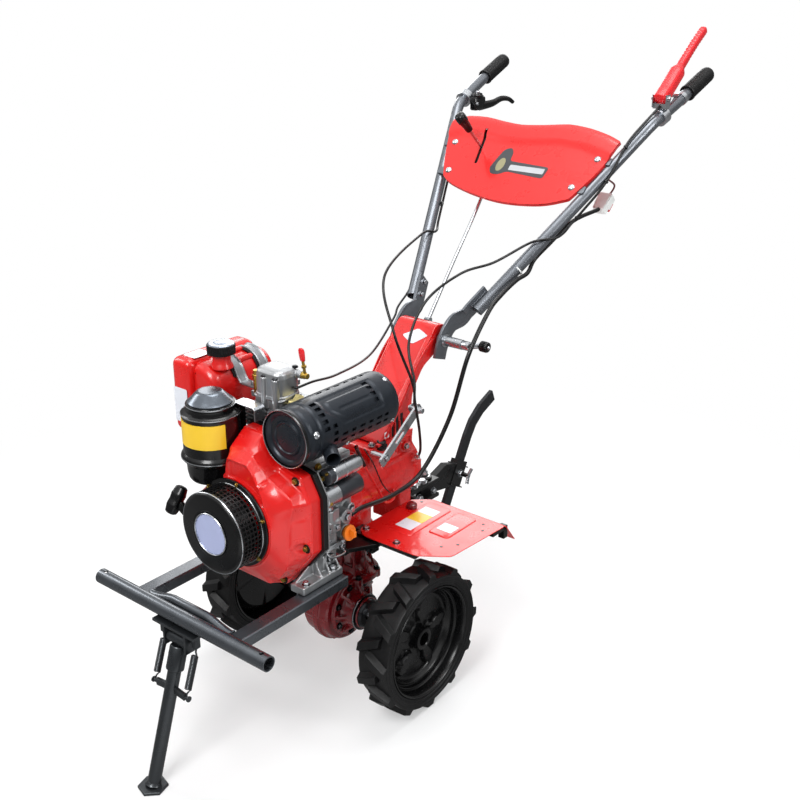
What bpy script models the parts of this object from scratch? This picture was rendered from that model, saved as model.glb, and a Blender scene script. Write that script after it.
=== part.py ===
"""Walk-behind diesel rotary tiller on its transport wheels, parked on its front stand.

Metres, +Z up. Front is -Y and the machine's left is +X. Positions below are measured from the point on
the ground under the axle; the empty "machine" moves them so that the origin is the middle of the footprint.
"""

import math

import bmesh
import bpy
from mathutils import Matrix, Vector

for old in list(bpy.data.objects):
    bpy.data.objects.remove(old, do_unlink=True)

SEAT = 0.0003  # gap between pieces that rest on each other
LEFT, RIGHT = 1, -1
SIDES = (("left", LEFT), ("right", RIGHT))

# ---------------------------------------------------------------- driving dimensions

AXLE_TO_ORIGIN = 0.2418  # how far the origin lies behind the axle

LUG_TIP_RADIUS = 0.165
CARCASS_RADIUS = 0.150
TYRE_BORE_RADIUS = 0.1278
TYRE_WIDTH = 0.076
WHEEL_X = 0.236  # middle of each tyre
LUGS_PER_SIDE = 12
LUG_THICKNESS = 0.017
LUG_REACH = 0.052  # from the shoulder towards the middle of the tread
LUG_ANGLE = math.radians(24)
AXLE_HEX_RADIUS = 0.0143
RUNNING_GAP = 0.0006

RAIL_X = 0.135
RAIL_WIDTH, RAIL_HEIGHT = 0.034, 0.025
RAIL_TOP_Z = 0.343
RAIL_REAR_Y = -0.126
BUMPER_Y = -0.447
BUMPER_Z = 0.343
BUMPER_RADIUS = 0.0155
BUMPER_LENGTH = 0.487
BUMPER_WALL = 0.0025
PIN_HOLE_INSET, PIN_HOLE_RADIUS = 0.0175, 0.004  # the lock-pin holes near the bumper's ends

STAND_PIVOT_Y, STAND_PIVOT_Z = -0.450, 0.295
STAND_FOOT_Y = -0.548
STAND_TUBE_RADIUS = 0.0135
STAND_SLEEVE_RADIUS = 0.018
FOOT_RADIUS, FOOT_THICKNESS = 0.031, 0.006

CRANK_Z = 0.485
DRUM_RADIUS = 0.085
DRUM_FRONT_Y, DRUM_REAR_Y = -0.357, -0.290
BLOWER_FRONT_Y, BLOWER_REAR_Y = DRUM_REAR_Y + SEAT, -0.200
PLATE_THICKNESS = 0.009
CRANKCASE_REAR_Y = -0.070
CRANKCASE_HALF_WIDTH = 0.118
CRANKCASE_TOP_Z = 0.600
FOOT_HALF_WIDTH, FOOT_WIDTH, FOOT_HEIGHT = 0.138, 0.038, 0.018
FOOT_FRONT_Y, FOOT_REAR_Y = -0.245, -0.128

MUFFLER_X, MUFFLER_Z, MUFFLER_RADIUS = 0.094, 0.672, 0.060
MUFFLER_FRONT_Y, MUFFLER_REAR_Y = -0.235, 0.045
CLEANER_X, CLEANER_Y = -0.104, -0.256
CLEANER_RADIUS = 0.060

GEARBOX_Z, GEARBOX_RADIUS = 0.420, 0.070
GEARBOX_FRONT_Y, GEARBOX_REAR_Y = 0.030, 0.220
COLUMN_HALF_WIDTH = 0.055

TILT_Y, TILT_Z = 0.305, 0.722  # axis of the handlebar's height adjustment
HANDLE_RADIUS, HANDLE_WALL = 0.016, 0.002
GRIP_RADIUS = 0.019
PLATE_WIDTH, PLATE_FLAT = 0.042, 0.007

FENDER_Z, FENDER_SHEET = 0.362, 0.002

SLIDE_TILT = math.radians(28.2)  # the drag bar leans back by this much
BAR_WIDTH, BAR_THICKNESS = 0.032, 0.010
BAR_SLEEVE_Y, BAR_SLEEVE_Z = 0.452, 0.318


# ---------------------------------------------------------------- tools

machine = bpy.data.objects.new("machine", None)
machine.location = (0, -AXLE_TO_ORIGIN, 0)
bpy.context.scene.collection.objects.link(machine)


def finish(name, colour, roughness, metallic):
    material = bpy.data.materials.new(name)
    material.use_nodes = True
    shader = material.node_tree.nodes["Principled BSDF"]
    shader.inputs["Base Color"].default_value = (*colour, 1)
    shader.inputs["Roughness"].default_value = roughness
    shader.inputs["Metallic"].default_value = metallic
    return material


RED = finish("red paint", (0.72, 0.012, 0.010), 0.3, 0.0)
DARK_RED = finish("dark red paint", (0.17, 0.010, 0.012), 0.35, 0.0)
GREY_PAINT = finish("grey metallic paint", (0.13, 0.135, 0.14), 0.4, 0.5)
BLACK_PAINT = finish("black paint", (0.012, 0.012, 0.013), 0.4, 0.0)
CAST = finish("cast aluminium", (0.42, 0.42, 0.43), 0.5, 0.9)
ZINC = finish("zinc plate", (0.60, 0.60, 0.62), 0.3, 1.0)
BRASS = finish("brass", (0.55, 0.40, 0.12), 0.35, 1.0)
RUBBER = finish("black rubber", (0.015, 0.015, 0.015), 0.7, 0.0)
TYRE = finish("tyre rubber", (0.020, 0.020, 0.021), 0.75, 0.0)
RED_PLASTIC = finish("red plastic", (0.65, 0.015, 0.020), 0.45, 0.0)
ORANGE = finish("orange plastic", (0.85, 0.20, 0.01), 0.45, 0.0)
PALE = finish("pale badge", (0.50, 0.54, 0.75), 0.4, 0.0)
WHITE = finish("white plastic", (0.75, 0.75, 0.73), 0.5, 0.0)


def mesh_object(name, bm, material=None):
    """The finished mesh as an object under the machine's empty."""
    bmesh.ops.remove_doubles(bm, verts=bm.verts, dist=1e-5)
    bmesh.ops.recalc_face_normals(bm, faces=bm.faces)
    mesh = bpy.data.meshes.new(name)
    bm.to_mesh(mesh)
    bm.free()
    mesh.shade_smooth()
    mesh.set_sharp_from_angle(angle=math.radians(35))
    if material:
        mesh.materials.append(material)
    obj = bpy.data.objects.new(name, mesh)
    bpy.context.scene.collection.objects.link(obj)
    obj.parent = machine
    return obj


def helper(bm):
    """A shape that is only added to, or cut from, a piece."""
    obj = mesh_object("helper", bm)
    obj.hide_render = True
    obj.display_type = "WIRE"
    return obj


def piece(name, material, shape, add=(), cut=()):
    """A node: one shape, with others joined to it and cut from it."""
    obj = mesh_object(name, shape, material)
    for operation, shapes in (("UNION", add), ("DIFFERENCE", cut)):
        for other in shapes:
            boolean = obj.modifiers.new(operation.lower(), "BOOLEAN")
            boolean.operation = operation
            boolean.solver = "EXACT"
            boolean.object = helper(other)
    return obj


def pivot(obj, *point):
    """Moves the object's origin to a point on its joint's axis."""
    obj.data.transform(Matrix.Translation(-Vector(point)))
    obj.location = point


def box(low, high, bevel=0.0):
    low, high = Vector(low), Vector(high)
    bm = bmesh.new()
    bmesh.ops.create_cube(bm, size=1)
    size = high - low
    bmesh.ops.scale(bm, vec=size, verts=bm.verts)
    bmesh.ops.translate(bm, vec=(low + high) / 2, verts=bm.verts)
    if bevel:
        bmesh.ops.bevel(bm, geom=bm.edges[:], offset=bevel, segments=1, affect="EDGES", profile=0.5)
    return bm


def turned(profile, origin, axis, sides=32):
    """A profile of (distance along the axis, radius) turned about the axis; it closes on the axis or on itself."""
    bm = bmesh.new()
    axis = Vector(axis).normalized()
    across = axis.orthogonal().normalized()
    origin = Vector(origin)
    points = [bm.verts.new(origin + axis * along + across * radius) for along, radius in profile]
    edges = [bm.edges.new(pair) for pair in zip(points, points[1:])]
    if profile[0][1] > 0:
        edges.append(bm.edges.new((points[-1], points[0])))
    bmesh.ops.spin(
        bm, geom=points + edges, cent=origin, axis=axis, angle=2 * math.pi, steps=sides, use_merge=True
    )
    bmesh.ops.remove_doubles(bm, verts=bm.verts, dist=1e-5)
    return bm


def rod(start, end, radius, sides=16, end_radius=None):
    start, end = Vector(start), Vector(end)
    length = (end - start).length
    last = radius if end_radius is None else end_radius
    return turned([(0, 0), (0, radius), (length, last), (length, 0)], start, end - start, sides)


def extruded(outline, low, high, plane="YZ"):
    """An outline in two axes carried along the third from low to high."""
    bm = bmesh.new()
    order = {"YZ": (1, 2, 0), "XZ": (0, 2, 1), "XY": (0, 1, 2)}[plane]

    def place(a, b, c):
        point = [0.0, 0.0, 0.0]
        for index, value in zip(order, (a, b, c)):
            point[index] = value
        return point

    face = bm.faces.new([bm.verts.new(place(a, b, low)) for a, b in outline])
    grown = bmesh.ops.extrude_face_region(bm, geom=[face])["geom"]
    moved = [v for v in grown if isinstance(v, bmesh.types.BMVert)]
    bmesh.ops.translate(bm, vec=place(0, 0, high - low), verts=moved)
    return bm


def ring_of(centre, tangent, side, section):
    width = side - tangent * side.dot(tangent)
    width.normalize()
    normal = tangent.cross(width)
    return [centre + width * a + normal * b for a, b in section]


def swept(path, section, side, bore=None):
    """A section of (across, up) points carried along a path; side is the section's first axis."""
    bm = bmesh.new()
    path = [Vector(p) for p in path]
    side = Vector(side)
    loops = {"outer": [], "inner": []}
    for i, point in enumerate(path):
        before = path[max(i - 1, 0)]
        after = path[min(i + 1, len(path) - 1)]
        tangent = ((after - point).normalized() + (point - before).normalized()).normalized()
        for which, shape in (("outer", section), ("inner", bore)):
            if shape:
                loops[which].append([bm.verts.new(p) for p in ring_of(point, tangent, side, shape)])
    for rings in loops.values():
        for first, second in zip(rings, rings[1:]):
            for k in range(len(first)):
                bm.faces.new((first[k - 1], first[k], second[k], second[k - 1]))
    for end in (0, -1):
        if bore:
            outer, inner = loops["outer"][end], loops["inner"][end]
            for k in range(len(outer)):
                bm.faces.new((outer[k - 1], outer[k], inner[k], inner[k - 1]))
        else:
            bm.faces.new(loops["outer"][end])
    return bm


def circle(radius, sides=16):
    turn = 2 * math.pi / sides
    return [(radius * math.cos(i * turn), radius * math.sin(i * turn)) for i in range(sides)]


def flat(width, thickness):
    w, t = width / 2, thickness / 2
    return [(-t, -w), (t, -w), (t, w), (-t, w)]


def smooth_route(points, spacing):
    """Points at an even spacing on one smooth curve through the route's own points."""
    points = [Vector(p) for p in points]
    ends = [points[0] * 2 - points[1], *points, points[-1] * 2 - points[-2]]
    found = []
    for a, b, c, d in zip(ends, ends[1:], ends[2:], ends[3:]):
        steps = max(1, round((c - b).length / spacing))
        for i in range(steps):
            t = i / steps
            found.append(
                0.5 * (2 * b + (c - a) * t + (2 * a - 5 * b + 4 * c - d) * t**2 + (3 * b - 3 * c + d - a) * t**3)
            )
    return [*found, points[-1]]


def cable(name, route, radius, material=None, spacing=None):
    """A cable along a route chosen by hand."""
    points = smooth_route(route, spacing or 0.022)
    curve = bpy.data.curves.new(name, "CURVE")
    curve.dimensions = "3D"
    curve.bevel_depth = radius
    curve.bevel_resolution = 2
    curve.use_fill_caps = True
    spline = curve.splines.new("POLY")
    spline.points.add(len(points) - 1)
    for spot, point in zip(spline.points, points):
        spot.co = (*point, 1)
    curve.materials.append(material or RUBBER)
    obj = bpy.data.objects.new(name, curve)
    bpy.context.scene.collection.objects.link(obj)
    obj.parent = machine
    return obj


def mirrored(points, side):
    return [(x * side, y, z) for x, y, z in points]


# ---------------------------------------------------------------- wheels and axle

AXLE_Z = LUG_TIP_RADIUS
WHEEL_HALF = TYRE_WIDTH / 2
HUB_BORE_RADIUS = AXLE_HEX_RADIUS + RUNNING_GAP
HUB_RADIUS = 0.0235
HUB_INNER_X, HUB_OUTER_X = 0.130, WHEEL_X + 0.018
AXLE_END_X = WHEEL_X - 0.010
RIM_WALL = 0.004
RIM_RADIUS = TYRE_BORE_RADIUS - SEAT

TYRE_PROFILE = (  # across the tyre as a share of its half width, radius
    (-1.0, TYRE_BORE_RADIUS),
    (1.0, TYRE_BORE_RADIUS),
    (1.0, CARCASS_RADIUS - 0.006),
    (0.8, CARCASS_RADIUS),
    (-0.8, CARCASS_RADIUS),
    (-1.0, CARCASS_RADIUS - 0.006),
)
RIM_FACE = (  # outward from the middle of the wheel, radius, from the hub to the outer lip
    (0.018, HUB_RADIUS),
    (-0.006, HUB_RADIUS + 0.006),
    (-0.006, 0.098),
    (0.006, 0.104),
    (0.012, 0.114),
    (0.026, 0.118),
    (0.034, RIM_RADIUS - RIM_WALL),
)


def lug(angle, side):
    """One bar of the tread, from the shoulder towards the middle, slanted."""
    half = LUG_THICKNESS / 2
    depth = 0.008
    shoulder = side * (WHEEL_HALF + 0.003)
    inner = side * (WHEEL_HALF - LUG_REACH)
    bm = bmesh.new()
    lean = math.tan(LUG_ANGLE) * LUG_REACH
    corners = []
    for x, slip in ((shoulder, 0.0), (inner, lean)):
        for radius, wide in ((CARCASS_RADIUS - depth, half * 1.35), (LUG_TIP_RADIUS, half * 0.75)):
            for edge in (-wide, wide):
                turn = (slip + edge) / radius
                corners.append(bm.verts.new((x, radius * math.sin(turn), radius * math.cos(turn))))
    a0, a1, b0, b1, c0, c1, d0, d1 = corners
    for face in ((a0, a1, b1, b0), (c1, c0, d0, d1), (a1, a0, c0, c1), (b0, b1, d1, d0), (a0, b0, d0, c0), (b1, a1, c1, d1)):
        bm.faces.new(face)
    bmesh.ops.rotate(bm, cent=(0, 0, 0), matrix=Matrix.Rotation(angle, 3, "X"), verts=bm.verts)
    bmesh.ops.recalc_face_normals(bm, faces=bm.faces)
    return bm


for name, side in SIDES:
    centre = (side * WHEEL_X, 0, AXLE_Z)
    tyre_ring = turned([(x * WHEEL_HALF, r) for x, r in TYRE_PROFILE], centre, (side, 0, 0), 48)
    lugs = []
    for i in range(2 * LUGS_PER_SIDE):
        lug_bm = lug(math.pi + i * math.pi / LUGS_PER_SIDE, side if i % 2 == 0 else -side)
        bmesh.ops.translate(lug_bm, vec=centre, verts=lug_bm.verts)
        lugs.append(lug_bm)
    tyre = piece(f"tyre_{name}", TYRE, tyre_ring, add=lugs)
    pivot(tyre, 0, 0, AXLE_Z)

    rim_profile = [
        (-WHEEL_HALF, RIM_RADIUS),
        (WHEEL_HALF - 0.002, RIM_RADIUS),
        *[(x, r) for x, r in reversed(RIM_FACE)],
        (0.018, HUB_BORE_RADIUS),
        (HUB_INNER_X - WHEEL_X, HUB_BORE_RADIUS),
        (HUB_INNER_X - WHEEL_X, HUB_RADIUS),
        (-0.006 - RIM_WALL, HUB_RADIUS),
        (-0.006 - RIM_WALL, 0.100),
        (0.000, 0.107),
        (0.006, 0.117),
        (0.016, RIM_RADIUS - RIM_WALL),
        (-WHEEL_HALF, RIM_RADIUS - RIM_WALL),
    ]
    rim = piece(f"rim_{name}", BLACK_PAINT, turned(rim_profile, centre, (side, 0, 0), 40))
    pivot(rim, 0, 0, AXLE_Z)

axle = piece("axle", ZINC, rod((-AXLE_END_X, 0, AXLE_Z), (AXLE_END_X, 0, AXLE_Z), AXLE_HEX_RADIUS, 6))
pivot(axle, 0, 0, AXLE_Z)

# ---------------------------------------------------------------- travel gearcase

CASE_RADIUS, CASE_HALF = 0.098, 0.060
CASE_NECK_Y, CASE_NECK_RADIUS = 0.046, 0.034
CASE_TOP_Z = 0.330
CASE_BORE = AXLE_HEX_RADIUS + RUNNING_GAP
CUP_X, CUP_DEPTH, CUP_RADIUS = 0.086, 0.014, 0.042

case_profile = [
    (-CUP_X - CUP_DEPTH, 0),
    (-CUP_X - CUP_DEPTH, 0.034),
    (-CUP_X - 0.008, CUP_RADIUS),
    (-CUP_X, CUP_RADIUS),
    (-CUP_X, 0.048),
    (-CASE_HALF, CASE_RADIUS - 0.018),
    (-CASE_HALF + 0.012, CASE_RADIUS),
    (CASE_HALF - 0.012, CASE_RADIUS),
    (CASE_HALF, CASE_RADIUS - 0.018),
    (CUP_X, 0.048),
    (CUP_X, CUP_RADIUS),
    (CUP_X + 0.008, CUP_RADIUS),
    (CUP_X + CUP_DEPTH, 0.034),
    (CUP_X + CUP_DEPTH, 0),
]
piece(
    "travel_gearcase",
    DARK_RED,
    turned(case_profile, (0, 0, AXLE_Z), (1, 0, 0), 32),
    add=[
        rod((0, 0.020, AXLE_Z + 0.06), (0, CASE_NECK_Y, 0.262), 0.060, 20, 0.050),
        rod((0, CASE_NECK_Y, 0.245), (0, CASE_NECK_Y, CASE_TOP_Z - 0.004), CASE_NECK_RADIUS, 20),
        rod((0, CASE_NECK_Y, CASE_TOP_Z - 0.014), (0, CASE_NECK_Y, CASE_TOP_Z), 0.052, 20),
    ],
    cut=[rod((-0.2, 0, AXLE_Z), (0.2, 0, AXLE_Z), CASE_BORE, 20)],
)

# ---------------------------------------------------------------- front frame and stand

RAIL_FRONT_Y = BUMPER_Y + BUMPER_RADIUS + SEAT
for name, side in SIDES:
    rail_low = (side * RAIL_X - RAIL_WIDTH / 2, RAIL_FRONT_Y, RAIL_TOP_Z - RAIL_HEIGHT)
    rail_high = (side * RAIL_X + RAIL_WIDTH / 2, RAIL_REAR_Y, RAIL_TOP_Z)
    piece(f"rail_{name}", GREY_PAINT, box(rail_low, rail_high, 0.002))

bumper_path = [(-BUMPER_LENGTH / 2, BUMPER_Y, BUMPER_Z), (BUMPER_LENGTH / 2, BUMPER_Y, BUMPER_Z)]
pin_hole_x = BUMPER_LENGTH / 2 - PIN_HOLE_INSET
pin_holes = [
    rod((side * pin_hole_x, BUMPER_Y, BUMPER_Z), (side * pin_hole_x, BUMPER_Y, BUMPER_Z + 0.03), PIN_HOLE_RADIUS, 10)
    for _, side in SIDES
]
piece(
    "bumper_tube",
    GREY_PAINT,
    swept(bumper_path, circle(BUMPER_RADIUS, 24), (0, 1, 0), bore=circle(BUMPER_RADIUS - BUMPER_WALL, 24)),
    cut=pin_holes,
)
BRACE_RADIUS = 0.010
brace_x = RAIL_X - RAIL_WIDTH / 2 - SEAT
brace_y = BUMPER_Y + BUMPER_RADIUS + BRACE_RADIUS + 0.001
piece(
    "bumper_brace",
    GREY_PAINT,
    swept(
        [
            (-brace_x, brace_y, 0.336),
            (-brace_x + 0.012, brace_y, 0.336),
            (-0.05, brace_y, 0.350),
            (0.05, brace_y, 0.350),
            (brace_x - 0.012, brace_y, 0.336),
            (brace_x, brace_y, 0.336),
        ],
        circle(BRACE_RADIUS, 12),
        (0, 1, 0),
    ),
)

BRACKET_TOP_Z = BUMPER_Z - BUMPER_RADIUS - SEAT
BRACKET_FRONT_Y, BRACKET_REAR_Y = -0.468, -0.426
CHEEK_X, CHEEK_THICKNESS = 0.0275, 0.005
PIN_RADIUS = 0.006
SPRING_X = 0.046
bracket_plate = box((-0.060, BRACKET_FRONT_Y, BRACKET_TOP_Z - 0.006), (0.060, BRACKET_REAR_Y, BRACKET_TOP_Z))
bracket_adds = [
    rod(
        (-CHEEK_X - CHEEK_THICKNESS, STAND_PIVOT_Y, STAND_PIVOT_Z),
        (CHEEK_X + CHEEK_THICKNESS, STAND_PIVOT_Y, STAND_PIVOT_Z),
        PIN_RADIUS,
        16,
    )
]
for _, side in SIDES:
    low_x, high_x = sorted((side * CHEEK_X, side * (CHEEK_X + CHEEK_THICKNESS)))
    bracket_adds.append(
        box((low_x, BRACKET_FRONT_Y + 0.002, STAND_PIVOT_Z - 0.017), (high_x, BRACKET_REAR_Y - 0.002, BRACKET_TOP_Z - 0.003))
    )
    low_x, high_x = sorted((side * (SPRING_X - 0.006), side * (SPRING_X + 0.006)))
    bracket_adds.append(
        box((low_x, STAND_PIVOT_Y - 0.006, STAND_PIVOT_Z - 0.001), (high_x, STAND_PIVOT_Y + 0.006, BRACKET_TOP_Z - 0.003))
    )
piece("stand_bracket", GREY_PAINT, bracket_plate, add=bracket_adds)


def on_leg(z):
    """The leg's middle at a height."""
    share = (STAND_PIVOT_Z - z) / STAND_PIVOT_Z
    return Vector((0, STAND_PIVOT_Y + (STAND_FOOT_Y - STAND_PIVOT_Y) * share, z))


HOOK_Z = 0.176
HOOK_RADIUS = 0.004
LEG_BARREL_HALF = CHEEK_X - 0.001
foot_plate = turned(
    [(0, 0), (0, FOOT_RADIUS), (FOOT_THICKNESS, FOOT_RADIUS), (FOOT_THICKNESS, 0)], (0, STAND_FOOT_Y, 0), (0, 0, 1), 6
)
leg = piece(
    "stand_leg",
    GREY_PAINT,
    foot_plate,
    add=[
        rod(on_leg(0.0055), on_leg(0.270), STAND_TUBE_RADIUS, 20),
        rod(on_leg(0.235), on_leg(0.285), STAND_SLEEVE_RADIUS, 20),
        rod(
            (-LEG_BARREL_HALF, STAND_PIVOT_Y, STAND_PIVOT_Z),
            (LEG_BARREL_HALF, STAND_PIVOT_Y, STAND_PIVOT_Z),
            0.0135,
            20,
        ),
        rod((-SPRING_X - 0.006, *on_leg(HOOK_Z).yz), (SPRING_X + 0.006, *on_leg(HOOK_Z).yz), HOOK_RADIUS, 10),
    ],
    cut=[
        rod((-0.05, STAND_PIVOT_Y, STAND_PIVOT_Z), (0.05, STAND_PIVOT_Y, STAND_PIVOT_Z), PIN_RADIUS + 0.0007, 16)
    ],
)
pivot(leg, 0, STAND_PIVOT_Y, STAND_PIVOT_Z)
for name, side in SIDES:
    spring_top = (side * SPRING_X, STAND_PIVOT_Y, STAND_PIVOT_Z - 0.0034 - SEAT)
    spring_foot = (side * SPRING_X, on_leg(HOOK_Z).y, HOOK_Z + HOOK_RADIUS + SEAT)
    piece(f"stand_spring_{name}", GREY_PAINT, rod(spring_top, spring_foot, 0.0075, 10))

# ---------------------------------------------------------------- engine block

CASE_FRONT_Y = BLOWER_REAR_Y + PLATE_THICKNESS
CRANKCASE_BASE_Z = RAIL_TOP_Z + SEAT
BLOWER_OUTLINE = [  # across, up: from its foot, up the left side, over the top and down the right side
    (0.070, 0.338),
    (0.148, 0.435),
    (0.148, 0.548),
    (0.122, 0.594),
    (0.075, 0.604),
    (0.040, 0.640),
    (0.020, 0.662),
    (-0.034, 0.662),
    (-0.044, 0.530),
    (-0.120, 0.526),
    (-0.152, 0.500),
    (-0.155, 0.440),
    (-0.115, 0.372),
    (-0.060, 0.338),
]
piece("blower_housing", RED, extruded(BLOWER_OUTLINE, BLOWER_FRONT_Y, BLOWER_REAR_Y, "XZ"))
PLATE_OUTLINE = [(x + (0.006 if x > 0.1 else -0.006 if x < 0 else 0), z + (0.005 if z > 0.5 and x < 0 else 0)) for x, z in BLOWER_OUTLINE]
OIL_CAP_AT = Vector((CRANKCASE_HALF_WIDTH, -0.105, 0.428))
PUMP_X, PUMP_Y = CRANKCASE_HALF_WIDTH + 0.014, -0.155
piece(
    "crankcase",
    CAST,
    extruded(
        [
            (CASE_FRONT_Y, CRANKCASE_BASE_Z),
            (FOOT_REAR_Y, CRANKCASE_BASE_Z),
            (FOOT_REAR_Y, CRANKCASE_BASE_Z + 0.032),
            (CRANKCASE_REAR_Y, CRANKCASE_BASE_Z + 0.096),
            (CRANKCASE_REAR_Y, CRANKCASE_TOP_Z),
            (CASE_FRONT_Y, CRANKCASE_TOP_Z),
        ],
        -CRANKCASE_HALF_WIDTH,
        CRANKCASE_HALF_WIDTH,
        "YZ",
    ),
    add=[
        *[
            box(
                (min(side * FOOT_HALF_WIDTH, side * (FOOT_HALF_WIDTH - FOOT_WIDTH)), FOOT_FRONT_Y, CRANKCASE_BASE_Z),
                (max(side * FOOT_HALF_WIDTH, side * (FOOT_HALF_WIDTH - FOOT_WIDTH)), FOOT_REAR_Y, CRANKCASE_BASE_Z + FOOT_HEIGHT),
                0.002,
            )
            for _, side in SIDES
        ],
        extruded(PLATE_OUTLINE, BLOWER_REAR_Y + SEAT, CASE_FRONT_Y + 0.003, "XZ"),
        rod(OIL_CAP_AT - Vector((0.004, 0, 0)), OIL_CAP_AT + Vector((0.018, 0, 0)), 0.013, 12),
        rod(OIL_CAP_AT + Vector((0.014, 0, 0)), OIL_CAP_AT + Vector((0.036, 0, 0.004)), 0.017, 8),
        box((CRANKCASE_HALF_WIDTH - 0.004, -0.180, 0.430), (CRANKCASE_HALF_WIDTH + 0.026, -0.130, 0.500), 0.003),
        rod((PUMP_X, PUMP_Y, 0.49), (PUMP_X, PUMP_Y, 0.5105), 0.008, 10),
    ],
)
DRUM_DEPTH = DRUM_REAR_Y - DRUM_FRONT_Y
BADGE_RADIUS = 0.041
PULL_AT = Vector((-0.118, -0.330, 0.487))
PULL_SHAPE = ((-0.020, 0.014, -0.030), (-0.004, 0, 0), (-0.006, -0.012, 0.034))
piece(
    "recoil_starter",
    BLACK_PAINT,
    turned(
        [
            (0, 0),
            (0, 0.046),
            (-0.002, 0.048),
            (0, DRUM_RADIUS - 0.008),
            (0.008, DRUM_RADIUS),
            (DRUM_DEPTH - 0.006, DRUM_RADIUS),
            (DRUM_DEPTH - 0.006, DRUM_RADIUS + 0.008),
            (DRUM_DEPTH, DRUM_RADIUS + 0.008),
            (DRUM_DEPTH, 0),
        ],
        (0, DRUM_FRONT_Y, CRANK_Z),
        (0, 1, 0),
        36,
    ),
    add=[
        rod((0, DRUM_FRONT_Y + 0.004, CRANK_Z), (0, DRUM_FRONT_Y - 0.0022, CRANK_Z), BADGE_RADIUS, 28),
        rod((-0.075, -0.318, 0.452), (-0.098, -0.318, 0.470), 0.010, 12),
        rod((-0.094, -0.3165, 0.4670), PULL_AT, 0.005, 10),
        swept([PULL_AT + Vector(p) for p in PULL_SHAPE], flat(0.018, 0.018), (1, 0, 0)),
    ],
)

# ---------------------------------------------------------------- cylinder, head and fuel

CYLINDER_X, CYLINDER_Y = 0.000, -0.128
CYLINDER_TOP_Z = 0.690
CYLINDER_RIGHT = 0.028  # its side next to the muffler
HEAD_TOP_Z = 0.772
HEAD_LEFT_X, HEAD_RIGHT_X = -0.052, 0.030
HEAD_FRONT_Y, HEAD_REAR_Y = -0.185, -0.112
DECOMPRESSION_Y = -0.126
piece(
    "cylinder",
    CAST,
    box(
        (CYLINDER_X - 0.070, CASE_FRONT_Y + 0.003 + SEAT, CRANKCASE_TOP_Z + SEAT),
        (CYLINDER_X + CYLINDER_RIGHT, CYLINDER_Y + 0.062, CYLINDER_TOP_Z),
        0.004,
    ),
)
piece(
    "head_cover",
    CAST,
    box((HEAD_LEFT_X, HEAD_FRONT_Y, CYLINDER_TOP_Z + SEAT), (HEAD_RIGHT_X, HEAD_REAR_Y, HEAD_TOP_Z), 0.008),
    add=[
        rod((-0.016, HEAD_FRONT_Y + 0.003, CYLINDER_TOP_Z + SEAT), (-0.016, HEAD_FRONT_Y + 0.003, HEAD_TOP_Z - 0.012), 0.006, 10),
        rod((0.015, HEAD_FRONT_Y + 0.003, CYLINDER_TOP_Z + SEAT), (0.015, HEAD_FRONT_Y + 0.003, HEAD_TOP_Z - 0.012), 0.006, 10),
        rod((HEAD_RIGHT_X - 0.004, DECOMPRESSION_Y, 0.758), (0.054, DECOMPRESSION_Y, 0.758), 0.006, 10),
        rod((0.046, DECOMPRESSION_Y, 0.758), (0.046, DECOMPRESSION_Y - 0.006, 0.798), 0.004, 10),
        rod((0.046, DECOMPRESSION_Y - 0.005, 0.792), (0.046, DECOMPRESSION_Y - 0.009, 0.818), 0.007, 10),
    ],
)

TANK_LOW_Z, TANK_HIGH_Z = 0.588, 0.755
TANK_OUTER_X, TANK_INNER_X = -0.262, -0.140
TANK_FRONT_Y, TANK_REAR_Y = -0.214, -0.018
tank = extruded(
    [
        (TANK_OUTER_X, TANK_FRONT_Y),
        (TANK_INNER_X - 0.046, TANK_FRONT_Y),
        (TANK_INNER_X, TANK_FRONT_Y + 0.028),
        (TANK_INNER_X, TANK_REAR_Y),
        (TANK_OUTER_X, TANK_REAR_Y),
    ],
    TANK_LOW_Z,
    TANK_HIGH_Z,
    "XY",
)
TANK_ROUNDING = 0.016
bmesh.ops.bevel(tank, geom=tank.edges[:], offset=TANK_ROUNDING, segments=2, affect="EDGES", profile=0.5)
CAP_X, CAP_Y = -0.162, -0.157
piece(
    "fuel_tank",
    RED,
    tank,
    add=[
        rod((CAP_X, CAP_Y, TANK_HIGH_Z - 0.01), (CAP_X, CAP_Y, TANK_HIGH_Z + 0.014), 0.018, 20),
        rod((CAP_X, CAP_Y, TANK_HIGH_Z + 0.012), (CAP_X, CAP_Y, TANK_HIGH_Z + 0.038), 0.030, 24),
    ],
)
STRAP_THICKNESS = 0.003
STRAP_OFF = STRAP_THICKNESS / 2 + SEAT
STRAP_TURN = 0.0004
STRAP_FOOT_Z = CYLINDER_TOP_Z + 0.012
straps = []
for strap_y in (-0.126, -0.058):
    strap_path = [
        (TANK_OUTER_X - STRAP_OFF, strap_y, TANK_LOW_Z + 0.03),
        (TANK_OUTER_X - STRAP_OFF, strap_y, TANK_HIGH_Z - TANK_ROUNDING - 0.002),
        (TANK_OUTER_X + STRAP_TURN, strap_y, TANK_HIGH_Z - STRAP_TURN),
        (TANK_OUTER_X + TANK_ROUNDING + 0.002, strap_y, TANK_HIGH_Z + STRAP_OFF),
        (TANK_INNER_X - TANK_ROUNDING - 0.002, strap_y, TANK_HIGH_Z + STRAP_OFF),
        (TANK_INNER_X - STRAP_TURN, strap_y, TANK_HIGH_Z - STRAP_TURN),
        (TANK_INNER_X + STRAP_OFF, strap_y, TANK_HIGH_Z - TANK_ROUNDING - 0.002),
        (TANK_INNER_X + STRAP_OFF, strap_y, STRAP_FOOT_Z),
        (HEAD_LEFT_X - 0.002, strap_y, STRAP_FOOT_Z),
    ]
    straps.append(swept(strap_path, flat(STRAP_THICKNESS, 0.018), (0, 1, 0)))
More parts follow.
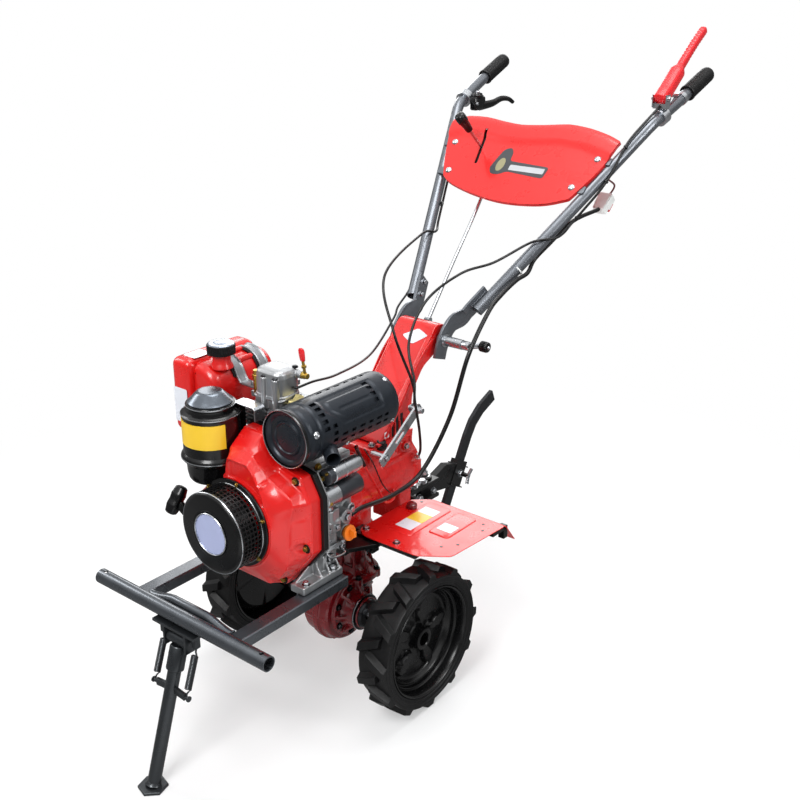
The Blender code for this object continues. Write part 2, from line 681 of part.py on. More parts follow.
piece(
    "tank_straps",
    GREY_PAINT,
    box((-0.086, -0.150, CYLINDER_TOP_Z + SEAT), (HEAD_LEFT_X - SEAT, -0.040, STRAP_FOOT_Z), 0.001),
    add=straps,
)

# ---------------------------------------------------------------- air cleaner, muffler and starter motor

CLEANER_BASE_Z, CLEANER_HEIGHT = 0.545, 0.188
ELBOW_START = Vector((CLEANER_X + 0.020, CLEANER_Y + 0.040, 0.643))
ELBOW_END = Vector((CYLINDER_X - 0.0705, -0.150, 0.656))
piece(
    "air_cleaner",
    BLACK_PAINT,
    turned(
        [
            (0, 0),
            (0, 0.040),
            (0.006, 0.046),
            (0.040, 0.050),
            (0.048, CLEANER_RADIUS),
            (0.054, CLEANER_RADIUS + 0.001),
            (0.062, CLEANER_RADIUS - 0.003),
            (0.138, CLEANER_RADIUS - 0.003),
            (0.144, CLEANER_RADIUS - 0.001),
            (0.150, CLEANER_RADIUS - 0.007),
            (0.166, CLEANER_RADIUS - 0.007),
            (0.186, 0.028),
            (CLEANER_HEIGHT, 0.024),
            (CLEANER_HEIGHT, 0),
        ],
        (CLEANER_X, CLEANER_Y, CLEANER_BASE_Z),
        (0, 0, 1),
        32,
    ),
    add=[
        swept(
            [ELBOW_START, (-0.098, -0.190, 0.650), (-0.093, -0.160, 0.655), (-0.084, -0.150, 0.656), ELBOW_END],
            circle(0.012, 14),
            (0, 0, 1),
        )
    ],
)

MUFFLER_LENGTH = MUFFLER_REAR_Y - MUFFLER_FRONT_Y
OUTLET_START = Vector((MUFFLER_X + 0.030, -0.150, MUFFLER_Z - 0.030))
OUTLET_END = Vector((MUFFLER_X + 0.078, -0.186, MUFFLER_Z - 0.038))
OUTLET_RADIUS = 0.0155
piece(
    "muffler",
    BLACK_PAINT,
    turned(
        [
            (0.004, 0),
            (0.004, 0.026),
            (0.001, 0.030),
            (0.006, 0.034),
            (0.006, 0.048),
            (0, MUFFLER_RADIUS - 0.006),
            (0, MUFFLER_RADIUS),
            (MUFFLER_LENGTH - 0.014, MUFFLER_RADIUS),
            (MUFFLER_LENGTH, MUFFLER_RADIUS - 0.014),
            (MUFFLER_LENGTH, 0),
        ],
        (MUFFLER_X, MUFFLER_FRONT_Y, MUFFLER_Z),
        (0, 1, 0),
        36,
    ),
    add=[
        rod(OUTLET_START, OUTLET_END, OUTLET_RADIUS, 16),
        box((CYLINDER_X + CYLINDER_RIGHT + SEAT, -0.130, 0.640), (MUFFLER_X - MUFFLER_RADIUS + 0.020, -0.095, 0.684), 0.002),
    ],
    cut=[rod(OUTLET_END.lerp(OUTLET_START, 0.6), OUTLET_END.lerp(OUTLET_START, -0.3), OUTLET_RADIUS - 0.002, 16)],
)

MOTOR_X, MOTOR_Z, MOTOR_RADIUS = 0.144, 0.535, 0.023
SOLENOID_X, SOLENOID_Z, SOLENOID_RADIUS = 0.148, 0.581, 0.018
piece(
    "starter_motor",
    CAST,
    rod((MOTOR_X, -0.178, MOTOR_Z), (MOTOR_X, -0.072, MOTOR_Z), MOTOR_RADIUS, 20),
    add=[
        rod((SOLENOID_X, -0.160, SOLENOID_Z), (SOLENOID_X, -0.078, SOLENOID_Z), SOLENOID_RADIUS, 18),
        box(
            (CRANKCASE_HALF_WIDTH + SEAT, -0.182, MOTOR_Z - 0.020),
            (SOLENOID_X + 0.012, -0.166, SOLENOID_Z + 0.008),
            0.003,
        ),
        box((CRANKCASE_HALF_WIDTH + SEAT, -0.160, MOTOR_Z - 0.012), (MOTOR_X, -0.090, SOLENOID_Z), 0.002),
    ],
)
# ---------------------------------------------------------------- gearbox, column and shift lever

GEARBOX_CENTRE = (0, GEARBOX_FRONT_Y, GEARBOX_Z)
GEARBOX_LENGTH = GEARBOX_REAR_Y - GEARBOX_FRONT_Y
CLUTCH_FRONT_Y = CRANKCASE_REAR_Y + SEAT
BELL_RADIUS = 0.098
COLUMN_BASE_Z = 0.530
SADDLE_HALF = 0.050
gearbox = turned(
    [
        (CLUTCH_FRONT_Y - GEARBOX_FRONT_Y, 0),
        (CLUTCH_FRONT_Y - GEARBOX_FRONT_Y, BELL_RADIUS),
        (-0.048, BELL_RADIUS),
        (-0.036, GEARBOX_RADIUS + 0.008),
        (0.008, GEARBOX_RADIUS + 0.008),
        (0.012, GEARBOX_RADIUS),
        (GEARBOX_LENGTH - 0.020, GEARBOX_RADIUS),
        (GEARBOX_LENGTH - 0.018, GEARBOX_RADIUS + 0.005),
        (GEARBOX_LENGTH - 0.004, GEARBOX_RADIUS + 0.005),
        (GEARBOX_LENGTH, GEARBOX_RADIUS - 0.003),
        (GEARBOX_LENGTH, 0),
    ],
    GEARBOX_CENTRE,
    (0, 1, 0),
    32,
)
LINK_X = -0.030  # lower half of the shift linkage, behind the column
ARM_TOP_Z = FENDER_Z - SEAT
fender_arms = []
for _, side in SIDES:
    low_x, high_x = sorted((side * 0.050, side * 0.225))
    fender_arms.append(box((low_x, 0.012, ARM_TOP_Z - 0.006), (high_x, 0.034, ARM_TOP_Z)))
    low_x, high_x = sorted((side * 0.050, side * 0.088))
    fender_arms.append(box((low_x, 0.014, 0.340), (high_x, 0.032, ARM_TOP_Z - 0.003)))
piece(
    "gearbox",
    RED,
    gearbox,
    add=[
        box((-SADDLE_HALF, 0.060, GEARBOX_Z), (SADDLE_HALF, 0.215, COLUMN_BASE_Z), 0.004),
        rod((0, CASE_NECK_Y, CASE_TOP_Z + SEAT), (0, CASE_NECK_Y, GEARBOX_Z - 0.03), 0.056, 20),
        box((-0.042, 0.175, 0.300), (0.042, GEARBOX_REAR_Y, GEARBOX_Z - 0.02), 0.003),
        *fender_arms,
        rod((LINK_X, 0.205, 0.495), (LINK_X, 0.232, 0.512), 0.004, 8),
        rod((LINK_X, 0.230, 0.508), (LINK_X, 0.352, 0.698), 0.004, 8),
    ],
)
COLUMN_OUTLINE = [  # rearward, up
    (0.085, COLUMN_BASE_Z + SEAT),
    (0.150, 0.596),
    (0.292, 0.760),
    (0.330, 0.752),
    (0.314, 0.703),
    (0.246, 0.672),
    (0.208, 0.622),
    (0.200, COLUMN_BASE_Z + SEAT),
]
piece(
    "column",
    RED,
    extruded(COLUMN_OUTLINE, -COLUMN_HALF_WIDTH, COLUMN_HALF_WIDTH, "YZ"),
    cut=[rod((-0.1, TILT_Y, TILT_Z), (0.1, TILT_Y, TILT_Z), 0.0085, 16)],
)
LEVER_X = 0.088
LEVER_LOW = Vector((LEVER_X, 0.055, 0.510))
LEVER_HIGH = Vector((LEVER_X, 0.190, 0.606))
piece(
    "gear_lever",
    ZINC,
    swept([LEVER_LOW, LEVER_HIGH], flat(0.022, 0.005), (1, 0, 0)),
    add=[
        rod((SADDLE_HALF + SEAT, 0.070, 0.5205), (LEVER_X, 0.070, 0.5205), 0.007, 12),
        rod((LEVER_X - 0.022, 0.180, 0.5985), (LEVER_X + 0.016, 0.180, 0.5985), 0.008, 12),
    ],
)

# ---------------------------------------------------------------- hitch and drag bar

HITCH_FRONT_Y, HITCH_REAR_Y = GEARBOX_REAR_Y + SEAT, 0.345
HITCH_LOW_Z, HITCH_HIGH_Z = 0.302, 0.352
slide = Vector((0, math.sin(SLIDE_TILT), math.cos(SLIDE_TILT)))
lean_back = Vector((0, math.cos(SLIDE_TILT), -math.sin(SLIDE_TILT)))
sleeve_middle = Vector((0, BAR_SLEEVE_Y, BAR_SLEEVE_Z))
SLIDE_GAP = 0.0008
SLEEVE_WALL = 0.005
SLEEVE_HALF = 0.032
sleeve_across = BAR_THICKNESS / 2 + SLIDE_GAP
sleeve_along = BAR_WIDTH / 2 + SLIDE_GAP
sleeve_outer = [
    (-sleeve_across - SLEEVE_WALL, -sleeve_along - SLEEVE_WALL),
    (sleeve_across + SLEEVE_WALL, -sleeve_along - SLEEVE_WALL),
    (sleeve_across + SLEEVE_WALL, sleeve_along + SLEEVE_WALL),
    (-sleeve_across - SLEEVE_WALL, sleeve_along + SLEEVE_WALL),
]
sleeve_inner = [
    (-sleeve_across, -sleeve_along),
    (sleeve_across, -sleeve_along),
    (sleeve_across, sleeve_along),
    (-sleeve_across, sleeve_along),
]
TONGUE_X = 0.009
piece(
    "hitch",
    BLACK_PAINT,
    swept(
        [sleeve_middle - slide * SLEEVE_HALF, sleeve_middle + slide * SLEEVE_HALF],
        sleeve_outer,
        (1, 0, 0),
        bore=sleeve_inner,
    ),
    add=[
        box((-0.046, HITCH_FRONT_Y, HITCH_LOW_Z), (0.046, HITCH_FRONT_Y + 0.012, HITCH_HIGH_Z), 0.002),
        box((-0.030, HITCH_FRONT_Y + 0.006, HITCH_HIGH_Z - 0.010), (0.030, HITCH_REAR_Y, HITCH_HIGH_Z), 0.002),
        box((-0.030, HITCH_FRONT_Y + 0.006, HITCH_LOW_Z), (0.030, HITCH_REAR_Y, HITCH_LOW_Z + 0.010), 0.002),
        rod((0, 0.318, HITCH_LOW_Z - 0.012), (0, 0.318, HITCH_HIGH_Z + 0.022), 0.008, 12),
        rod((0, 0.318, HITCH_HIGH_Z - 0.002), (0, 0.318, HITCH_HIGH_Z + 0.010), 0.014, 6),
        extruded(
            [(0.300, 0.3125), (0.4157, 0.292), (0.4441, 0.345), (0.400, 0.360), (0.345, 0.3415), (0.300, 0.3415)],
            -TONGUE_X,
            TONGUE_X,
            "YZ",
        ),
        rod((sleeve_across + 0.002, *(sleeve_middle + lean_back * 0.002).yz), (0.040, *(sleeve_middle + lean_back * 0.002).yz), 0.006, 12),
    ],
)
bar_low = sleeve_middle - slide * 0.170
bend = sleeve_middle + slide * 0.094
bar_path = [
    bar_low,
    bend,
    bend + Vector((0, 0.022, 0.032)),
    bend + Vector((0, 0.056, 0.058)),
    bend + Vector((0, 0.108, 0.080)),
]
piece("drag_bar", GREY_PAINT, swept(bar_path, flat(BAR_WIDTH, BAR_THICKNESS), (1, 0, 0)))

# ---------------------------------------------------------------- fenders

FENDER_OUTLINE = [  # outward, rearward
    (0.062, 0.012),
    (0.090, -0.008),
    (0.232, -0.004),
    (0.292, 0.040),
    (0.304, 0.222),
    (0.100, 0.222),
    (0.062, 0.190),
]
FLAP_DROP, FLAP_REACH = 0.050, 0.042
for name, side in SIDES:
    outline = [(side * x, y) for x, y in FENDER_OUTLINE]
    flap = [
        (0.2215, FENDER_Z),
        (0.2215 + FLAP_REACH, FENDER_Z - FLAP_DROP),
        (0.2235 + FLAP_REACH, FENDER_Z - FLAP_DROP + 0.001),
        (0.2240, FENDER_Z + 0.0018),
    ]
    low_x, high_x = sorted((side * 0.102, side * 0.3035))
    piece(
        f"fender_{name}",
        RED,
        extruded(outline, FENDER_Z, FENDER_Z + FENDER_SHEET, "XY"),
        add=[extruded(flap, low_x, high_x, "YZ")],
    )

# ---------------------------------------------------------------- handlebar

TUBE_START = Vector((0.094, 0.392, 0.775))  # left tube, middle of its lower end
TUBE_STRAIGHT_END = Vector((0.265, 0.784, 1.133))
TUBE_BENDS = (Vector((0.280, 0.822, 1.165)), Vector((0.288, 0.880, 1.1905)))
GRIP_START, GRIP_END = Vector((0.2945, 0.955, 1.2215)), Vector((0.299, 1.051, 1.260))
PLATE_X = COLUMN_HALF_WIDTH + 0.0105
PLATE_OFFSET = HANDLE_RADIUS + PLATE_FLAT / 2 - 0.001
BOLT_RADIUS = 0.008
WASHER_RADIUS = 0.016
SHIELD_SHEET = 0.003
SHIELD_HEIGHT = 0.0185  # the shield's underside above the tubes' middles
TAB_THICKNESS = 0.004
TAB_AT = ((0.177, 0.355), (0.205, 0.442))

tube_line = (TUBE_STRAIGHT_END - TUBE_START).normalized()
grip_line = (GRIP_END - GRIP_START).normalized()
inner_side = (tube_line * tube_line.x - Vector((1, 0, 0))).normalized()
shield_run = Vector((0, tube_line.y, tube_line.z)).normalized()
shield_up = Vector((0, -shield_run.z, shield_run.y))
shield_base = Vector((0, TUBE_START.y, TUBE_START.z))


def beside_tube(side, distance, inward, above):
    """A point at a distance up the straight tube, off its middle towards the machine's middle and above."""
    point = TUBE_START + tube_line * distance + inner_side * inward + shield_up * above
    return Vector((point.x * side, point.y, point.z))


def over_tubes(across, along, height):
    """A point across the machine, along the tubes' slope and above the plane of their middles."""
    return Vector((across, 0, 0)) + shield_base + shield_run * along + shield_up * height


def sheet_prism(outline, low, high):
    """An outline in the plane of the tubes, from one height above it to another."""
    bm = bmesh.new()
    face = bm.faces.new([bm.verts.new(over_tubes(a, b, low)) for a, b in outline])
    grown = bmesh.ops.extrude_face_region(bm, geom=[face])["geom"]
    moved = [v for v in grown if isinstance(v, bmesh.types.BMVert)]
    bmesh.ops.translate(bm, vec=shield_up * (high - low), verts=moved)
    return bm


for name, side in SIDES:
    plate_path = [
        Vector((side * PLATE_X, TILT_Y - 0.015, TILT_Z - 0.036)),
        Vector((side * PLATE_X, TILT_Y - 0.008, TILT_Z - 0.014)),
        Vector((side * PLATE_X, TILT_Y + 0.007, TILT_Z + 0.012)),
        Vector((side * (PLATE_X + 0.001), TILT_Y + 0.032, TILT_Z + 0.033)),
        beside_tube(side, -0.030, PLATE_OFFSET, 0),
        beside_tube(side, -0.006, PLATE_OFFSET, 0),
        beside_tube(side, 0.052, PLATE_OFFSET, 0),
    ]
    washer_x = side * (COLUMN_HALF_WIDTH + SEAT)
    added = [
        swept(plate_path, flat(PLATE_WIDTH, PLATE_FLAT), (side, 0, 0)),
        rod((washer_x, TILT_Y, TILT_Z), (side * (PLATE_X + 0.001), TILT_Y, TILT_Z), WASHER_RADIUS, 20),
    ]
    for rivet_x, along in TAB_AT:
        tube_x = TUBE_START.x + along * tube_line.x / math.hypot(tube_line.y, tube_line.z)
        across = sorted((side * (rivet_x - 0.010), side * (tube_x + 0.002)))
        tab = [(across[0], along - 0.010), (across[1], along - 0.010), (across[1], along + 0.010), (across[0], along + 0.010)]
        tab_top = SHIELD_HEIGHT - SEAT
        added.append(sheet_prism(tab, tab_top - TAB_THICKNESS, tab_top))
    tube_path = [TUBE_START, TUBE_STRAIGHT_END, *TUBE_BENDS, GRIP_START - grip_line * 0.006, GRIP_END - grip_line * 0.010]
    piece(
        f"handle_tube_{name}",
        GREY_PAINT,
        swept(
            mirrored(tube_path, side),
            circle(HANDLE_RADIUS),
            (side, 0, 0),
            bore=circle(HANDLE_RADIUS - HANDLE_WALL),
        ),
        add=added,
        cut=[rod((side * 0.04, TILT_Y, TILT_Z), (side * 0.09, TILT_Y, TILT_Z), BOLT_RADIUS + SEAT, 16)],
    )
    grip_length = (GRIP_END - GRIP_START).length
    grip_profile = [
        (grip_length - 0.005, 0),
        (grip_length - 0.005, HANDLE_RADIUS + SEAT),
        (0, HANDLE_RADIUS + SEAT),
        (0, GRIP_RADIUS),
        (grip_length, GRIP_RADIUS),
        (grip_length + 0.006, GRIP_RADIUS - 0.006),
        (grip_length + 0.006, 0),
    ]
    grip_at = (GRIP_START.x * side, GRIP_START.y, GRIP_START.z)
    piece(f"grip_{name}", RUBBER, turned(grip_profile, grip_at, (grip_line.x * side, *grip_line.yz), 20))

SLEEVE_START_X = PLATE_X + PLATE_FLAT / 2 + SEAT
KNOB_AT = Vector((0.152, TILT_Y + 0.020, TILT_Z))
piece(
    "tilt_bolt",
    ZINC,
    rod((-SLEEVE_START_X - 0.002, TILT_Y, TILT_Z), (0.140, TILT_Y, TILT_Z), BOLT_RADIUS, 16),
    add=[
        rod((-SLEEVE_START_X - 0.010, TILT_Y, TILT_Z), (-SLEEVE_START_X, TILT_Y, TILT_Z), 0.014, 6),
        rod((SLEEVE_START_X, TILT_Y, TILT_Z), (0.118, TILT_Y, TILT_Z), 0.0115, 20),
        rod((0.132, TILT_Y - 0.004, TILT_Z), (0.154, TILT_Y + 0.022, TILT_Z), 0.006, 12),
        rod(KNOB_AT, KNOB_AT + Vector((0.022, 0, 0)), 0.0125, 14),
    ],
)

# Shield with its slot, and the shift rod that goes through it
SHIELD_OUTLINE = [  # across, along the tubes: top edge from right to left, then round
    (-0.245, 0.510),
    (-0.205, 0.526),
    (-0.150, 0.528),
    (-0.090, 0.520),
    (-0.040, 0.516),
    (0.020, 0.522),
    (0.088, 0.532),
    (0.150, 0.526),
    (0.205, 0.512),
    (0.240, 0.498),
    (0.230, 0.440),
    (0.213, 0.385),
    (0.184, 0.322),
    (0.135, 0.301),
    (0.084, 0.291),
    (0.020, 0.287),
    (-0.046, 0.293),
    (-0.110, 0.306),
    (-0.160, 0.322),
    (-0.185, 0.338),
    (-0.213, 0.400),
    (-0.238, 0.470),
]
SLOT_TOP, SLOT_FOOT = Vector((-0.130, 0.487)), Vector((-0.113, 0.390))
SHIFT_ROD_RADIUS = 0.004
slot_side = Vector((0.985, 0.173)) * (SHIFT_ROD_RADIUS + SEAT)
slot = [SLOT_TOP - slot_side, SLOT_TOP + slot_side, SLOT_FOOT + slot_side, SLOT_FOOT - slot_side]
piece(
    "shield",
    RED,
    sheet_prism(SHIELD_OUTLINE, SHIELD_HEIGHT, SHIELD_HEIGHT + SHIELD_SHEET),
    cut=[sheet_prism(slot, SHIELD_HEIGHT - 0.005, SHIELD_HEIGHT + 0.010)],
)
slot_middle = (SLOT_TOP + SLOT_FOOT) / 2
shift_path = [
    (-0.030, 0.371, 0.734),
    (-0.060, 0.510, 0.845),
    (-0.075, 0.635, 0.968),
    over_tubes(slot_middle.x + 0.004, slot_middle.y - 0.010, -0.045),
    over_tubes(slot_middle.x, slot_middle.y, -0.025),
    over_tubes(slot_middle.x, slot_middle.y, 0.084),
]
piece(
    "shift_rod",
    ZINC,
    swept(shift_path, circle(SHIFT_ROD_RADIUS, 10), (1, 0, 0)),
    add=[
        rod(over_tubes(*slot_middle, 0.080), over_tubes(*slot_middle, 0.116), 0.009, 12),
        rod((-0.036, 0.371, 0.734), (-0.024, 0.371, 0.734), 0.008, 12),
    ],
)

# Levers beside the grips
LEVER_PIVOT = Vector((0.284, 0.843, 1.2195))
CLAMP_AT = TUBE_BENDS[0].lerp(TUBE_BENDS[1], 0.5)
clamp_line = (TUBE_BENDS[1] - TUBE_BENDS[0]).normalized()
CLAMP_INNER, CLAMP_OUTER, CLAMP_HALF = HANDLE_RADIUS + 0.0008, HANDLE_RADIUS + 0.0048, 0.011
clamp_ring = [(-CLAMP_HALF, CLAMP_INNER), (CLAMP_HALF, CLAMP_INNER), (CLAMP_HALF, CLAMP_OUTER), (-CLAMP_HALF, CLAMP_OUTER)]
piece(
    "clutch_bracket",
    ZINC,
    turned(clamp_ring, CLAMP_AT, clamp_line, 24),
    add=[rod(CLAMP_AT + Vector((0, -0.0015, 0.0190)), LEVER_PIVOT - Vector((0, 0.0015, 0.0096)), 0.006, 12)],
)
clutch_path = [
    LEVER_PIVOT + Vector((0, 0.002, 0.001)),
    (0.2835, 0.880, 1.246),
    (0.282, 0.940, 1.290),
    (0.281, 1.000, 1.333),
    (0.280, 1.050, 1.364),
]
piece(
    "clutch_lever",
    RED_PLASTIC,
    rod(LEVER_PIVOT - Vector((0.009, 0, 0)), LEVER_PIVOT + Vector((0.009, 0, 0)), 0.0070, 14),
    add=[swept(clutch_path, flat(0.012, 0.020), (1, 0, 0))],
)
throttle_at = Vector((-CLAMP_AT.x, CLAMP_AT.y, CLAMP_AT.z))
throttle_blade = [(-0.250, 0.878, 1.160), (-0.238, 0.925, 1.156), (-0.224, 0.960, 1.163), (-0.212, 0.985, 1.160)]
piece(
    "throttle_lever",
    BLACK_PAINT,
    turned(clamp_ring, throttle_at, (-clamp_line.x, *clamp_line.yz), 24),
    add=[
        box((-0.2652, 0.838, 1.150), (-0.242, 0.890, 1.182), 0.003),
        swept(throttle_blade, flat(0.012, 0.008), (1, 0, 0)),
    ],
)

# ---------------------------------------------------------------- cables

WIRE_RADIUS, LOOM_RADIUS = 0.003, 0.005
WIRE_OFF = HANDLE_RADIUS + WIRE_RADIUS + 0.0006
cable(
    "clutch_cable",
    [
        beside_tube(LEFT, 0.530, -0.010, -0.0175),
        beside_tube(LEFT, 0.400, -0.010, -0.0175),
        beside_tube(LEFT, 0.300, -0.012, -0.0180),
        beside_tube(LEFT, 0.270, -0.019, -0.0120),
        beside_tube(LEFT, 0.243, -0.0225, 0.002),
        beside_tube(LEFT, 0.215, -0.010, 0.020),
        beside_tube(LEFT, 0.190, 0.008, 0.023),
        (0.110, 0.430, 0.884),
        (0.080, 0.344, 0.871),
        (0.050, 0.258, 0.822),
        (0.070, 0.173, 0.753),
        (0.105, 0.148, 0.680),
        (0.112, 0.141, 0.640),
        (0.110, 0.160, 0.564),
        (0.090, 0.190, 0.497),
        (0.0642, 0.2090, 0.4619),
    ],
    WIRE_RADIUS,
    spacing=0.030,
)
cable(
    "reverse_cable",
    [
        beside_tube(RIGHT, 0.520, 0.010, -0.0175),
        beside_tube(RIGHT, 0.360, 0.010, -0.0175),
        beside_tube(RIGHT, 0.240, 0.010, -0.0185),
        beside_tube(RIGHT, 0.190, 0.021, 0.000),
        (-0.130, 0.470, 0.905),
        (-0.050, 0.236, 0.867),
        (0.030, 0.171, 0.766),
        (0.064, 0.194, 0.650),
        (0.078, 0.183, 0.6068),
    ],
    WIRE_RADIUS,
    spacing=0.030,
)
cable(
    "throttle_cable",
    [
        (0.0306, -0.146, 0.736),
        (0.0395, -0.1455, 0.736),
        (0.040, -0.098, 0.736),
        (0.018, 0.000, 0.718),
        (-0.030, 0.160, 0.706),
        (-0.082, 0.304, 0.742),
        (-0.106, 0.352, 0.757),
        (-0.128, 0.425, 0.782),
        beside_tube(RIGHT, 0.100, -0.020, -0.013),
        beside_tube(RIGHT, 0.160, -0.012, -0.0165),
        beside_tube(RIGHT, 0.300, -0.012, -0.0165),
        beside_tube(RIGHT, 0.500, -0.012, -0.0165),
    ],
    WIRE_RADIUS * 0.85,
    spacing=0.030,
)
cable(
    "wiring_loom",
    [
        (0.212, 0.712, 0.972),
        beside_tube(LEFT, 0.3131, 0, -0.030),
        beside_tube(LEFT, 0.2316, 0, -0.0235),
        beside_tube(LEFT, 0.1826, 0, -0.0235),
        beside_tube(LEFT, 0.145, -0.018, -0.0165),
        beside_tube(LEFT, 0.110, -0.0245, 0.002),
        (0.151, 0.400, 0.820),
        (0.153, 0.350, 0.793),
        (0.155, 0.275, 0.712),
        (0.136, 0.236, 0.573),
        (0.116, 0.164, 0.463),
        (0.113, 0.070, 0.441),
        (0.1235, -0.050, 0.460),
        (0.1236, -0.083, 0.458),
    ],
    LOOM_RADIUS,
    spacing=0.030,
)
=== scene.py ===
# Walk-behind diesel tiller on its transport wheels, parked on its front stand.
import math

import bmesh
import bpy
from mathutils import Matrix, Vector


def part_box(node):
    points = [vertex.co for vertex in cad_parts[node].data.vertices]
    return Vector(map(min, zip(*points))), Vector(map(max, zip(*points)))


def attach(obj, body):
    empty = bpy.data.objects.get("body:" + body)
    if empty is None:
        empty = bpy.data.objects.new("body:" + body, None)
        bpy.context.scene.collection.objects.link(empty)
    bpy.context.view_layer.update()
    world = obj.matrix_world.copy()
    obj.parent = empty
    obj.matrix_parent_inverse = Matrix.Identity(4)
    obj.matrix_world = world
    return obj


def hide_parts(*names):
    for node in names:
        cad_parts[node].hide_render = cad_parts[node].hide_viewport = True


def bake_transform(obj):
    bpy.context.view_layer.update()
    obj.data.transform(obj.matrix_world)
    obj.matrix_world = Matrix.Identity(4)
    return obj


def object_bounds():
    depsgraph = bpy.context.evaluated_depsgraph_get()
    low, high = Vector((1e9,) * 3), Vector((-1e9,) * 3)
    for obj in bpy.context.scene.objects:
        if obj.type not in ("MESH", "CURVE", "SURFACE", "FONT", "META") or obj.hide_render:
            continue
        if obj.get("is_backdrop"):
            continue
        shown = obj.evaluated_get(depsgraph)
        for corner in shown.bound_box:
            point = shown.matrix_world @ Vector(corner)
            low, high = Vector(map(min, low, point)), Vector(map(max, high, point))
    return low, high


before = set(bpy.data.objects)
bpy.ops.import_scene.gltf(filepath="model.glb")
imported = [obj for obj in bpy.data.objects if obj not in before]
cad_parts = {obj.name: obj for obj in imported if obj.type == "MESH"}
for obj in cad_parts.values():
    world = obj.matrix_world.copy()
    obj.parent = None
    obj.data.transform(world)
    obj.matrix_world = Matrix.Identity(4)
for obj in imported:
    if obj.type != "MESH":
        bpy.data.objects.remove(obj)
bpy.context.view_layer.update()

# ---------------------------------------------------------------- camera
# An ordinary standard lens, at a standing adult's eye height, in front of the machine and to its left.
azimuth, pitch = math.radians(39.07), math.radians(21.99)
towards_eye = Vector((
    math.sin(azimuth) * math.cos(pitch), -math.cos(azimuth) * math.cos(pitch), math.sin(pitch)
))
camera = bpy.data.objects.new("camera", bpy.data.cameras.new("camera"))
camera.data.lens = 49.8
camera.data.sensor_width = 36
bpy.context.scene.view_settings.view_transform = "Standard"
camera.location = (1.482, -1.8388, 1.533)
camera.rotation_euler = towards_eye.to_track_quat("Z", "Y").to_euler()
bpy.context.scene.collection.objects.link(camera)
bpy.context.scene.camera = camera

# ---------------------------------------------------------------- studio
# A white room with one large soft lamp over the front, a smaller one at each side and one behind for the
# sheen on the flat sheets. The floor is a pale matt sheet that runs out into white.


def srgb(code):
    """A hex colour as the linear values that the shaders take."""
    parts = [int(code[i : i + 2], 16) / 255 for i in (0, 2, 4)]
    return (*[p / 12.92 if p <= 0.04045 else ((p + 0.055) / 1.055) ** 2.4 for p in parts], 1.0)


def add_node(tree, kind, sockets=None, **fields):
    """Adds a node with its settings; a socket takes a value or another node's output."""
    made = tree.nodes.new(kind)
    for field, value in fields.items():
        setattr(made, field, value)
    for name, value in (sockets or {}).items():
        if isinstance(value, bpy.types.NodeSocket):
            tree.links.new(value, made.inputs[name])
        else:
            made.inputs[name].default_value = value
    return made


def maths(tree, operation, *values):
    """The outcome of a sum over sockets and numbers."""
    return add_node(tree, "ShaderNodeMath", dict(enumerate(values)), operation=operation).outputs[0]


def mapped(tree, value, start, end, low, high, **fields):
    """What lies between start and end, carried over to low and high."""
    sockets = {"Value": value, "From Min": start, "From Max": end, "To Min": low, "To Max": high}
    return add_node(tree, "ShaderNodeMapRange", sockets, **fields).outputs[0]


room = bpy.data.worlds.new("white room")
room.use_nodes = True
tree = room.node_tree
tree.nodes.clear()
path = add_node(tree, "ShaderNodeLightPath").outputs
seen = maths(tree, "MAXIMUM", path["Is Camera Ray"], path["Is Glossy Ray"])
seen = maths(tree, "MAXIMUM", seen, path["Is Transmission Ray"])
# Paint and metal see a bright ceiling over dimmer walls, which gives them both highlights and depth.
aim = add_node(tree, "ShaderNodeTexCoord")
aim = add_node(tree, "ShaderNodeSeparateXYZ", {0: aim.outputs["Generated"]})
walls = mapped(tree, aim.outputs["Z"], 0.2, 0.8, -0.8, 0.1, interpolation_type="SMOOTHSTEP")
walls = maths(tree, "MULTIPLY_ADD", path["Is Glossy Ray"], walls, 1.0)
fill = add_node(tree, "ShaderNodeBackground", {"Color": srgb("F4F6F8"), "Strength": 0.46})
white = add_node(tree, "ShaderNodeBackground", {"Color": srgb("FFFFFF"), "Strength": walls})
either = add_node(tree, "ShaderNodeMixShader", {0: seen, 1: fill.outputs[0], 2: white.outputs[0]})
add_node(tree, "ShaderNodeOutputWorld", {"Surface": either.outputs[0]})
bpy.context.scene.world = room

for name, place, size, power in (
    ("key lamp", (0.6, -2.7, 2.9), (1.3, 1.3), 78),
    ("left lamp", (3.0, 0.3, 2.3), (0.8, 1.5), 34),
    ("right lamp", (-2.8, -1.0, 2.2), (0.8, 1.5), 26),
    ("back lamp", (-1.9, 2.9, 2.1), (3.6, 1.5), 68),
    ("top lamp", (0.0, 0.2, 3.4), (1.6, 1.6), 42),
):
    lamp = bpy.data.objects.new(name, bpy.data.lights.new(name, "AREA"))
    lamp.data.shape = "RECTANGLE"
    lamp.data.size, lamp.data.size_y = size
    lamp.data.energy = power
    lamp.location = place
    lamp.rotation_euler = (Vector(place) - Vector((0, 0, 0.55))).to_track_quat("Z", "Y").to_euler()
    lamp.visible_camera = False
    bpy.context.scene.collection.objects.link(lamp)

paper = bpy.data.materials.new("pale backdrop paper")
paper.use_nodes = True
tree = paper.node_tree
tree.nodes.clear()
place = add_node(tree, "ShaderNodeTexCoord")
far = add_node(tree, "ShaderNodeVectorMath", {0: place.outputs["Object"]}, operation="LENGTH")
run_out = mapped(tree, far.outputs["Value"], 0.5, 1.7, 0.35, 1.0, interpolation_type="SMOOTHSTEP")
path = add_node(tree, "ShaderNodeLightPath").outputs
share = maths(tree, "MULTIPLY", path["Is Camera Ray"], run_out)
share = maths(tree, "MAXIMUM", share, path["Is Glossy Ray"])
share = maths(tree, "MAXIMUM", share, path["Is Transmission Ray"])
matt = add_node(tree, "ShaderNodeBsdfDiffuse", {"Color": srgb("F2F2F2")})
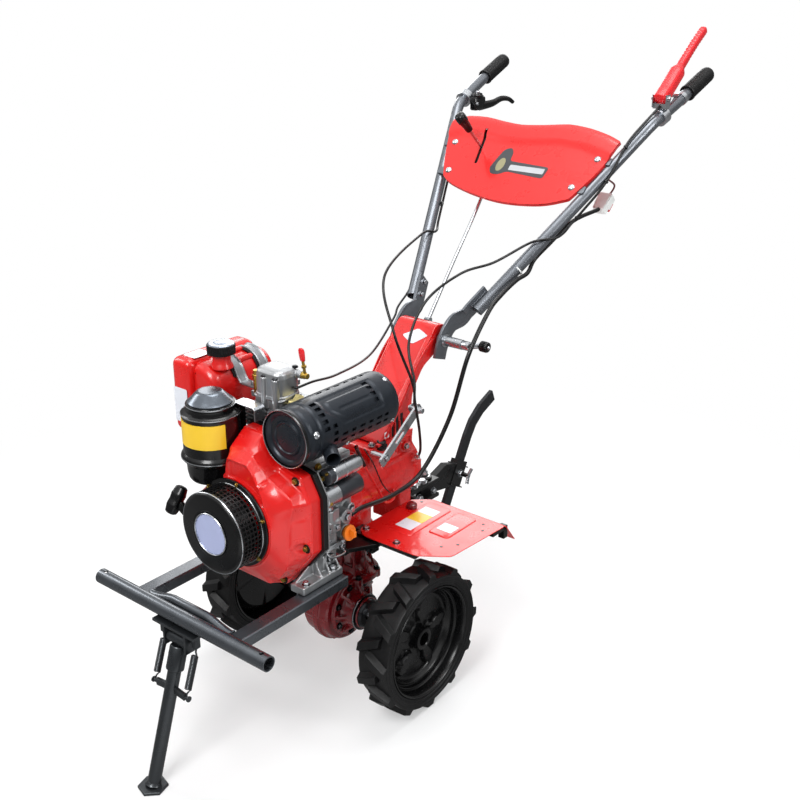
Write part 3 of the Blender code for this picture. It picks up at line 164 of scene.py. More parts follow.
# In reflections the paper is bright in one wide pool in front of the machine, which draws a highlight up
# each round upright side, and dim elsewhere.
pool = add_node(
    tree, "ShaderNodeVectorMath", {0: place.outputs["Object"], 1: (0.95, -1.17, 0.0)}, operation="DISTANCE"
)
pool = mapped(tree, pool.outputs["Value"], 1.25, 0.45, -0.74, 0.0, interpolation_type="SMOOTHSTEP")
dimmed = maths(tree, "MULTIPLY_ADD", path["Is Glossy Ray"], pool, 1.0)
glow = add_node(tree, "ShaderNodeEmission", {"Color": srgb("FFFFFF"), "Strength": dimmed})
both = add_node(tree, "ShaderNodeMixShader", {0: share, 1: matt.outputs[0], 2: glow.outputs[0]})
add_node(tree, "ShaderNodeOutputMaterial", {"Surface": both.outputs[0]})
sheet = bmesh.new()
bmesh.ops.create_grid(sheet, x_segments=2, y_segments=2, size=14)
floor_mesh = bpy.data.meshes.new("floor")
sheet.to_mesh(floor_mesh)
sheet.free()
floor_mesh.materials.append(paper)
floor = bpy.data.objects.new("floor", floor_mesh)
floor.location = (0, 0, -0.0005)
bpy.context.scene.collection.objects.link(floor)
floor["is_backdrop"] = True

# ---------------------------------------------------------------- wheels
# Transport wheels: hard rubber tyres with deep slanted bars on moulded black hubs, pushed on to the hexagon
# axle. The bars start on alternate shoulders; the hub's face is dished, with five pressed pads and two steps.

axle_low, axle_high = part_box("axle")
AXLE_Y, AXLE_Z = (axle_low[1] + axle_high[1]) / 2, (axle_low[2] + axle_high[2]) / 2
LEFT, RIGHT = 1, -1
SIDES = (("left", LEFT), ("right", RIGHT))


def lofted(rings, caps=True, closed=False):
    """A skin through rings of the same number of points, with caps or closed from last to first."""
    bm = bmesh.new()
    loops = [[bm.verts.new(p) for p in ring] for ring in rings]
    for first, second in zip(loops, loops[1:] + loops[:1] if closed else loops[1:]):
        for k in range(len(first)):
            bm.faces.new((first[k - 1], first[k], second[k], second[k - 1]))
    for loop in (loops[0], loops[-1]) if caps else ():
        bm.faces.new(loop)
    return bm


def turned(profile, origin, axis, steps=64, warp=None, closed=False):
    """A profile of (distance along the axis, radius) turned about the axis; warp may move each point."""
    origin, axis = Vector(origin), Vector(axis).normalized()
    across = axis.orthogonal().normalized()
    up = axis.cross(across)
    rings = []
    for along, radius in profile:
        ring = []
        for i in range(steps):
            turn = math.tau * i / steps
            a, r = warp(along, radius, turn) if warp else (along, radius)
            ring.append(origin + axis * a + (across * math.cos(turn) + up * math.sin(turn)) * r)
        rings.append(ring)
    bm = lofted(rings, caps=False, closed=closed)
    bmesh.ops.remove_doubles(bm, verts=bm.verts, dist=1e-6)
    return bm


def joined(*shapes):
    """Several shapes as one mesh."""
    whole = bmesh.new()
    for shape in shapes:
        part = bpy.data.meshes.new("part")
        shape.to_mesh(part)
        shape.free()
        whole.from_mesh(part)
        bpy.data.meshes.remove(part)
    return whole


def rounded(obj, width):
    """Every sharp edge of a piece gets a small round of this width."""
    bevel = obj.modifiers.new("rounded edges", "BEVEL")
    bevel.width = width
    bevel.segments = 2
    bevel.limit_method = "ANGLE"
    bevel.angle_limit = math.radians(38)
    return bevel


def made(name, shape, material, nodes=(), slot=None, body="frame", edge=0.0, cast=0.0, relax=3):
    """A shape, or a list of shapes, measured from the ground under the axle, as a piece riding on its body.
    Its edges are rounded by edge, or it is cast into one skin with soft fillets, cast being the grain of
    that skin. A cable or spring has no body here, because it is shared between two."""
    shape = joined(*shape) if isinstance(shape, list) else shape
    bmesh.ops.recalc_face_normals(shape, faces=shape.faces)
    bmesh.ops.translate(shape, vec=(0, AXLE_Y, 0), verts=shape.verts)
    mesh = bpy.data.meshes.new(name)
    shape.to_mesh(mesh)
    shape.free()
    mesh.shade_smooth()
    if not edge and not cast:
        mesh.set_sharp_from_angle(angle=math.radians(38))
    mesh.materials.append(material)
    obj = bpy.data.objects.new(name, mesh)
    bpy.context.scene.collection.objects.link(obj)
    if cast:
        skin = obj.modifiers.new("cast skin", "REMESH")
        skin.mode = "VOXEL"
        skin.voxel_size = cast
        skin.use_smooth_shade = True
        soft = obj.modifiers.new("fillets", "SMOOTH")
        soft.factor = 0.5
        soft.iterations = relax
    elif edge:
        rounded(obj, edge).harden_normals = True
    if body:
        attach(obj, body)
    if nodes:
        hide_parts(*nodes)
    return obj


def finish(
    name, colour, roughness, metallic=0.0, grain=0.003, relief=0.00003, spread=0.05, tint=0.06,
    coat=0.0, dark=0.0, shine=0.5
):
    """A finish whose gloss and shade wander a little over a fine relief; grain is the relief's size in
    metres, and dark is how strongly painted shade darkens the colour in corners, where ambient occlusion
    finds nearby surfaces."""
    material = bpy.data.materials.new(name)
    material.use_nodes = True
    tree = material.node_tree
    shader = tree.nodes["Principled BSDF"]
    place = add_node(tree, "ShaderNodeTexCoord")
    cloud = add_node(tree, "ShaderNodeTexNoise", {
        "Vector": place.outputs["Object"], "Scale": 28.0, "Detail": 4.0
    })
    fine = add_node(tree, "ShaderNodeTexNoise", {
        "Vector": place.outputs["Object"], "Scale": 1 / grain, "Detail": 2.0
    })
    gloss = mapped(tree, cloud.outputs["Fac"], 0.3, 0.7, roughness - spread, roughness + spread)
    base = srgb(colour)
    lower = (*[c * (1 - tint) for c in base[:3]], 1.0)
    upper = (*[min(1, c * (1 + tint)) for c in base[:3]], 1.0)
    shade = add_node(tree, "ShaderNodeMix", {0: cloud.outputs["Fac"], 6: lower, 7: upper}, data_type="RGBA")
    colour_out = shade.outputs[2]
    # Painted shade: where ambient occlusion finds surfaces close by, the colour is mixed towards a dark copy
    # of itself.
    if dark:
        corners = add_node(tree, "ShaderNodeAmbientOcclusion", {"Distance": 0.012}, samples=14)
        corner_shade = mapped(tree, corners.outputs["AO"], 0.25, 0.9, dark, 0.0)
        dull = (*[c * 0.22 for c in base[:3]], 1.0)
        colour_out = add_node(
            tree, "ShaderNodeMix", {0: corner_shade, 6: colour_out, 7: dull}, data_type="RGBA"
        ).outputs[2]
    bump = add_node(tree, "ShaderNodeBump", {
        "Height": fine.outputs["Fac"], "Strength": 1.0, "Distance": relief
    })
    tree.links.new(colour_out, shader.inputs["Base Color"])
    tree.links.new(gloss, shader.inputs["Roughness"])
    tree.links.new(bump.outputs[0], shader.inputs["Normal"])
    shader.inputs["Metallic"].default_value = metallic
    shader.inputs["Specular IOR Level"].default_value = shine
    if coat:
        shader.inputs["Coat Weight"].default_value = coat
        shader.inputs["Coat Roughness"].default_value = 0.06
    return material


# Moulded tyre rubber: near black and dull, with a fine pebble that catches a soft grey sheen on the bars.
tyre_rubber = finish(
    "moulded tyre rubber", "0C0C0D", 0.46, relief=0.00005, spread=0.08, tint=0.25,
    shine=0.32
)
# Glass-filled nylon: black with a soft moulded gloss, so the pads and steps draw clear highlights.
black_nylon = finish("moulded black nylon", "09090A", 0.25, tint=0.15, shine=0.42)
# Zinc plate: bright, a little blue, smeared in gloss by handling.
zinc = finish(
    "bright zinc plate", "C6C9CD", 0.27, metallic=1.0, grain=0.0012, relief=0.000003,
    tint=0.07
)

TYRE_BORE, LUG_TIP = 0.1278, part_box("tyre_left")[1][2] - AXLE_Z
SIDEWALL = [
    (-0.035, TYRE_BORE), (-0.0356, 0.1292), (-0.034, 0.131), (-0.0338, 0.1335), (-0.0362, 0.1352),
    (-0.0366, 0.1372), (-0.035, 0.1392), (-0.0352, 0.144), (-0.0372, 0.1462), (-0.0388, 0.1482),
    (-0.0392, 0.15), (-0.0384, 0.1516), (-0.035, 0.1522), (-0.026, 0.152), (-0.018, 0.1516)
]
carcass_profile = SIDEWALL + [(0.0, 0.1515)] + [(-a, r) for a, r in reversed(SIDEWALL)]


def lug(turn, side):
    """One bar of the tread, from the foot on its shoulder over towards the middle of the tread."""
    stations = []
    for share in (0.0, 0.06, 0.35, 0.68, 1.0):
        x = side * (0.0378 - share * 0.052)
        lean = math.tan(math.radians(24)) * share * 0.055
        foot = 0.1485 if share < 0.05 else 0.146
        tip = LUG_TIP - (0.0015 if share in (0.0, 1.0) else 0.0)
        ring = []
        for radius, wide in ((foot, 0.0185), (foot * 0.55 + tip * 0.45, 0.0125), (tip, 0.0088)):
            for edge in (-wide, wide):
                angle = turn + (lean + edge) / radius
                ring.append((x, radius * math.sin(angle), radius * math.cos(angle)))
        stations.append([ring[k] for k in (0, 1, 3, 5, 4, 2)])
    return lofted(stations)


def pads(along, radius, turn):
    """Five long pads pressed outward on the flat of the hub's face."""
    if along < -0.0045 and 0.03 < radius < 0.097:
        nearest = turn * 5 / math.tau % 1 - 0.5
        sideways = nearest * math.tau / 5 * radius / (0.0105 + 0.09 * (radius - 0.03))
        away = math.hypot((radius - 0.0645) / 0.029, sideways)
        lift = max(0.0, min(1.0, (1.16 - away) / 0.26))
        along += 0.011 * lift * lift * (3 - 2 * lift)
    return along, radius


RIM_FACE = [
    (0.034, 0.1275), (0.0362, 0.1262), (0.0366, 0.1245), (0.0352, 0.1225), (0.033, 0.1212), (0.024, 0.12),
    (0.0135, 0.1188), (0.012, 0.1172), (0.0132, 0.1158), (0.0142, 0.114), (0.0128, 0.1122),
    (0.0052, 0.1108), (0.004, 0.1092), (0.006, 0.1072), (0.0068, 0.105), (0.0052, 0.103), (-0.002, 0.1012),
    (-0.0052, 0.0985)
]
RIM_FACE += [(-0.006, 0.096 - i * 0.003) for i in range(22)]
RIM_FACE += [
    (-0.005, 0.0292), (-0.001, 0.0262), (0.012, 0.025), (0.017, 0.024), (0.018, 0.0225), (0.018, 0.0168),
    (0.0165, 0.015)
]
rim_profile = [(-0.038, 0.1275)] + RIM_FACE + [
    (-0.106, 0.015), (-0.106, 0.0235), (-0.012, 0.0235), (-0.011, 0.028), (-0.011, 0.096), (-0.002, 0.106),
    (0.006, 0.115), (0.016, 0.1195), (0.01, 0.1235), (-0.036, 0.1235)
]
for name, side in SIDES:
    middle = (side * 0.236, 0, AXLE_Z)
    bars = []
    for i in range(24):
        bar = lug(math.pi + i * math.pi / 12, side if i % 2 == 0 else -side)
        bmesh.ops.translate(bar, vec=middle, verts=bar.verts)
        bars.append(bar)
    made(
        f"lugged_tyre_{name}", [turned(carcass_profile, middle, (1, 0, 0), 96, closed=True), *bars],
        tyre_rubber, [f"tyre_{name}"], slot="tyre_rubber", body="wheels", edge=0.0022
    )
    made(
        f"dished_hub_{name}", turned(rim_profile, middle, (side, 0, 0), 180, warp=pads, closed=True),
        black_nylon, [f"rim_{name}"], slot="black_paint", body="wheels"
    )


def dressed(node, material, edge):
    """A CAD node that is right as it is gets its finish, and rounded edges."""
    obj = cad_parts[node]
    obj.data.materials.clear()
    obj.data.materials.append(material)
    weld = obj.modifiers.new("weld", "WELD")
    weld.merge_threshold = 1e-5
    rounded(obj, edge)


dressed("axle", zinc, 0.0006)

# ---------------------------------------------------------------- travel gearcase
# The chain case under the gearbox: two cast-iron halves bolted round their rim, a neck up to the gearbox
# and a pressed steel seal cup on each side of the axle. Brushed with one coat of dark red.

# Enamel over sand-cast iron: deep wine red with the casting's pebble showing through its gloss.
dark_red_iron = finish(
    "dark red enamel on cast iron", "740E16", 0.26, grain=0.0035, relief=0.00008,
    spread=0.06, tint=0.12, coat=0.5, dark=0.5
)
# Black zinc: small fasteners, dark.
black_zinc = finish(
    "blackened steel fasteners", "303134", 0.3, metallic=0.9, grain=0.001, relief=0.00002,
    spread=0.08
)


def rod(start, end, radius, steps=32, end_radius=None):
    """A round bar, or a taper."""
    start, end = Vector(start), Vector(end)
    length = (end - start).length
    last = radius if end_radius is None else end_radius
    return turned([(0, 0), (0, radius), (length, last), (length, 0)], start, end - start, steps)


def block(one, other):
    """A box between two opposite corners."""
    low, high = Vector(map(min, one, other)), Vector(map(max, one, other))
    bm = bmesh.new()
    bmesh.ops.create_cube(bm, size=1)
    bmesh.ops.scale(bm, vec=high - low, verts=bm.verts)
    bmesh.ops.translate(bm, vec=(low + high) / 2, verts=bm.verts)
    return bm


def bolt(at, direction, flats=0.01, head=0.005, washer=0.0, steps=6):
    """A hexagon bolt's head, with its chamfer and washer, that stands on a face."""
    half = flats / 2 / math.cos(math.pi / steps)
    profile = [(-0.001, 0)]
    if washer:
        profile += [(-0.001, washer), (0.0012, washer), (0.0012, half)]
    else:
        profile += [(-0.001, half)]
    base = 0.0012 if washer else 0.0
    shapes = [turned(profile + [
        (base + head * 0.8, half), (base + head, half * 0.84), (base + head, half * 0.3),
        (base + head - 0.0004, half * 0.3), (base + head - 0.0004, 0)
    ], at, direction, steps)]
    if washer:
        shapes.append(turned([
            (-0.001, 0), (-0.001, washer), (0.0012, washer), (0.0012, 0)
        ], at, direction, 24))
    return joined(*shapes)


# The chain runs nearer the machine's left, so the case is deeper on that side of the axle's middle.
case_profile = [
    (-0.092, 0), (-0.092, 0.036), (-0.082, 0.037), (-0.06, 0.039), (-0.044, 0.043), (-0.04, 0.048),
    (-0.0395, 0.06), (-0.0385, 0.064), (-0.033, 0.065), (-0.0325, 0.075), (-0.025, 0.08), (0.003, 0.0825),
    (0.0035, 0.0875), (0.0185, 0.0875), (0.019, 0.0825), (0.037, 0.08), (0.0425, 0.076), (0.043, 0.065),
    (0.05, 0.064), (0.0507, 0.06), (0.051, 0.047), (0.058, 0.043), (0.068, 0.04), (0.082, 0.0375),
    (0.092, 0.036), (0.092, 0)
]
case_shapes = [
    turned(case_profile, (0, 0, AXLE_Z), (1, 0, 0), 96),
    rod((0.004, 0.018, AXLE_Z + 0.03), (0.002, 0.044, 0.219), 0.048, 48, 0.06),
    turned([
        (0, 0), (0, 0.064), (0.002, 0.067), (0.012, 0.067), (0.014, 0.064), (0.024, 0.048), (0.04, 0.039),
        (0.104, 0.037), (0.1135, 0.037), (0.1135, 0)
    ], (0, 0.046, 0.216), (0, 0, 1), 72),
]
for i in range(10):
    turn = math.tau * i / 10
    out = Vector((math.cos(turn), math.sin(turn), 0))
    case_shapes.append(rod(
        Vector((0, 0.046, 0.226)) + out * 0.058, Vector((0, 0.046, 0.3)) + out * 0.037, 0.0032, 12
    ))
for i in range(6):
    turn = math.tau * (i + 0.5) / 6
    out = Vector((math.cos(turn), math.sin(turn), 0))
    case_shapes.append(rod(
        Vector((0, 0.046, 0.212)) + out * 0.062, Vector((0, 0.046, 0.231)) + out * 0.062, 0.009, 20
    ))
case_bolts = []
for i in range(7):
    turn = math.radians(-14 + 360 / 7 * i)
    out = Vector((0, math.sin(turn), math.cos(turn)))
    for side, face, inner in ((LEFT, 0.0512, 0.03), (RIGHT, 0.0397, 0.02)):
        foot = Vector((side * face, 0, AXLE_Z)) + out * 0.0565
        case_shapes.append(rod(foot - Vector((side * (face - inner), 0, 0)), foot, 0.009, 24))
        case_bolts.append(bolt(foot, (side, 0, 0), 0.01, 0.0055, 0.008))
    beside = Vector((0, math.sin(turn + 0.45), math.cos(turn + 0.45)))
    case_shapes.append(rod(
        Vector((0.07, 0, AXLE_Z)) + beside * 0.0385, Vector((0.049, 0, AXLE_Z)) + beside * 0.06, 0.004, 12
    ))
    case_shapes.append(rod(
        Vector((0.036, 0, AXLE_Z)) + beside * 0.079, Vector((-0.024, 0, AXLE_Z)) + beside * 0.079, 0.0045,
        12
    ))
for i in range(6):
    turn = math.tau * (i + 0.5) / 6
    case_bolts.append(bolt(Vector((
        0.062 * math.cos(turn), 0.046 + 0.062 * math.sin(turn), 0.2312
    )), (0, 0, 1), 0.01, 0.0055, 0.008))
made("cast_travel_case", case_shapes, dark_red_iron, ["travel_gearcase"], cast=0.0018, relax=2)
made("case_rim_bolts", case_bolts, black_zinc)
cups = []
for _, side in SIDES:
    cups.append(turned([
        (0.0, 0.0155), (0.0, 0.03), (0.004, 0.0335), (0.011, 0.0345), (0.0125, 0.04), (0.014, 0.0419),
        (0.018, 0.0419), (0.0185, 0.036), (0.026, 0.0355), (0.026, 0.0155)
    ], (side * 0.0995, 0, AXLE_Z), (-side, 0, 0), 64, closed=True))
made("steel_seal_cups", cups, black_zinc)
# Painted highlight: a thin bright zinc ring on each dark cup's rim stands in for the glint of light along its
# edge.
made("seal_cup_highlight_rings", [
    turned(
        [(-0.0008, 0.04), (-0.0008, 0.0422), (0.0012, 0.0422), (0.0012, 0.04)], (side * 0.0846, 0, AXLE_Z),
        (side, 0, 0), 64, closed=True
    )
    for _, side in SIDES
], zinc)

# ---------------------------------------------------------------- front frame
# Two channel rails, a plain bumper tube and a bent brace, arc-welded together and painted with the rest of
# the frame in grey metallic; the drilled ends of the tube take the pins of front attachments.

# Grey metallic paint on drawn tube: mid grey with a fine aluminium sparkle.
grey_metallic = finish(
    "grey metallic frame paint", "5A5E63", 0.28, metallic=0.8, relief=0.000006, tint=0.08,
    coat=0.25, dark=0.35
)


def swept(points, section, side, bore=None):
    """A section of (across, up) points carried along a path; side is the section's first axis."""
    points, side = [Vector(p) for p in points], Vector(side)
    outer, inner = [], []
    for i, point in enumerate(points):
        before, after = points[max(i - 1, 0)], points[min(i + 1, len(points) - 1)]
        along = ((after - point).normalized() + (point - before).normalized()).normalized()
        width = (side - along * side.dot(along)).normalized()
        up = along.cross(width)
        outer.append([point + width * a + up * b for a, b in section])
        inner.append([point + width * a + up * b for a, b in bore or ()])
    return lofted(outer + inner[::-1], caps=False, closed=True) if bore else lofted(outer)


def circle(radius, steps=24, height=None):
    """Points on a circle, or on an oval of another height."""
    turns = [math.tau * i / steps for i in range(steps)]
    return [(radius * math.cos(t), (height or radius) * math.sin(t)) for t in turns]


def oblong(half_width, half_height):
    """A rectangle about the middle."""
    return [
        (-half_width, -half_height), (half_width, -half_height), (half_width, half_height),
        (-half_width, half_height)
    ]


def weld_bead(points, radius=0.0022):
    """A run of weld metal: a bead whose ripples come every 3 mm."""
    line = []
    points = [Vector(p) for p in points]
    for a, b in zip(points, points[1:]):
        steps = max(2, round((b - a).length / 0.0015))
        line += [a.lerp(b, i / steps) for i in range(steps)]
    along = (points[-1] - points[0]).normalized()
    width = along.orthogonal().normalized()
    up = along.cross(width)
    rings = []
    for i, point in enumerate(line + [points[-1]]):
        size = radius * (1.0 if i % 2 else 0.8) * (0.5 if i in (0, len(line)) else 1)
        rings.append([point + (width * a + up * b) * size for a, b in circle(1, 8)])
    return lofted(rings)


for node in ("rail_left", "rail_right"):
    dressed(node, grey_metallic, 0.0012)
bumper_low, bumper_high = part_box("bumper_tube")
BUMPER_Y, BUMPER_Z = (bumper_low[1] + bumper_high[1]) / 2 - AXLE_Y, (bumper_low[2] + bumper_high[2]) / 2
bumper_half = bumper_high[0]
tube = swept([
    (-bumper_half, BUMPER_Y, BUMPER_Z), (bumper_half, BUMPER_Y, BUMPER_Z)
], circle(0.0155, 48), (0, 1, 0), bore=circle(0.013, 48))
bumper = made("drilled_bumper_tube", tube, grey_metallic, ["bumper_tube"])
for side in (LEFT, RIGHT):
    drill = bpy.data.objects.new("drill", bpy.data.meshes.new("drill"))
    hole = rod(
        (side * (bumper_half - 0.0175), BUMPER_Y + AXLE_Y, BUMPER_Z),
        (side * (bumper_half - 0.0175), BUMPER_Y + AXLE_Y, BUMPER_Z + 0.03), 0.0045, 24
    )
    hole.to_mesh(drill.data)
    hole.free()
    bpy.context.scene.collection.objects.link(drill)
    cut = bumper.modifiers.new("pin hole", "BOOLEAN")
    cut.operation, cut.solver, cut.object = "DIFFERENCE", "EXACT", drill
    bpy.context.view_layer.update()
    bpy.context.view_layer.objects.active = bumper
    with bpy.context.temp_override(object=bumper, active_object=bumper):
        bpy.ops.object.modifier_apply(modifier=cut.name)
    bpy.data.objects.remove(drill, do_unlink=True)
bumper.data.shade_smooth()
bumper.data.set_sharp_from_angle(angle=math.radians(38))
BRACE_PATH = [
    (-0.1175, 0.336), (-0.106, 0.336), (-0.085, 0.3405), (-0.062, 0.347), (-0.048, 0.3495), (0.048, 0.3495),
    (0.062, 0.347), (0.085, 0.3405), (0.106, 0.336), (0.1175, 0.336)
]
made("bent_brace_bar", swept([
    (x, BUMPER_Y + 0.0265, z) for x, z in BRACE_PATH
], circle(0.01, 28), (0, 1, 0)), grey_metallic, ["bumper_brace"])
beads = []
for side in (LEFT, RIGHT):
    x = side * 0.135
    for z, y in ((0.3435, BUMPER_Y + 0.0162), (0.318, BUMPER_Y + 0.016)):
        beads.append(weld_bead([(x - 0.016, y, z), (x + 0.016, y, z)], 0.0026))
    for off in (-0.0175, 0.0175):
        beads.append(weld_bead([
            (x + off, BUMPER_Y + 0.0165, 0.321), (x + off, BUMPER_Y + 0.0165, 0.341)
        ], 0.0022))
    beads.append(weld_bead([
        (side * 0.1165, BUMPER_Y + 0.018, 0.343), (side * 0.1165, BUMPER_Y + 0.036, 0.343)
    ], 0.0024))
made("frame_weld_beads", beads, grey_metallic)

# ---------------------------------------------------------------- front stand
# A round leg that folds about a pin between two cheeks under the bumper. Two tight coil springs, hooked over
# a cross pin, hold it down or up past its centre; the foot is a hexagon of plate, welded on.

# The stand is painted darker than the frame, with the same low metallic gloss.
stand_paint = finish(
    "dark grey stand paint", "3A3D40", 0.3, metallic=0.7, relief=0.000006, tint=0.1, coat=0.2,
    dark=0.35
)
dressed("stand_bracket", stand_paint, 0.0008)
PIVOT_Y, PIVOT_Z, FOOT_Y = -0.45, 0.295, -0.548


def on_leg(z):
    """A point on the middle line of the leg at a height."""
    return Vector((0, PIVOT_Y + (FOOT_Y - PIVOT_Y) * (PIVOT_Z - z) / PIVOT_Z, z))


hook_bar = on_leg(0.196)
leg_shapes = [
    turned([(0, 0), (0, 0.0305), (0.0045, 0.0305), (0.006, 0.029), (0.006, 0)], (0, FOOT_Y, 0), (0, 0, 1), 6),
    turned([
        (0, 0), (0, 0.0172), (0.003, 0.015), (0.006, 0.0138), (0.006, 0)
    ], on_leg(0.0058), on_leg(0.2) - on_leg(0.0), 40),
    rod(on_leg(0.006), on_leg(0.27), 0.0135, 40),
    turned([
        (0, 0), (0, 0.0165), (0.0015, 0.018), (0.048, 0.018), (0.0505, 0.0165), (0.0505, 0)
    ], on_leg(0.235), on_leg(0.285) - on_leg(0.235), 40),
    rod((-0.0265, PIVOT_Y, PIVOT_Z), (0.0265, PIVOT_Y, PIVOT_Z), 0.0135, 40),
    rod(hook_bar - Vector((0.052, 0, 0)), hook_bar + Vector((0.052, 0, 0)), 0.004, 20),
]
for side in (LEFT, RIGHT):
    outward = Vector((side, 0, 0))
    leg_shapes.append(rod(hook_bar + outward * 0.0505, hook_bar + outward * 0.0535, 0.0062, 24))
    bead_at = hook_bar + Vector((side * 0.015, 0.003, 0))
    leg_shapes.append(weld_bead([bead_at + Vector((0, 0, 0.004)), bead_at - Vector((0, 0, 0.004))], 0.003))
    leg_shapes.append(swept([
        hook_bar + Vector((side * 0.012, 0, 0.003)), hook_bar + Vector((side * 0.03, 0.0, 0.0015)),
        hook_bar + Vector((side * 0.042, 0, 0))
    ], oblong(0.0035, 0.0075), (0, 1, 0)))
made("stand_leg_and_foot", leg_shapes, stand_paint, ["stand_leg"], body="stand", edge=0.0006)

for name, side in SIDES:
    top = Vector((side * 0.046, PIVOT_Y, PIVOT_Z - 0.004))
    low = Vector((side * 0.046, hook_bar.y, hook_bar.z + 0.0045))
    along = (low - top).normalized()
    across = Vector((1, 0, 0))
    up = along.cross(across)
    coil = [top, top + along * 0.006, top + along * 0.01 + across * 0.003]
    length = (low - top).length
    turns, first, last = 24, 0.014, length - 0.014
    for i in range(turns * 14 + 1):
        turn = math.tau * i / 14
        coil.append(
            top + along * (first + (last - first) * i / (turns * 14))
            + (across * math.cos(turn) + up * math.sin(turn)) * 0.0056
        )
    coil += [low - along * 0.01 + across * 0.003, low - along * 0.006, low]
    wire = swept(coil, circle(0.00185, 8), (0.31, 0.62, 0.72))
    spring = made(f"stand_coil_spring_{name}", wire, stand_paint, [f"stand_spring_{name}"], body=None)
    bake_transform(spring)

# ---------------------------------------------------------------- crankcase
# Die-cast aluminium block with cooling ribs, standing on two feet on the rails. Its front plate and gasket
# carry the blower housing; the injection pump, governor link, oil filler and drain are on the left side.

# Die-cast aluminium: pale grey and satin, a fine sand in the relief and painted shade in every corner.
cast_aluminium = finish(
    "die-cast aluminium", "A9ABAD", 0.42, metallic=0.85, grain=0.0018, relief=0.00012,
    spread=0.1, tint=0.14, dark=0.75
)
# Fibre gasket and painted plate edge: flat black.
black_plate = finish("black painted plate", "0F0F10", 0.3, tint=0.2, shine=0.4)
# Moulded polypropylene filler cap: strong orange, waxy.
orange_plastic = finish(
    "moulded orange filler cap", "F07A12", 0.4, grain=0.001, coat=0.1, dark=0.3
)
# Yellow chromate on steel: brassy, with a patchy rainbow sheen.
yellow_zinc = finish(
    "yellow chromate on steel", "B8994A", 0.33, metallic=0.95, grain=0.001, relief=0.00002,
    spread=0.1, tint=0.3
)


def on_plane(plane, a, b, level):
    """The point a, b in one of the machine's upright or flat planes, at a level along the third axis."""
    known = dict(zip(plane, (a, b)))
    return [known.get(axis, level) for axis in "XYZ"]


def extruded(outline, low, high, plane="XZ"):
    """An outline in two axes carried along the third from low to high."""
    return lofted([[on_plane(plane, a, b, level) for a, b in outline] for level in (low, high)])


HOUSING_OUTLINE = [
    (0.07, 0.338), (0.148, 0.435), (0.148, 0.548), (0.122, 0.594), (0.075, 0.604), (0.04, 0.64),
    (0.02, 0.662), (-0.034, 0.662), (-0.044, 0.53), (-0.12, 0.526), (-0.152, 0.5), (-0.155, 0.44),
    (-0.115, 0.372), (-0.06, 0.338)
]
plate_outline = [
    (x + (
        0.0075 if x > 0.1 else 0.003 if x > 0.06 and z < 0.4 else -0.0055 if x < 0 else 0.0
    ), z + (0.0045 if z > 0.5 and x < 0 else 0))
    for x, z in HOUSING_OUTLINE
]
made("front_gasket_plate", extruded(plate_outline, -0.1998, -0.188), black_plate, edge=0.001)
made("machined_plate_edge", extruded([
    (x + (0.0012 if x > 0.06 else 0.0), z) for x, z in plate_outline
], -0.1879, -0.1846), cast_aluminium, edge=0.0008)
case = [
    extruded([
        (-0.189, 0.344), (-0.129, 0.344), (-0.129, 0.3745), (-0.0715, 0.438), (-0.0715, 0.5975),
        (-0.189, 0.5975)
    ], -0.1135, 0.1135, "YZ"),
    block((-0.112, -0.0725, 0.446), (0.112, -0.0704, 0.59)),
]
for side in (LEFT, RIGHT):
    for y in (-0.1865, -0.162, -0.134):
        case.append(extruded([
            (side * 0.11, 0.358), (side * 0.1355, 0.358), (side * 0.1355, 0.36), (side * 0.1175, 0.388),
            (side * 0.11, 0.388)
        ], y - 0.0026, y + 0.0026))
    case.append(extruded([
        (side * 0.1005, 0.3434), (side * 0.1376, 0.3434), (side * 0.1376, 0.3606), (side * 0.1005, 0.3606)
    ], -0.2445, -0.1285))
    case.append(extruded([(-0.244, 0.36), (-0.189, 0.36), (-0.189, 0.39)], side * 0.106, side * 0.111, "YZ"))
for i in range(5):
    z = 0.512 + i * 0.0175
    case.append(block((-0.1175, -0.185, z - 0.002), (0.1175, -0.076, z + 0.002)))
case += [
    rod((0.108, -0.105, 0.428), (0.128, -0.105, 0.428), 0.0165, 32),
    rod((0.108, -0.116, 0.4), (0.124, -0.116, 0.4), 0.01, 24),
    rod((0.108, -0.152, 0.388), (0.1235, -0.152, 0.388), 0.012, 24),
    rod((0.108, -0.09, 0.476), (0.13, -0.09, 0.476), 0.0125, 24),
    block((0.11, -0.181, 0.448), (0.1405, -0.1585, 0.4735)),
    block((0.11, -0.156, 0.448), (0.1405, -0.1335, 0.4735)),
    block((0.11, -0.181, 0.476), (0.137, -0.1335, 0.499)),
    block((0.11, -0.178, 0.418), (0.133, -0.14, 0.4455)),
    rod((0.127, -0.155, 0.47), (0.127, -0.155, 0.497), 0.0125, 32),
    rod((0.11, -0.113, 0.47), (0.139, -0.113, 0.47), 0.0155, 32),
    rod((0.13, -0.13, 0.47), (0.13, -0.096, 0.47), 0.0065, 20),
    block((0.112, -0.186, 0.404), (0.122, -0.118, 0.411)),
    block((0.112, -0.15, 0.366), (0.121, -0.128, 0.405)),
    extruded([(-0.186, 0.358), (-0.15, 0.358), (-0.15, 0.376), (-0.186, 0.416)], 0.112, 0.119, "YZ"),
    rod((-0.108, -0.13, 0.45), (-0.1172, -0.13, 0.45), 0.045, 48),
    rod((-0.108, -0.095, 0.56), (-0.1172, -0.095, 0.56), 0.016, 32),
]
made("ribbed_crankcase", case, cast_aluminium, ["crankcase"], cast=0.0019)
made("oil_filler_cap", [
    rod((0.1275, -0.105, 0.428), (0.1335, -0.105, 0.4285), 0.013, 32),
    turned([
        (0, 0), (0, 0.0165), (0.003, 0.0172), (0.007, 0.0168), (0.0075, 0.011), (0.0075, 0)
    ], (0.133, -0.105, 0.4285), (1, 0, 0.11), 40),
    extruded([(0.1385, 0.4195), (0.1535, 0.423), (0.154, 0.436), (0.1385, 0.4385)], -0.1085, -0.1015),
], orange_plastic, edge=0.0012)
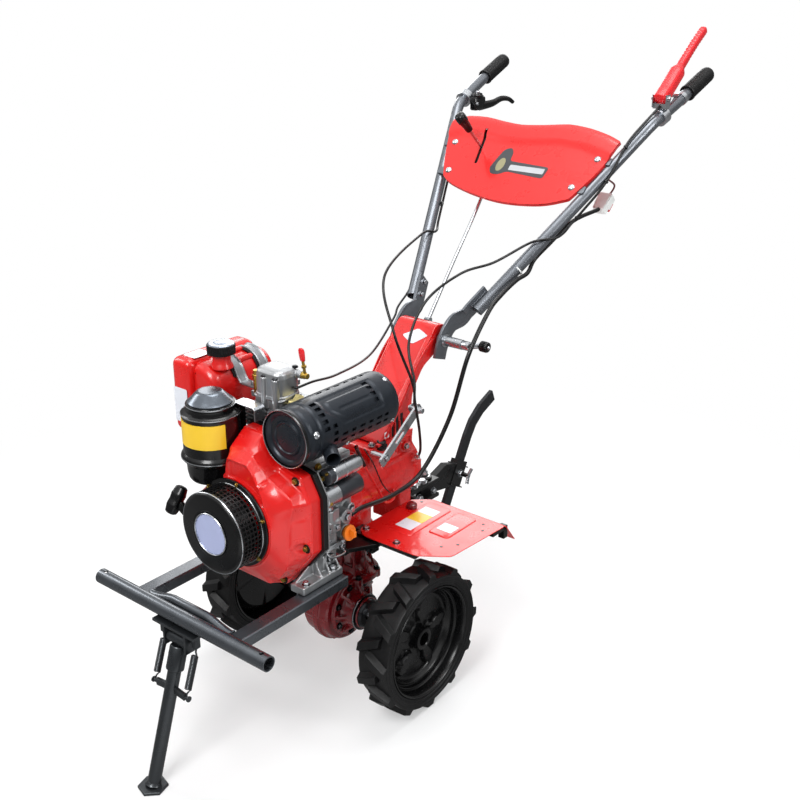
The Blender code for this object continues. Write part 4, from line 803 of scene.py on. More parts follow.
fittings = [
    turned([
        (0, 0), (0, 0.0075), (0.004, 0.0075), (0.0045, 0.0095), (0.01, 0.0095), (0.0105, 0.007),
        (0.0136, 0.007), (0.0136, 0)
    ], (0.127, -0.155, 0.4965), (0, 0, 1), 24),
    bolt((0.1402, -0.17, 0.461), (1, 0, 0), 0.008, 0.004, 0.0062),
    bolt((0.1402, -0.145, 0.461), (1, 0, 0), 0.008, 0.004, 0.0062),
    bolt((0.1238, -0.116, 0.4), (1, 0, 0), 0.012, 0.006, 0.009),
    bolt((0.1233, -0.152, 0.388), (1, 0, 0), 0.014, 0.006, 0.0105),
    bolt((0.1298, -0.09, 0.476), (1, 0, 0), 0.011, 0.005, 0.009),
    bolt((0.1388, -0.113, 0.47), (1, 0, 0), 0.012, 0.005, 0.0095),
    *[
        bolt((-0.117, y, z), (-1, 0, 0), 0.009, 0.004, 0.007)
        for y, z in ((-0.13, 0.488), (-0.097, 0.431), (-0.163, 0.431))
    ],
    bolt((0.1328, -0.16, 0.431), (1, 0, 0), 0.007, 0.003),
    swept([
        (0.1245, -0.182, 0.414), (0.134, -0.17, 0.416), (0.138, -0.15, 0.4175), (0.1385, -0.124, 0.4195)
    ], oblong(0.0012, 0.004), (1, 0, 0)),
    bolt((0.1395, -0.126, 0.4194), (1, 0, 0), 0.007, 0.003),
    bolt((0.1262, -0.18, 0.4142), (1, 0, 0), 0.007, 0.003),
]
for x, y in ((0.1285, -0.228), (0.1285, -0.148), (-0.1285, -0.228), (-0.1285, -0.148)):
    fittings.append(bolt((x, y, 0.3605), (0, 0, 1), 0.012, 0.006, 0.0085))
made("crankcase_bolts", fittings, zinc)
link = [
    (0.129, -0.1755, 0.435), (0.142, -0.177, 0.412), (0.146, -0.162, 0.4), (0.145, -0.13, 0.396),
    (0.131, -0.12, 0.396), (0.121, -0.118, 0.399)
]
pipe = [
    (0.127, -0.155, 0.51), (0.127, -0.155, 0.5165), (0.1235, -0.168, 0.5205), (0.1205, -0.18, 0.54),
    (0.119, -0.183, 0.59), (0.09, -0.1865, 0.601), (0.05, -0.19, 0.625), (0.032, -0.19, 0.65),
    (0.03, -0.188, 0.689)
]


def between(a, b, c, d, t):
    """The point at a share t of the way from b to c on the smooth curve through all four."""
    return 0.5 * (2 * b + (c - a) * t + (2 * a - 5 * b + 4 * c - d) * t**2 + (3 * b - 3 * c + d - a) * t**3)


def smooth_route(points, spacing):
    """Points at an even spacing on one smooth curve through the route's own points."""
    points = [Vector(p) for p in points]
    ends = [points[0] * 2 - points[1], *points, points[-1] * 2 - points[-2]]
    found = []
    for a, b, c, d in zip(ends, ends[1:], ends[2:], ends[3:]):
        steps = max(1, round((c - b).length / spacing))
        found += [between(a, b, c, d, i / steps) for i in range(steps)]
    return [*found, points[-1]]


made("injection_pipe_and_stop_link", [
    swept(smooth_route(pipe, 0.004), circle(0.0028, 16), (1, 0.2, 0.1)),
    swept(smooth_route(link, 0.004), circle(0.0022, 12), (0.3, 0.2, 1)),
], zinc)

# ---------------------------------------------------------------- blower housing
# Pressed and painted fan cowl: a raised scroll round the starter, sloping sides with a scooped panel and
# bolt pockets at its corners, screwed to the crankcase through the black plate.

# Baked enamel on sheet metal: a deep wet red, clear coat over a very slight orange peel.
red_enamel = finish(
    "baked red enamel", "D3120F", 0.3, relief=0.00001, tint=0.04, coat=0.4, dark=0.25
)
CREASE_OUTLINE = [
    (0.06, 0.35), (0.098, 0.382), (0.112, 0.414), (0.117, 0.46), (0.119, 0.485), (0.124, 0.511),
    (0.136, 0.548), (0.126, 0.565), (0.088, 0.58), (0.068, 0.59), (0.058, 0.608), (0.042, 0.632),
    (-0.028, 0.636), (-0.037, 0.527), (-0.114, 0.515), (-0.14, 0.492), (-0.142, 0.443), (-0.106, 0.382),
    (-0.055, 0.35)
]
CRANK_Z = 0.485


def reach(outline, turn):
    """How far an outline lies from the crankshaft in a direction."""
    ray = Vector((math.cos(turn), math.sin(turn)))
    best = 0.0
    for (ax, az), (bx, bz) in zip(outline, outline[1:] + outline[:1]):
        a, b = Vector((ax, az - CRANK_Z)), Vector((bx, bz - CRANK_Z))
        edge = b - a
        cross = ray.x * edge.y - ray.y * edge.x
        if abs(cross) > 1e-9:
            along = (a.x * edge.y - a.y * edge.x) / cross
            share = (a.x * ray.y - a.y * ray.x) / cross
            if along > 0 and -1e-6 <= share <= 1 + 1e-6:
                best = max(best, along)
    return best


def step(low, high, value):
    """A soft step from 0 at low to 1 at high."""
    share = max(0.0, min(1.0, (value - low) / (high - low)))
    return share * share * (3 - 2 * share)


def table(pairs, value):
    """Straight lines through a list of (at, height) pairs."""
    for (a, low), (b, high) in zip(pairs, pairs[1:]):
        if value <= b:
            return low + (high - low) * max(0.0, (value - a) / (b - a))
    return pairs[-1][1]


HOUSING_STEPS = 600
HOUSING_BOLTS = ((0.1165, 0.5885), (0.1395, 0.449), (0.0735, 0.3555), (-0.1415, 0.47), (-0.088, 0.363))
RIDGE = [
    (0, 0.096), (34, 0.096), (50.5, 0.111), (62.8, 0.131), (68.6, 0.14), (83.0, 0.133), (97.0, 0.133),
    (104.0, 0.096), (360, 0.096)
]
CREASE_Y = [
    (0, -0.26), (62, -0.26), (70, -0.268), (100, -0.268), (120, -0.264), (200, -0.264), (260, -0.258),
    (320, -0.258), (360, -0.26)
]
SHARES = [
    0.0, 0.02, 0.05, 0.1, 0.16, 0.22, 0.28, 0.34, 0.4, 0.47, 0.54, 0.61, 0.68, 0.75, 0.82, 0.88, 0.94, 1.0
]
WALL_FALL = [(0.0, 0.0), (0.04, 0.012), (1.0, 1.0)]
POCKET_FALL = [(0.0, 0.0), (0.04, 0.03), (0.34, 0.86), (0.42, 0.93), (1.0, 1.0)]
rings = [[] for _ in range(60)]
for i in range(HOUSING_STEPS):
    turn = math.tau * i / HOUSING_STEPS
    degrees = math.degrees(turn)
    outer = sum(reach(HOUSING_OUTLINE, turn + math.radians(k * 0.5)) for k in (-2, -1, 0, 1, 2)) / 5
    crease = min(
        sum(reach(CREASE_OUTLINE, turn + math.radians(k * 0.7)) for k in (-2, -1, 0, 1, 2)) / 5,
        outer - 0.01
    )
    ridge = min(table(RIDGE, degrees), crease - 0.01)
    start = min(0.088, ridge - 0.004)
    crease_y = table(CREASE_Y, degrees)
    pocket = step(23.0, 32.0, degrees) * step(66.0, 56.0, degrees)
    sunk = step(34, 42, degrees) * step(101, 96, degrees)
    line = [(0.05, -0.2893), (start, -0.2893), (min(start + 0.006, ridge - 0.002), -0.2888)]
    if ridge - start > 0.009:
        line += [
            (start + 0.0075, -0.2888 + 0.006 * sunk), (start + 0.0085, -0.288 + 0.007 * sunk),
            (ridge - 0.0035, -0.288 + 0.0065 * sunk), (ridge - 0.0012, -0.2872)
        ]
    else:
        line += [
            (ridge - 0.0015, -0.2886), (ridge - 0.0012, -0.2884), (ridge - 0.0009, -0.288),
            (ridge - 0.0006, -0.2876)
        ]
    line += [(ridge, -0.288), (ridge + 0.0016, -0.288), (ridge + 0.0034, -0.2856)]
    flat_start, flat_end = ridge + 0.004, crease - 0.0012
    for share in (0.0, 0.1, 0.2, 0.3, 0.4, 0.5, 0.6, 0.7, 0.8, 0.9, 1.0):
        line.append((flat_start + (flat_end - flat_start) * share, -0.285 + (crease_y + 0.285) * share**1.15))
    for share in SHARES:
        fall = table(WALL_FALL, share) * (1 - pocket) + table(POCKET_FALL, share) * pocket
        line.append((crease + (outer - 0.005 - crease) * share, crease_y + (-0.231 - crease_y) * fall))
    line += [
        (outer - 0.0042, -0.23), (outer - 0.0034, -0.2262), (outer - 0.0024, -0.2252),
        (outer - 0.0008, -0.225), (outer, -0.2242), (outer, -0.2003)
    ]
    for ring, (r, y) in zip(rings, line):
        x, z = r * math.cos(turn), CRANK_Z + r * math.sin(turn)
        if crease < r < outer - 0.003:
            pillow = step(
                0.446, 0.4515, z
            ) * step(0.515, 0.5095, z) + 0.7 * step(0.402, 0.407, z) * step(0.43, 0.425, z)
            y -= 0.0036 * pillow * step(0.0, 0.0035, r - crease) * step(
                0.0, 0.004, outer - 0.004 - r
            ) * (x > 0)
        if 0.1 < r < crease:
            rib = max(
                step(0.0016, 0.0006, abs(z - 0.624)), step(0.0016, 0.0006, abs(z - 0.63))
            ) * step(-0.022, -0.018, x) * step(0.036, 0.03, x)
            y -= 0.0012 * rib
        if start + 0.008 < r < ridge - 0.004:
            y -= 0.0016 * max(step(0.0018, 0.0008, abs(z - level)) for level in (0.59, 0.6, 0.61))
        for bx, bz in HOUSING_BOLTS:
            away = math.hypot(x - bx, z - bz)
            if r > 0.1 and r < outer - 0.001 and y < -0.2245:
                hole = step(0.0145, 0.0115, away)
                y = y * (1 - hole) - 0.2335 * hole
        ring.append([x, y, z])
rings = [ring for ring in rings if ring]
# The press leaves no sharp fold: each height is drawn towards its neighbours' several times.
for _ in range(9):
    for j in range(11, len(rings) - 7):
        inner, ring, outer = rings[j - 1 : j + 2]
        flat = [
            (
                ring[k][1] * 2 + ring[k - 1][1] + ring[(k + 1) % HOUSING_STEPS][1] + inner[k][1]
                + outer[k][1]
            ) / 6
            for k in range(HOUSING_STEPS)
        ]
        for place, y in zip(ring, flat):
            place[1] = y
made("fan_housing", lofted(rings), red_enamel, ["blower_housing"])
made("housing_grommets", [
    turned([
        (0.001, 0), (-0.001, 0.0098), (-0.0022, 0.0092), (-0.0024, 0.0072), (-0.0012, 0.0064), (-0.0012, 0)
    ], (bx, -0.2334, bz), (0, 1, 0), 32)
    for bx, bz in HOUSING_BOLTS
], tyre_rubber)
made("housing_bolts", [
    bolt((bx, -0.2345, bz), (0, -1, 0), 0.0098, 0.0052, 0.006) for bx, bz in HOUSING_BOLTS
], yellow_zinc)

# ---------------------------------------------------------------- recoil starter
# Pressed steel drum over the recoil spring, black, with five rows of square air holes round its side, a
# rolled front edge and a bare disc in the middle; a T handle on a cord pulls out at the front right.

# Black stove enamel on pressed steel: smooth and half gloss; the thin bright lines on its rolled edges are
# painted highlight, drawn as zinc rings.
black_enamel = finish(
    "black stove enamel", "0C0C0D", 0.3, relief=0.00002, tint=0.2, shine=0.35
)
# Printed aluminium disc, left bare: a pale cool violet-blue with a faint sideways sheen.
pale_disc = finish(
    "bare pale disc", "B4BCE0", 0.34, metallic=0.25, grain=0.0008, relief=0.00001,
    tint=0.05
)

DRUM_FRONT, DRUM_RADIUS = -0.357, 0.085
DRUM_MIDDLE = (0, DRUM_FRONT, CRANK_Z)
HOLES_ROUND, HOLE_ROWS = 54, 5


def pierced(skins, opened, rims=False):
    """A round wall of two skins of points, open at the (row, column) cells; rims close its ends."""
    bm = bmesh.new()
    skins = [[[bm.verts.new(p) for p in ring] for ring in skin] for skin in skins]
    rows, columns = len(skins[0]) - 1, len(skins[0][0])
    for j in range(rows):
        for i in range(columns):
            n = (i + 1) % columns
            outer, inner = [(skin[j][i], skin[j][n], skin[j + 1][n], skin[j + 1][i]) for skin in skins]
            if (j, i) not in opened:
                bm.faces.new(outer)
                bm.faces.new(inner)
                continue
            for k, beyond in enumerate(((j - 1, i), (j, n), (j + 1, i), (j, (i - 1) % columns))):
                if beyond not in opened:
                    bm.faces.new((outer[k], outer[k - 3], inner[k - 3], inner[k]))
    for end in (0, -1) if rims else ():
        for i in range(columns):
            bm.faces.new((skins[0][end][i - 1], skins[0][end][i], skins[1][end][i], skins[1][end][i - 1]))
    return bm


levels = [0.008, 0.0125]
for _ in range(HOLE_ROWS):
    levels += [levels[-1] + 0.006, levels[-1] + 0.009]
turns = [(i + (0.34 if i % 2 else 0)) * math.pi / HOLES_ROUND for i in range(HOLES_ROUND * 2)]
skins = []
for radius in (DRUM_RADIUS, DRUM_RADIUS - 0.0014):
    skins.append([
        [(radius * math.sin(t), DRUM_FRONT + a, CRANK_Z + radius * math.cos(t)) for t in turns]
        for a in levels
    ])
holes = {(j, i) for j in range(1, 2 * HOLE_ROWS + 1, 2) for i in range(0, HOLES_ROUND * 2, 2)}
made("perforated_drum_wall", pierced(skins, holes), black_enamel, ["recoil_starter"])
front = turned([
    (0.003, 0), (0.003, 0.0445), (0.0022, 0.0455), (0.0012, 0.048), (-0.0004, 0.05), (0.0002, 0.052),
    (0.0002, 0.0755), (0.0012, 0.079), (0.0036, 0.0826), (0.0066, 0.0847), (0.0085, 0.0852),
    (0.0085, 0.0835), (0.0055, 0.081), (0.0022, 0.0755), (0.0022, 0.049), (0.0045, 0.0425), (0.0045, 0)
], DRUM_MIDDLE, (0, 1, 0), 128)
rear = turned([
    (0.0575, 0.0838), (0.0575, 0.0852), (0.0612, 0.0858), (0.0622, 0.088), (0.0622, 0.0925),
    (0.0636, 0.0932), (0.0664, 0.0932), (0.0664, 0.07), (0.064, 0.07), (0.064, 0.0838)
], DRUM_MIDDLE, (0, 1, 0), 128, closed=True)
core = turned([
    (0.012, 0), (0.012, 0.05), (0.02, 0.066), (0.06, 0.068), (0.06, 0)
], DRUM_MIDDLE, (0, 1, 0), 64)
exit_boss = joined(rod((-0.066, -0.318, 0.446), (-0.096, -0.318, 0.469), 0.0105, 24), turned(
    [(0, 0.0045), (0, 0.009), (0.003, 0.0105), (0.006, 0.009), (0.006, 0.0045)], (-0.0945, -0.318, 0.468),
    (-0.79, 0, 0.61), 32, closed=True
))
made("starter_cover", [front, rear, exit_boss], black_enamel, edge=0.0005)
made("starter_reel", core, black_plate, edge=0.001)
made("bare_front_disc", turned([
    (0.0025, 0), (0.0012, 0), (0.001, 0.0415), (0.0016, 0.0422), (0.0025, 0.0422)
], DRUM_MIDDLE, (0, 1, 0), 96), pale_disc)
# Painted highlight: bright zinc rings round the disc's rim and on the drum's rolled front edge and rear ring
# stand in for thin lines of light on the black enamel.
made("starter_highlight_rings", [
    turned([
        (-0.0008, 0.0422), (-0.0016, 0.043), (-0.0016, 0.044), (-0.0006, 0.0448), (0.0022, 0.0448),
        (0.0022, 0.0422)
    ], DRUM_MIDDLE, (0, 1, 0), 96, closed=True),
    turned([
        (0.005, 0.0842), (0.0048, 0.0852), (0.0056, 0.0859), (0.007, 0.0859), (0.0078, 0.085)
    ], DRUM_MIDDLE, (0, 1, 0), 128, closed=True),
    turned([
        (0.059, 0.085), (0.0584, 0.0857), (0.0592, 0.0863), (0.0602, 0.086), (0.0602, 0.085)
    ], DRUM_MIDDLE, (0, 1, 0), 128, closed=True),
], zinc)
flange_screws = []
for i in range(6):
    turn = math.radians(20 + 60 * i)
    at = (0.0892 * math.cos(turn), DRUM_FRONT + 0.0622, CRANK_Z + 0.0892 * math.sin(turn))
    flange_screws.append(bolt(at, (0, -1, 0), 0.0062, 0.0032, 0.0044))
made("starter_screws", flange_screws, yellow_zinc)


def moulded(route, girth, side, steps=28, power=1.0):
    """A moulding along a route; girth gives half its width and height at a share of the way."""
    side = Vector(side)
    rings = []
    for i, point in enumerate(route):
        along = (route[min(i + 1, len(route) - 1)] - route[max(i - 1, 0)]).normalized()
        across = (side - along * along.dot(side)).normalized()
        up = along.cross(across)
        wide, tall = girth(i / (len(route) - 1))
        ring = []
        for c, s in circle(1, steps):
            right, high = math.copysign(abs(c) ** power, c) * wide, math.copysign(abs(s) ** power, s) * tall
            ring.append(point + across * right + up * high)
        rings.append(ring)
    return lofted(rings)


# The moulded T handle, on its cord's tapered sleeve, parked against the eye of the cover.
pull, pull_line = Vector((-0.129, -0.33, 0.508)), Vector((0.12, 0.52, 0.85)).normalized()
pull_girth = [
    (0.0, 0.0075), (0.05, 0.011), (0.3, 0.0138), (0.5, 0.0128), (0.7, 0.0138), (0.95, 0.011), (1.0, 0.0075)
]
handle_parts = [
    moulded(
        [pull + pull_line * (k * 0.003 - 0.03) for k in range(21)],
        lambda share: (table(pull_girth, share) * 1.05, table(pull_girth, share)), (1, 0.2, 0), 24, 0.7
    ),
    rod((-0.098, -0.32, 0.47), pull, 0.0082, 24, 0.01),
    turned(
        [(0, 0), (0, 0.0105), (0.004, 0.0115), (0.008, 0.0105), (0.008, 0)], (-0.103, -0.3215, 0.476),
        pull - Vector((-0.098, -0.32, 0.47)), 24
    ),
]
made("starter_pull_handle", handle_parts, black_nylon, edge=0.0012)

# ---------------------------------------------------------------- cylinder and head
# Air-cooled barrel with thin cast fins, and above it the rocker cover: a smooth aluminium box with bolt
# columns cast on its front, a hexagon breather, the decompression lever and the governor plate beside it.

fins = [block((-0.058, -0.18, 0.6005), (0.02, -0.074, 0.69))]
for i in range(11):
    z = 0.6045 + i * 0.008
    fins.append(block((-0.0695, -0.1875, z), (0.0275, -0.0665, z + 0.0026)))
made("finned_barrel", fins, cast_aluminium, ["cylinder"], edge=0.0006)


def rounded_outline(low_x, low_y, high_x, high_y, radius, steps=6):
    """A rectangle with round corners, anticlockwise."""
    points = []
    for cx, cy, start in (
        (high_x - radius, high_y - radius, 0), (low_x + radius, high_y - radius, 90),
        (low_x + radius, low_y + radius, 180), (high_x - radius, low_y + radius, 270)
    ):
        for i in range(steps + 1):
            turn = math.radians(start + 90 * i / steps)
            points.append((cx + radius * math.cos(turn), cy + radius * math.sin(turn)))
    return points


def stacked(low_x, low_y, high_x, high_y, radius, levels):
    """A round-cornered box whose outline is drawn in by some amount at each level."""
    return lofted([
        [
            (x, y, z)
            for x, y in rounded_outline(
                low_x + inset, low_y + inset, high_x - inset, high_y - inset, max(radius - inset, 0.001)
            )
        ]
        for z, inset in levels
    ])


# Three bolt columns: x, y and height above the gasket.
COLUMNS = ((-0.016, -0.1792, 0.064), (0.015, -0.1792, 0.064), (-0.047, -0.148, 0.06))
head = [
    stacked(-0.0515, -0.1815, 0.0285, -0.1125, 0.024, [
        (0.712, -0.0005), (0.7185, -0.0005), (0.719, 0.0012), (0.73, 0.0012), (0.756, 0.0016),
        (0.764, 0.0034), (0.7685, 0.007), (0.7705, 0.012), (0.7718, 0.02)
    ]),
    stacked(-0.0505, -0.1805, 0.028, -0.1125, 0.01, [
        (0.6905, 0.002), (0.71, 0.002), (0.7105, -0.0006), (0.713, -0.0006)
    ]),
    rod((0.022, -0.126, 0.758), (0.0395, -0.126, 0.758), 0.0082, 28),
]
for x, y, tall in COLUMNS:
    profile = [(0, 0), (0, 0.0076), (tall, 0.007), (tall + 0.0025, 0.0056), (tall + 0.0025, 0)]
    head.append(turned(profile, (x, y, 0.691), (0, 0, 1), 28))
made("rocker_cover", head, cast_aluminium, ["head_cover"], cast=0.001, relax=2)
made("cover_bolts", [
    *[bolt((x, y, 0.6932 + tall), (0, 0, 1), 0.0104, 0.0035) for x, y, tall in COLUMNS],
    bolt((0.017, -0.124, 0.7695), (0, 0, 1), 0.009, 0.0022, 0.0065),
], black_zinc)
made("breather_and_stem", [
    turned([
        (0, 0), (0, 0.0066), (0.03, 0.0066), (0.0305, 0.0086), (0.04, 0.0086), (0.0405, 0.007),
        (0.05, 0.007), (0.0505, 0)
    ], (-0.064, -0.154, 0.703), (0, 0, 1), 6),
    turned([
        (0, 0), (0, 0.0072), (0.008, 0.0072), (0.009, 0.0058), (0.015, 0.0058), (0.015, 0)
    ], (0.0385, -0.126, 0.758), (1, 0, 0), 28),
    rod((0.047, -0.126, 0.757), (0.046, -0.132, 0.796), 0.003, 20),
    turned(
        [(0, 0), (0, 0.0052), (0.005, 0.0052), (0.005, 0)], (0.0465, -0.1285, 0.776), (-0.03, -0.16, 1), 20
    ),
], yellow_zinc, edge=0.0005)
# Moulded lever knob: bright red, rounded.
red_plastic = finish(
    "moulded red plastic", "D81A22", 0.34, relief=0.00001, coat=0.15, dark=0.25
)
made("decompression_knob", lofted([
    [(0.046 + a * w, -0.131 - 0.14 * (z - 0.79) + b * w * 0.7, z) for a, b in circle(1, 28)]
    for z, w in (
        (0.79, 0.0042), (0.7915, 0.0058), (0.798, 0.0066), (0.807, 0.0072), (0.813, 0.007), (0.817, 0.0052),
        (0.818, 0.003)
    )
]), red_plastic)
fan = [turned([
    (0, 0), (0, 0.0105), (0.006, 0.0105), (0.0065, 0.0095), (0.0065, 0)
], (0.04, -0.155, 0.706), (0, 0, 1), 28)]
for i in range(7):
    turn = math.radians(-60 + i * 28)
    tip = Vector((0.04 + 0.021 * math.cos(turn), -0.155 + 0.021 * math.sin(turn), 0.718))
    fan.append(swept(
        [(0.04, -0.155, 0.709), tip.lerp(Vector((0.04, -0.155, 0.709)), 0.45), tip], oblong(0.0045, 0.0011),
        (-math.sin(turn), math.cos(turn), 0)
    ))
made(
    "governor_fan_plate", [*fan, rod((0.027, -0.155, 0.702), (0.041, -0.155, 0.706), 0.005, 20)],
    finish(
        "cream chromate plate", "D8C98A", 0.38, metallic=0.6, grain=0.001, spread=0.08,
        tint=0.2, dark=0.5
    ),
    edge=0.0004
)
bracket = [
    extruded([
        (-0.066, 0.7035), (-0.008, 0.7035), (-0.004, 0.6995), (-0.004, 0.675), (-0.007, 0.675),
        (-0.007, 0.699), (-0.009, 0.701), (-0.066, 0.701)
    ], -0.22, -0.19),
    block((-0.06, -0.1905, 0.691), (-0.01, -0.187, 0.703)),
]
made("cleaner_bracket_plate", bracket, zinc, edge=0.0007)
made("fuel_pipe_and_clip", [
    swept(smooth_route([
        (-0.098, -0.172, 0.64), (-0.094, -0.188, 0.625), (-0.07, -0.1935, 0.612), (-0.02, -0.194, 0.64),
        (0.004, -0.1935, 0.672), (0.012, -0.19, 0.688)
    ], 0.004), circle(0.0042, 18), (0.2, 1, 0.1)),
    rod((-0.03, -0.186, 0.672), (0.026, -0.186, 0.672), 0.004, 18),
], black_enamel, slot="black_rubber", edge=0.0004)

# ---------------------------------------------------------------- fuel tank
# Two deep-drawn steel halves seamed round the middle, in the same red enamel, held down by two grey straps
# with rubber under them; a ribbed black cap with a domed lid. Its decal places are left bare.

TANK_LOW, TANK_HIGH = 0.5885, 0.7545
FILLER = (-0.162, -0.157)


def filleted(points, radius, steps=6):
    """A closed outline whose corners are rounded."""
    found = []
    count = len(points)
    for i in range(count):
        before, corner, after = (Vector(points[(i + k) % count]) for k in (-1, 0, 1))
        to_before, to_after = (before - corner), (after - corner)
        reach_in = min(radius, to_before.length * 0.45, to_after.length * 0.45)
        start, end = corner + to_before.normalized() * reach_in, corner + to_after.normalized() * reach_in
        for k in range(steps + 1):
            t = k / steps
            found.append(tuple(start * (1 - t) ** 2 + corner * 2 * t * (1 - t) + end * t**2))
    return found


def inset_outline(points, inset):
    """The outline drawn in towards its middle by an even amount."""
    count = len(points)
    found = []
    for i in range(count):
        before, here, after = (Vector(points[(i + k) % count]) for k in (-1, 0, 1))
        along = (after - before)
        along = along.normalized() if along.length > 1e-9 else Vector((1, 0))
        found.append(tuple(here + Vector((-along.y, along.x)) * inset))
    return found


def eased(outline, levels, plane):
    """A pillow: the same outline at each level along the third axis, drawn in towards both ends."""
    return lofted([
        [on_plane(plane, a, b, level) for a, b in inset_outline(outline, inset)] for level, inset in levels
    ])


def ends(low, high, radius):
    """Levels and insets that round both ends of a pillow."""
    curve = [
        (radius * (1 - math.cos(math.radians(a))), radius * (1 - math.sin(math.radians(a))))
        for a in (0, 18, 36, 54, 72, 90)
    ]
    return [(low + along, inset) for along, inset in curve] + [
        (high - along, inset) for along, inset in curve[::-1]
    ]


front_box = filleted([(-0.2615, -0.2135), (-0.203, -0.2135), (-0.203, -0.019), (-0.2615, -0.019)], 0.02, 8)
shoulder = filleted([
    (-0.22, 0.592), (-0.1412, 0.592), (-0.1412, 0.7), (-0.149, 0.726), (-0.17, 0.744), (-0.22, 0.748)
], 0.024, 8)
tank_shapes = [
    eased(front_box, ends(TANK_LOW, TANK_HIGH, 0.018), "XY"),
    eased(shoulder, ends(-0.199, -0.0186, 0.022), "XZ"),
    turned([
        (0, 0), (0, 0.024), (0.008, 0.0215), (0.012, 0.019), (0.032, 0.019), (0.032, 0)
    ], (*FILLER, 0.738), (0, 0, 1), 48),
]
for x, z, width in ((-0.196, 0.7475, 0.0075), (-0.164, 0.7385, 0.0065)):
    tank_shapes.append(swept([
        (x, -0.112, z - 0.004), (x, -0.108, z), (x, -0.076, z), (x, -0.072, z - 0.004)
    ], circle(width, 20, 0.007), (1, 0, 0)))
made("seamed_fuel_tank", tank_shapes, red_enamel, ["fuel_tank"], edge=0.0009)
# Blank decals: pale silvered film, slightly proud of the paint.
pale_film = finish(
    "blank silvered film", "DCDFE6", 0.3, grain=0.004, relief=0.00001, spread=0.04, tint=0.03,
    coat=0.3
)
decals = [
    extruded(rounded_outline(-0.253, 0.613, -0.213, 0.69, 0.003), -0.2132, -0.2139),
    extruded(
        rounded_outline(-0.244, -0.19, -0.208, -0.144, 0.003), TANK_HIGH - 0.0004, TANK_HIGH + 0.0004, "XY"
    ),
]
made("tank_blank_decals", decals, pale_film)


def ribbed(along, radius, turn):
    """Forty ribs round the cap."""
    if radius > 0.026:
        radius -= 0.001 * (0.5 + 0.5 * math.cos(turn * 40))
    return along, radius


made("ribbed_tank_cap", turned([
    (0.013, 0), (0.013, 0.0275), (0.014, 0.03), (0.032, 0.03), (0.0335, 0.0292), (0.034, 0.0265), (0.034, 0)
], (*FILLER, TANK_HIGH), (0, 0, 1), 320, warp=ribbed), black_nylon, slot="black_paint")
made(
    "cap_lid",
    turned([
        (0.033, 0.0), (0.033, 0.0278), (0.035, 0.0276), (0.036, 0.0262), (0.0362, 0.0225), (0.0356, 0.0205),
        (0.0372, 0.015), (0.0379, 0.006), (0.038, 0.0)
    ], (*FILLER, TANK_HIGH), (0, 0, 1), 72),
    finish(
        "dull chromed lid", "9EA6B2", 0.22, metallic=0.9, grain=0.002, relief=0.00006,
        spread=0.08, tint=0.12
    )
)
straps, pads_under = [], []
for y in (-0.126, -0.058):
    line = [
        (-0.212, 0.738), (-0.206, 0.747), (-0.198, 0.751), (-0.186, 0.7512), (-0.17, 0.748), (-0.156, 0.74),
        (-0.146, 0.729), (-0.139, 0.715), (-0.133, 0.7065), (-0.123, 0.7026), (-0.0545, 0.702)
    ]
    curve = smooth_route([(x, y, z) for x, z in line], 0.004)
    straps.append(swept(curve, [
        (-0.0125, -0.0014), (-0.0125, 0.0014), (-0.0102, 0.0032), (-0.007, 0.0004), (0.007, 0.0004),
        (0.0102, 0.0032), (0.0125, 0.0014), (0.0125, -0.0014)
    ], (0, 1, 0)))
    straps.append(bolt((-0.102, y, 0.7034), (0, 0, 1), 0.01, 0.006, 0.008))
    straps.append(bolt((-0.07, y, 0.7034), (0, 0, 1), 0.01, 0.006, 0.008))
    under = smooth_route([
        (-0.206, y - 0.003, 0.745), (-0.186, y - 0.003, 0.7484), (-0.17, y - 0.003, 0.7455),
        (-0.157, y - 0.003, 0.7375), (-0.148, y - 0.003, 0.727), (-0.143, y - 0.003, 0.715)
    ], 0.004)
    pads_under.append(swept(under, [
        (-0.0145, -0.0018), (0.0145, -0.0018), (0.0145, 0.0012), (-0.0145, 0.0012)
    ], (0, 1, 0)))
pads_under.append(block((-0.206, -0.144, 0.742), (-0.188, -0.136, 0.7575)))
made(
    "tank_hold_down_straps", [*straps, block((-0.086, -0.15, 0.6905), (-0.0528, -0.04, 0.7012))],
    finish(
        "galvanised strip", "8E9194", 0.36, metallic=0.8, relief=0.000006, spread=0.06,
        tint=0.1, dark=0.3
    ),
    ["tank_straps"], edge=0.0005
)
made("strap_rubber", pads_under, tyre_rubber, edge=0.0004)

# ---------------------------------------------------------------- air cleaner
# Black oil-bath cleaner: a drawn can with two rolled beads and a lower bowl, a conical metal lid, and a
# yellow label place left bare; a cast elbow takes the air to the head.

# Satin black can: broad soft highlights down the drum; the brighter lines on the beads are painted highlight,
# drawn as zinc strips.
satin_black = finish(
    "satin black paint on drawn steel", "0B0B0C", 0.22, relief=0.00001, spread=0.04,
    tint=0.2, shine=0.45
)
CLEANER = Vector((-0.092, -0.2555, 0.545))
can = [
    (0, 0), (0, 0.043), (0.002, 0.048), (0.007, 0.0515), (0.02, 0.054), (0.038, 0.055), (0.0415, 0.0565),
    (0.047, 0.0625), (0.05, 0.0645), (0.053, 0.065), (0.0555, 0.0645), (0.058, 0.063), (0.062, 0.0595),
    (0.138, 0.0585), (0.1405, 0.0592), (0.1425, 0.06), (0.145, 0.06), (0.1465, 0.0585), (0.148, 0.055),
    (0.1495, 0.05), (0.1565, 0.048), (0.1585, 0.0488), (0.1605, 0.0496), (0.163, 0.0496), (0.1645, 0.0486),
    (0.165, 0.046), (0.165, 0.0)
]
made("cleaner_can", turned(can, CLEANER, (0, 0, 1), 96), satin_black, ["air_cleaner"])
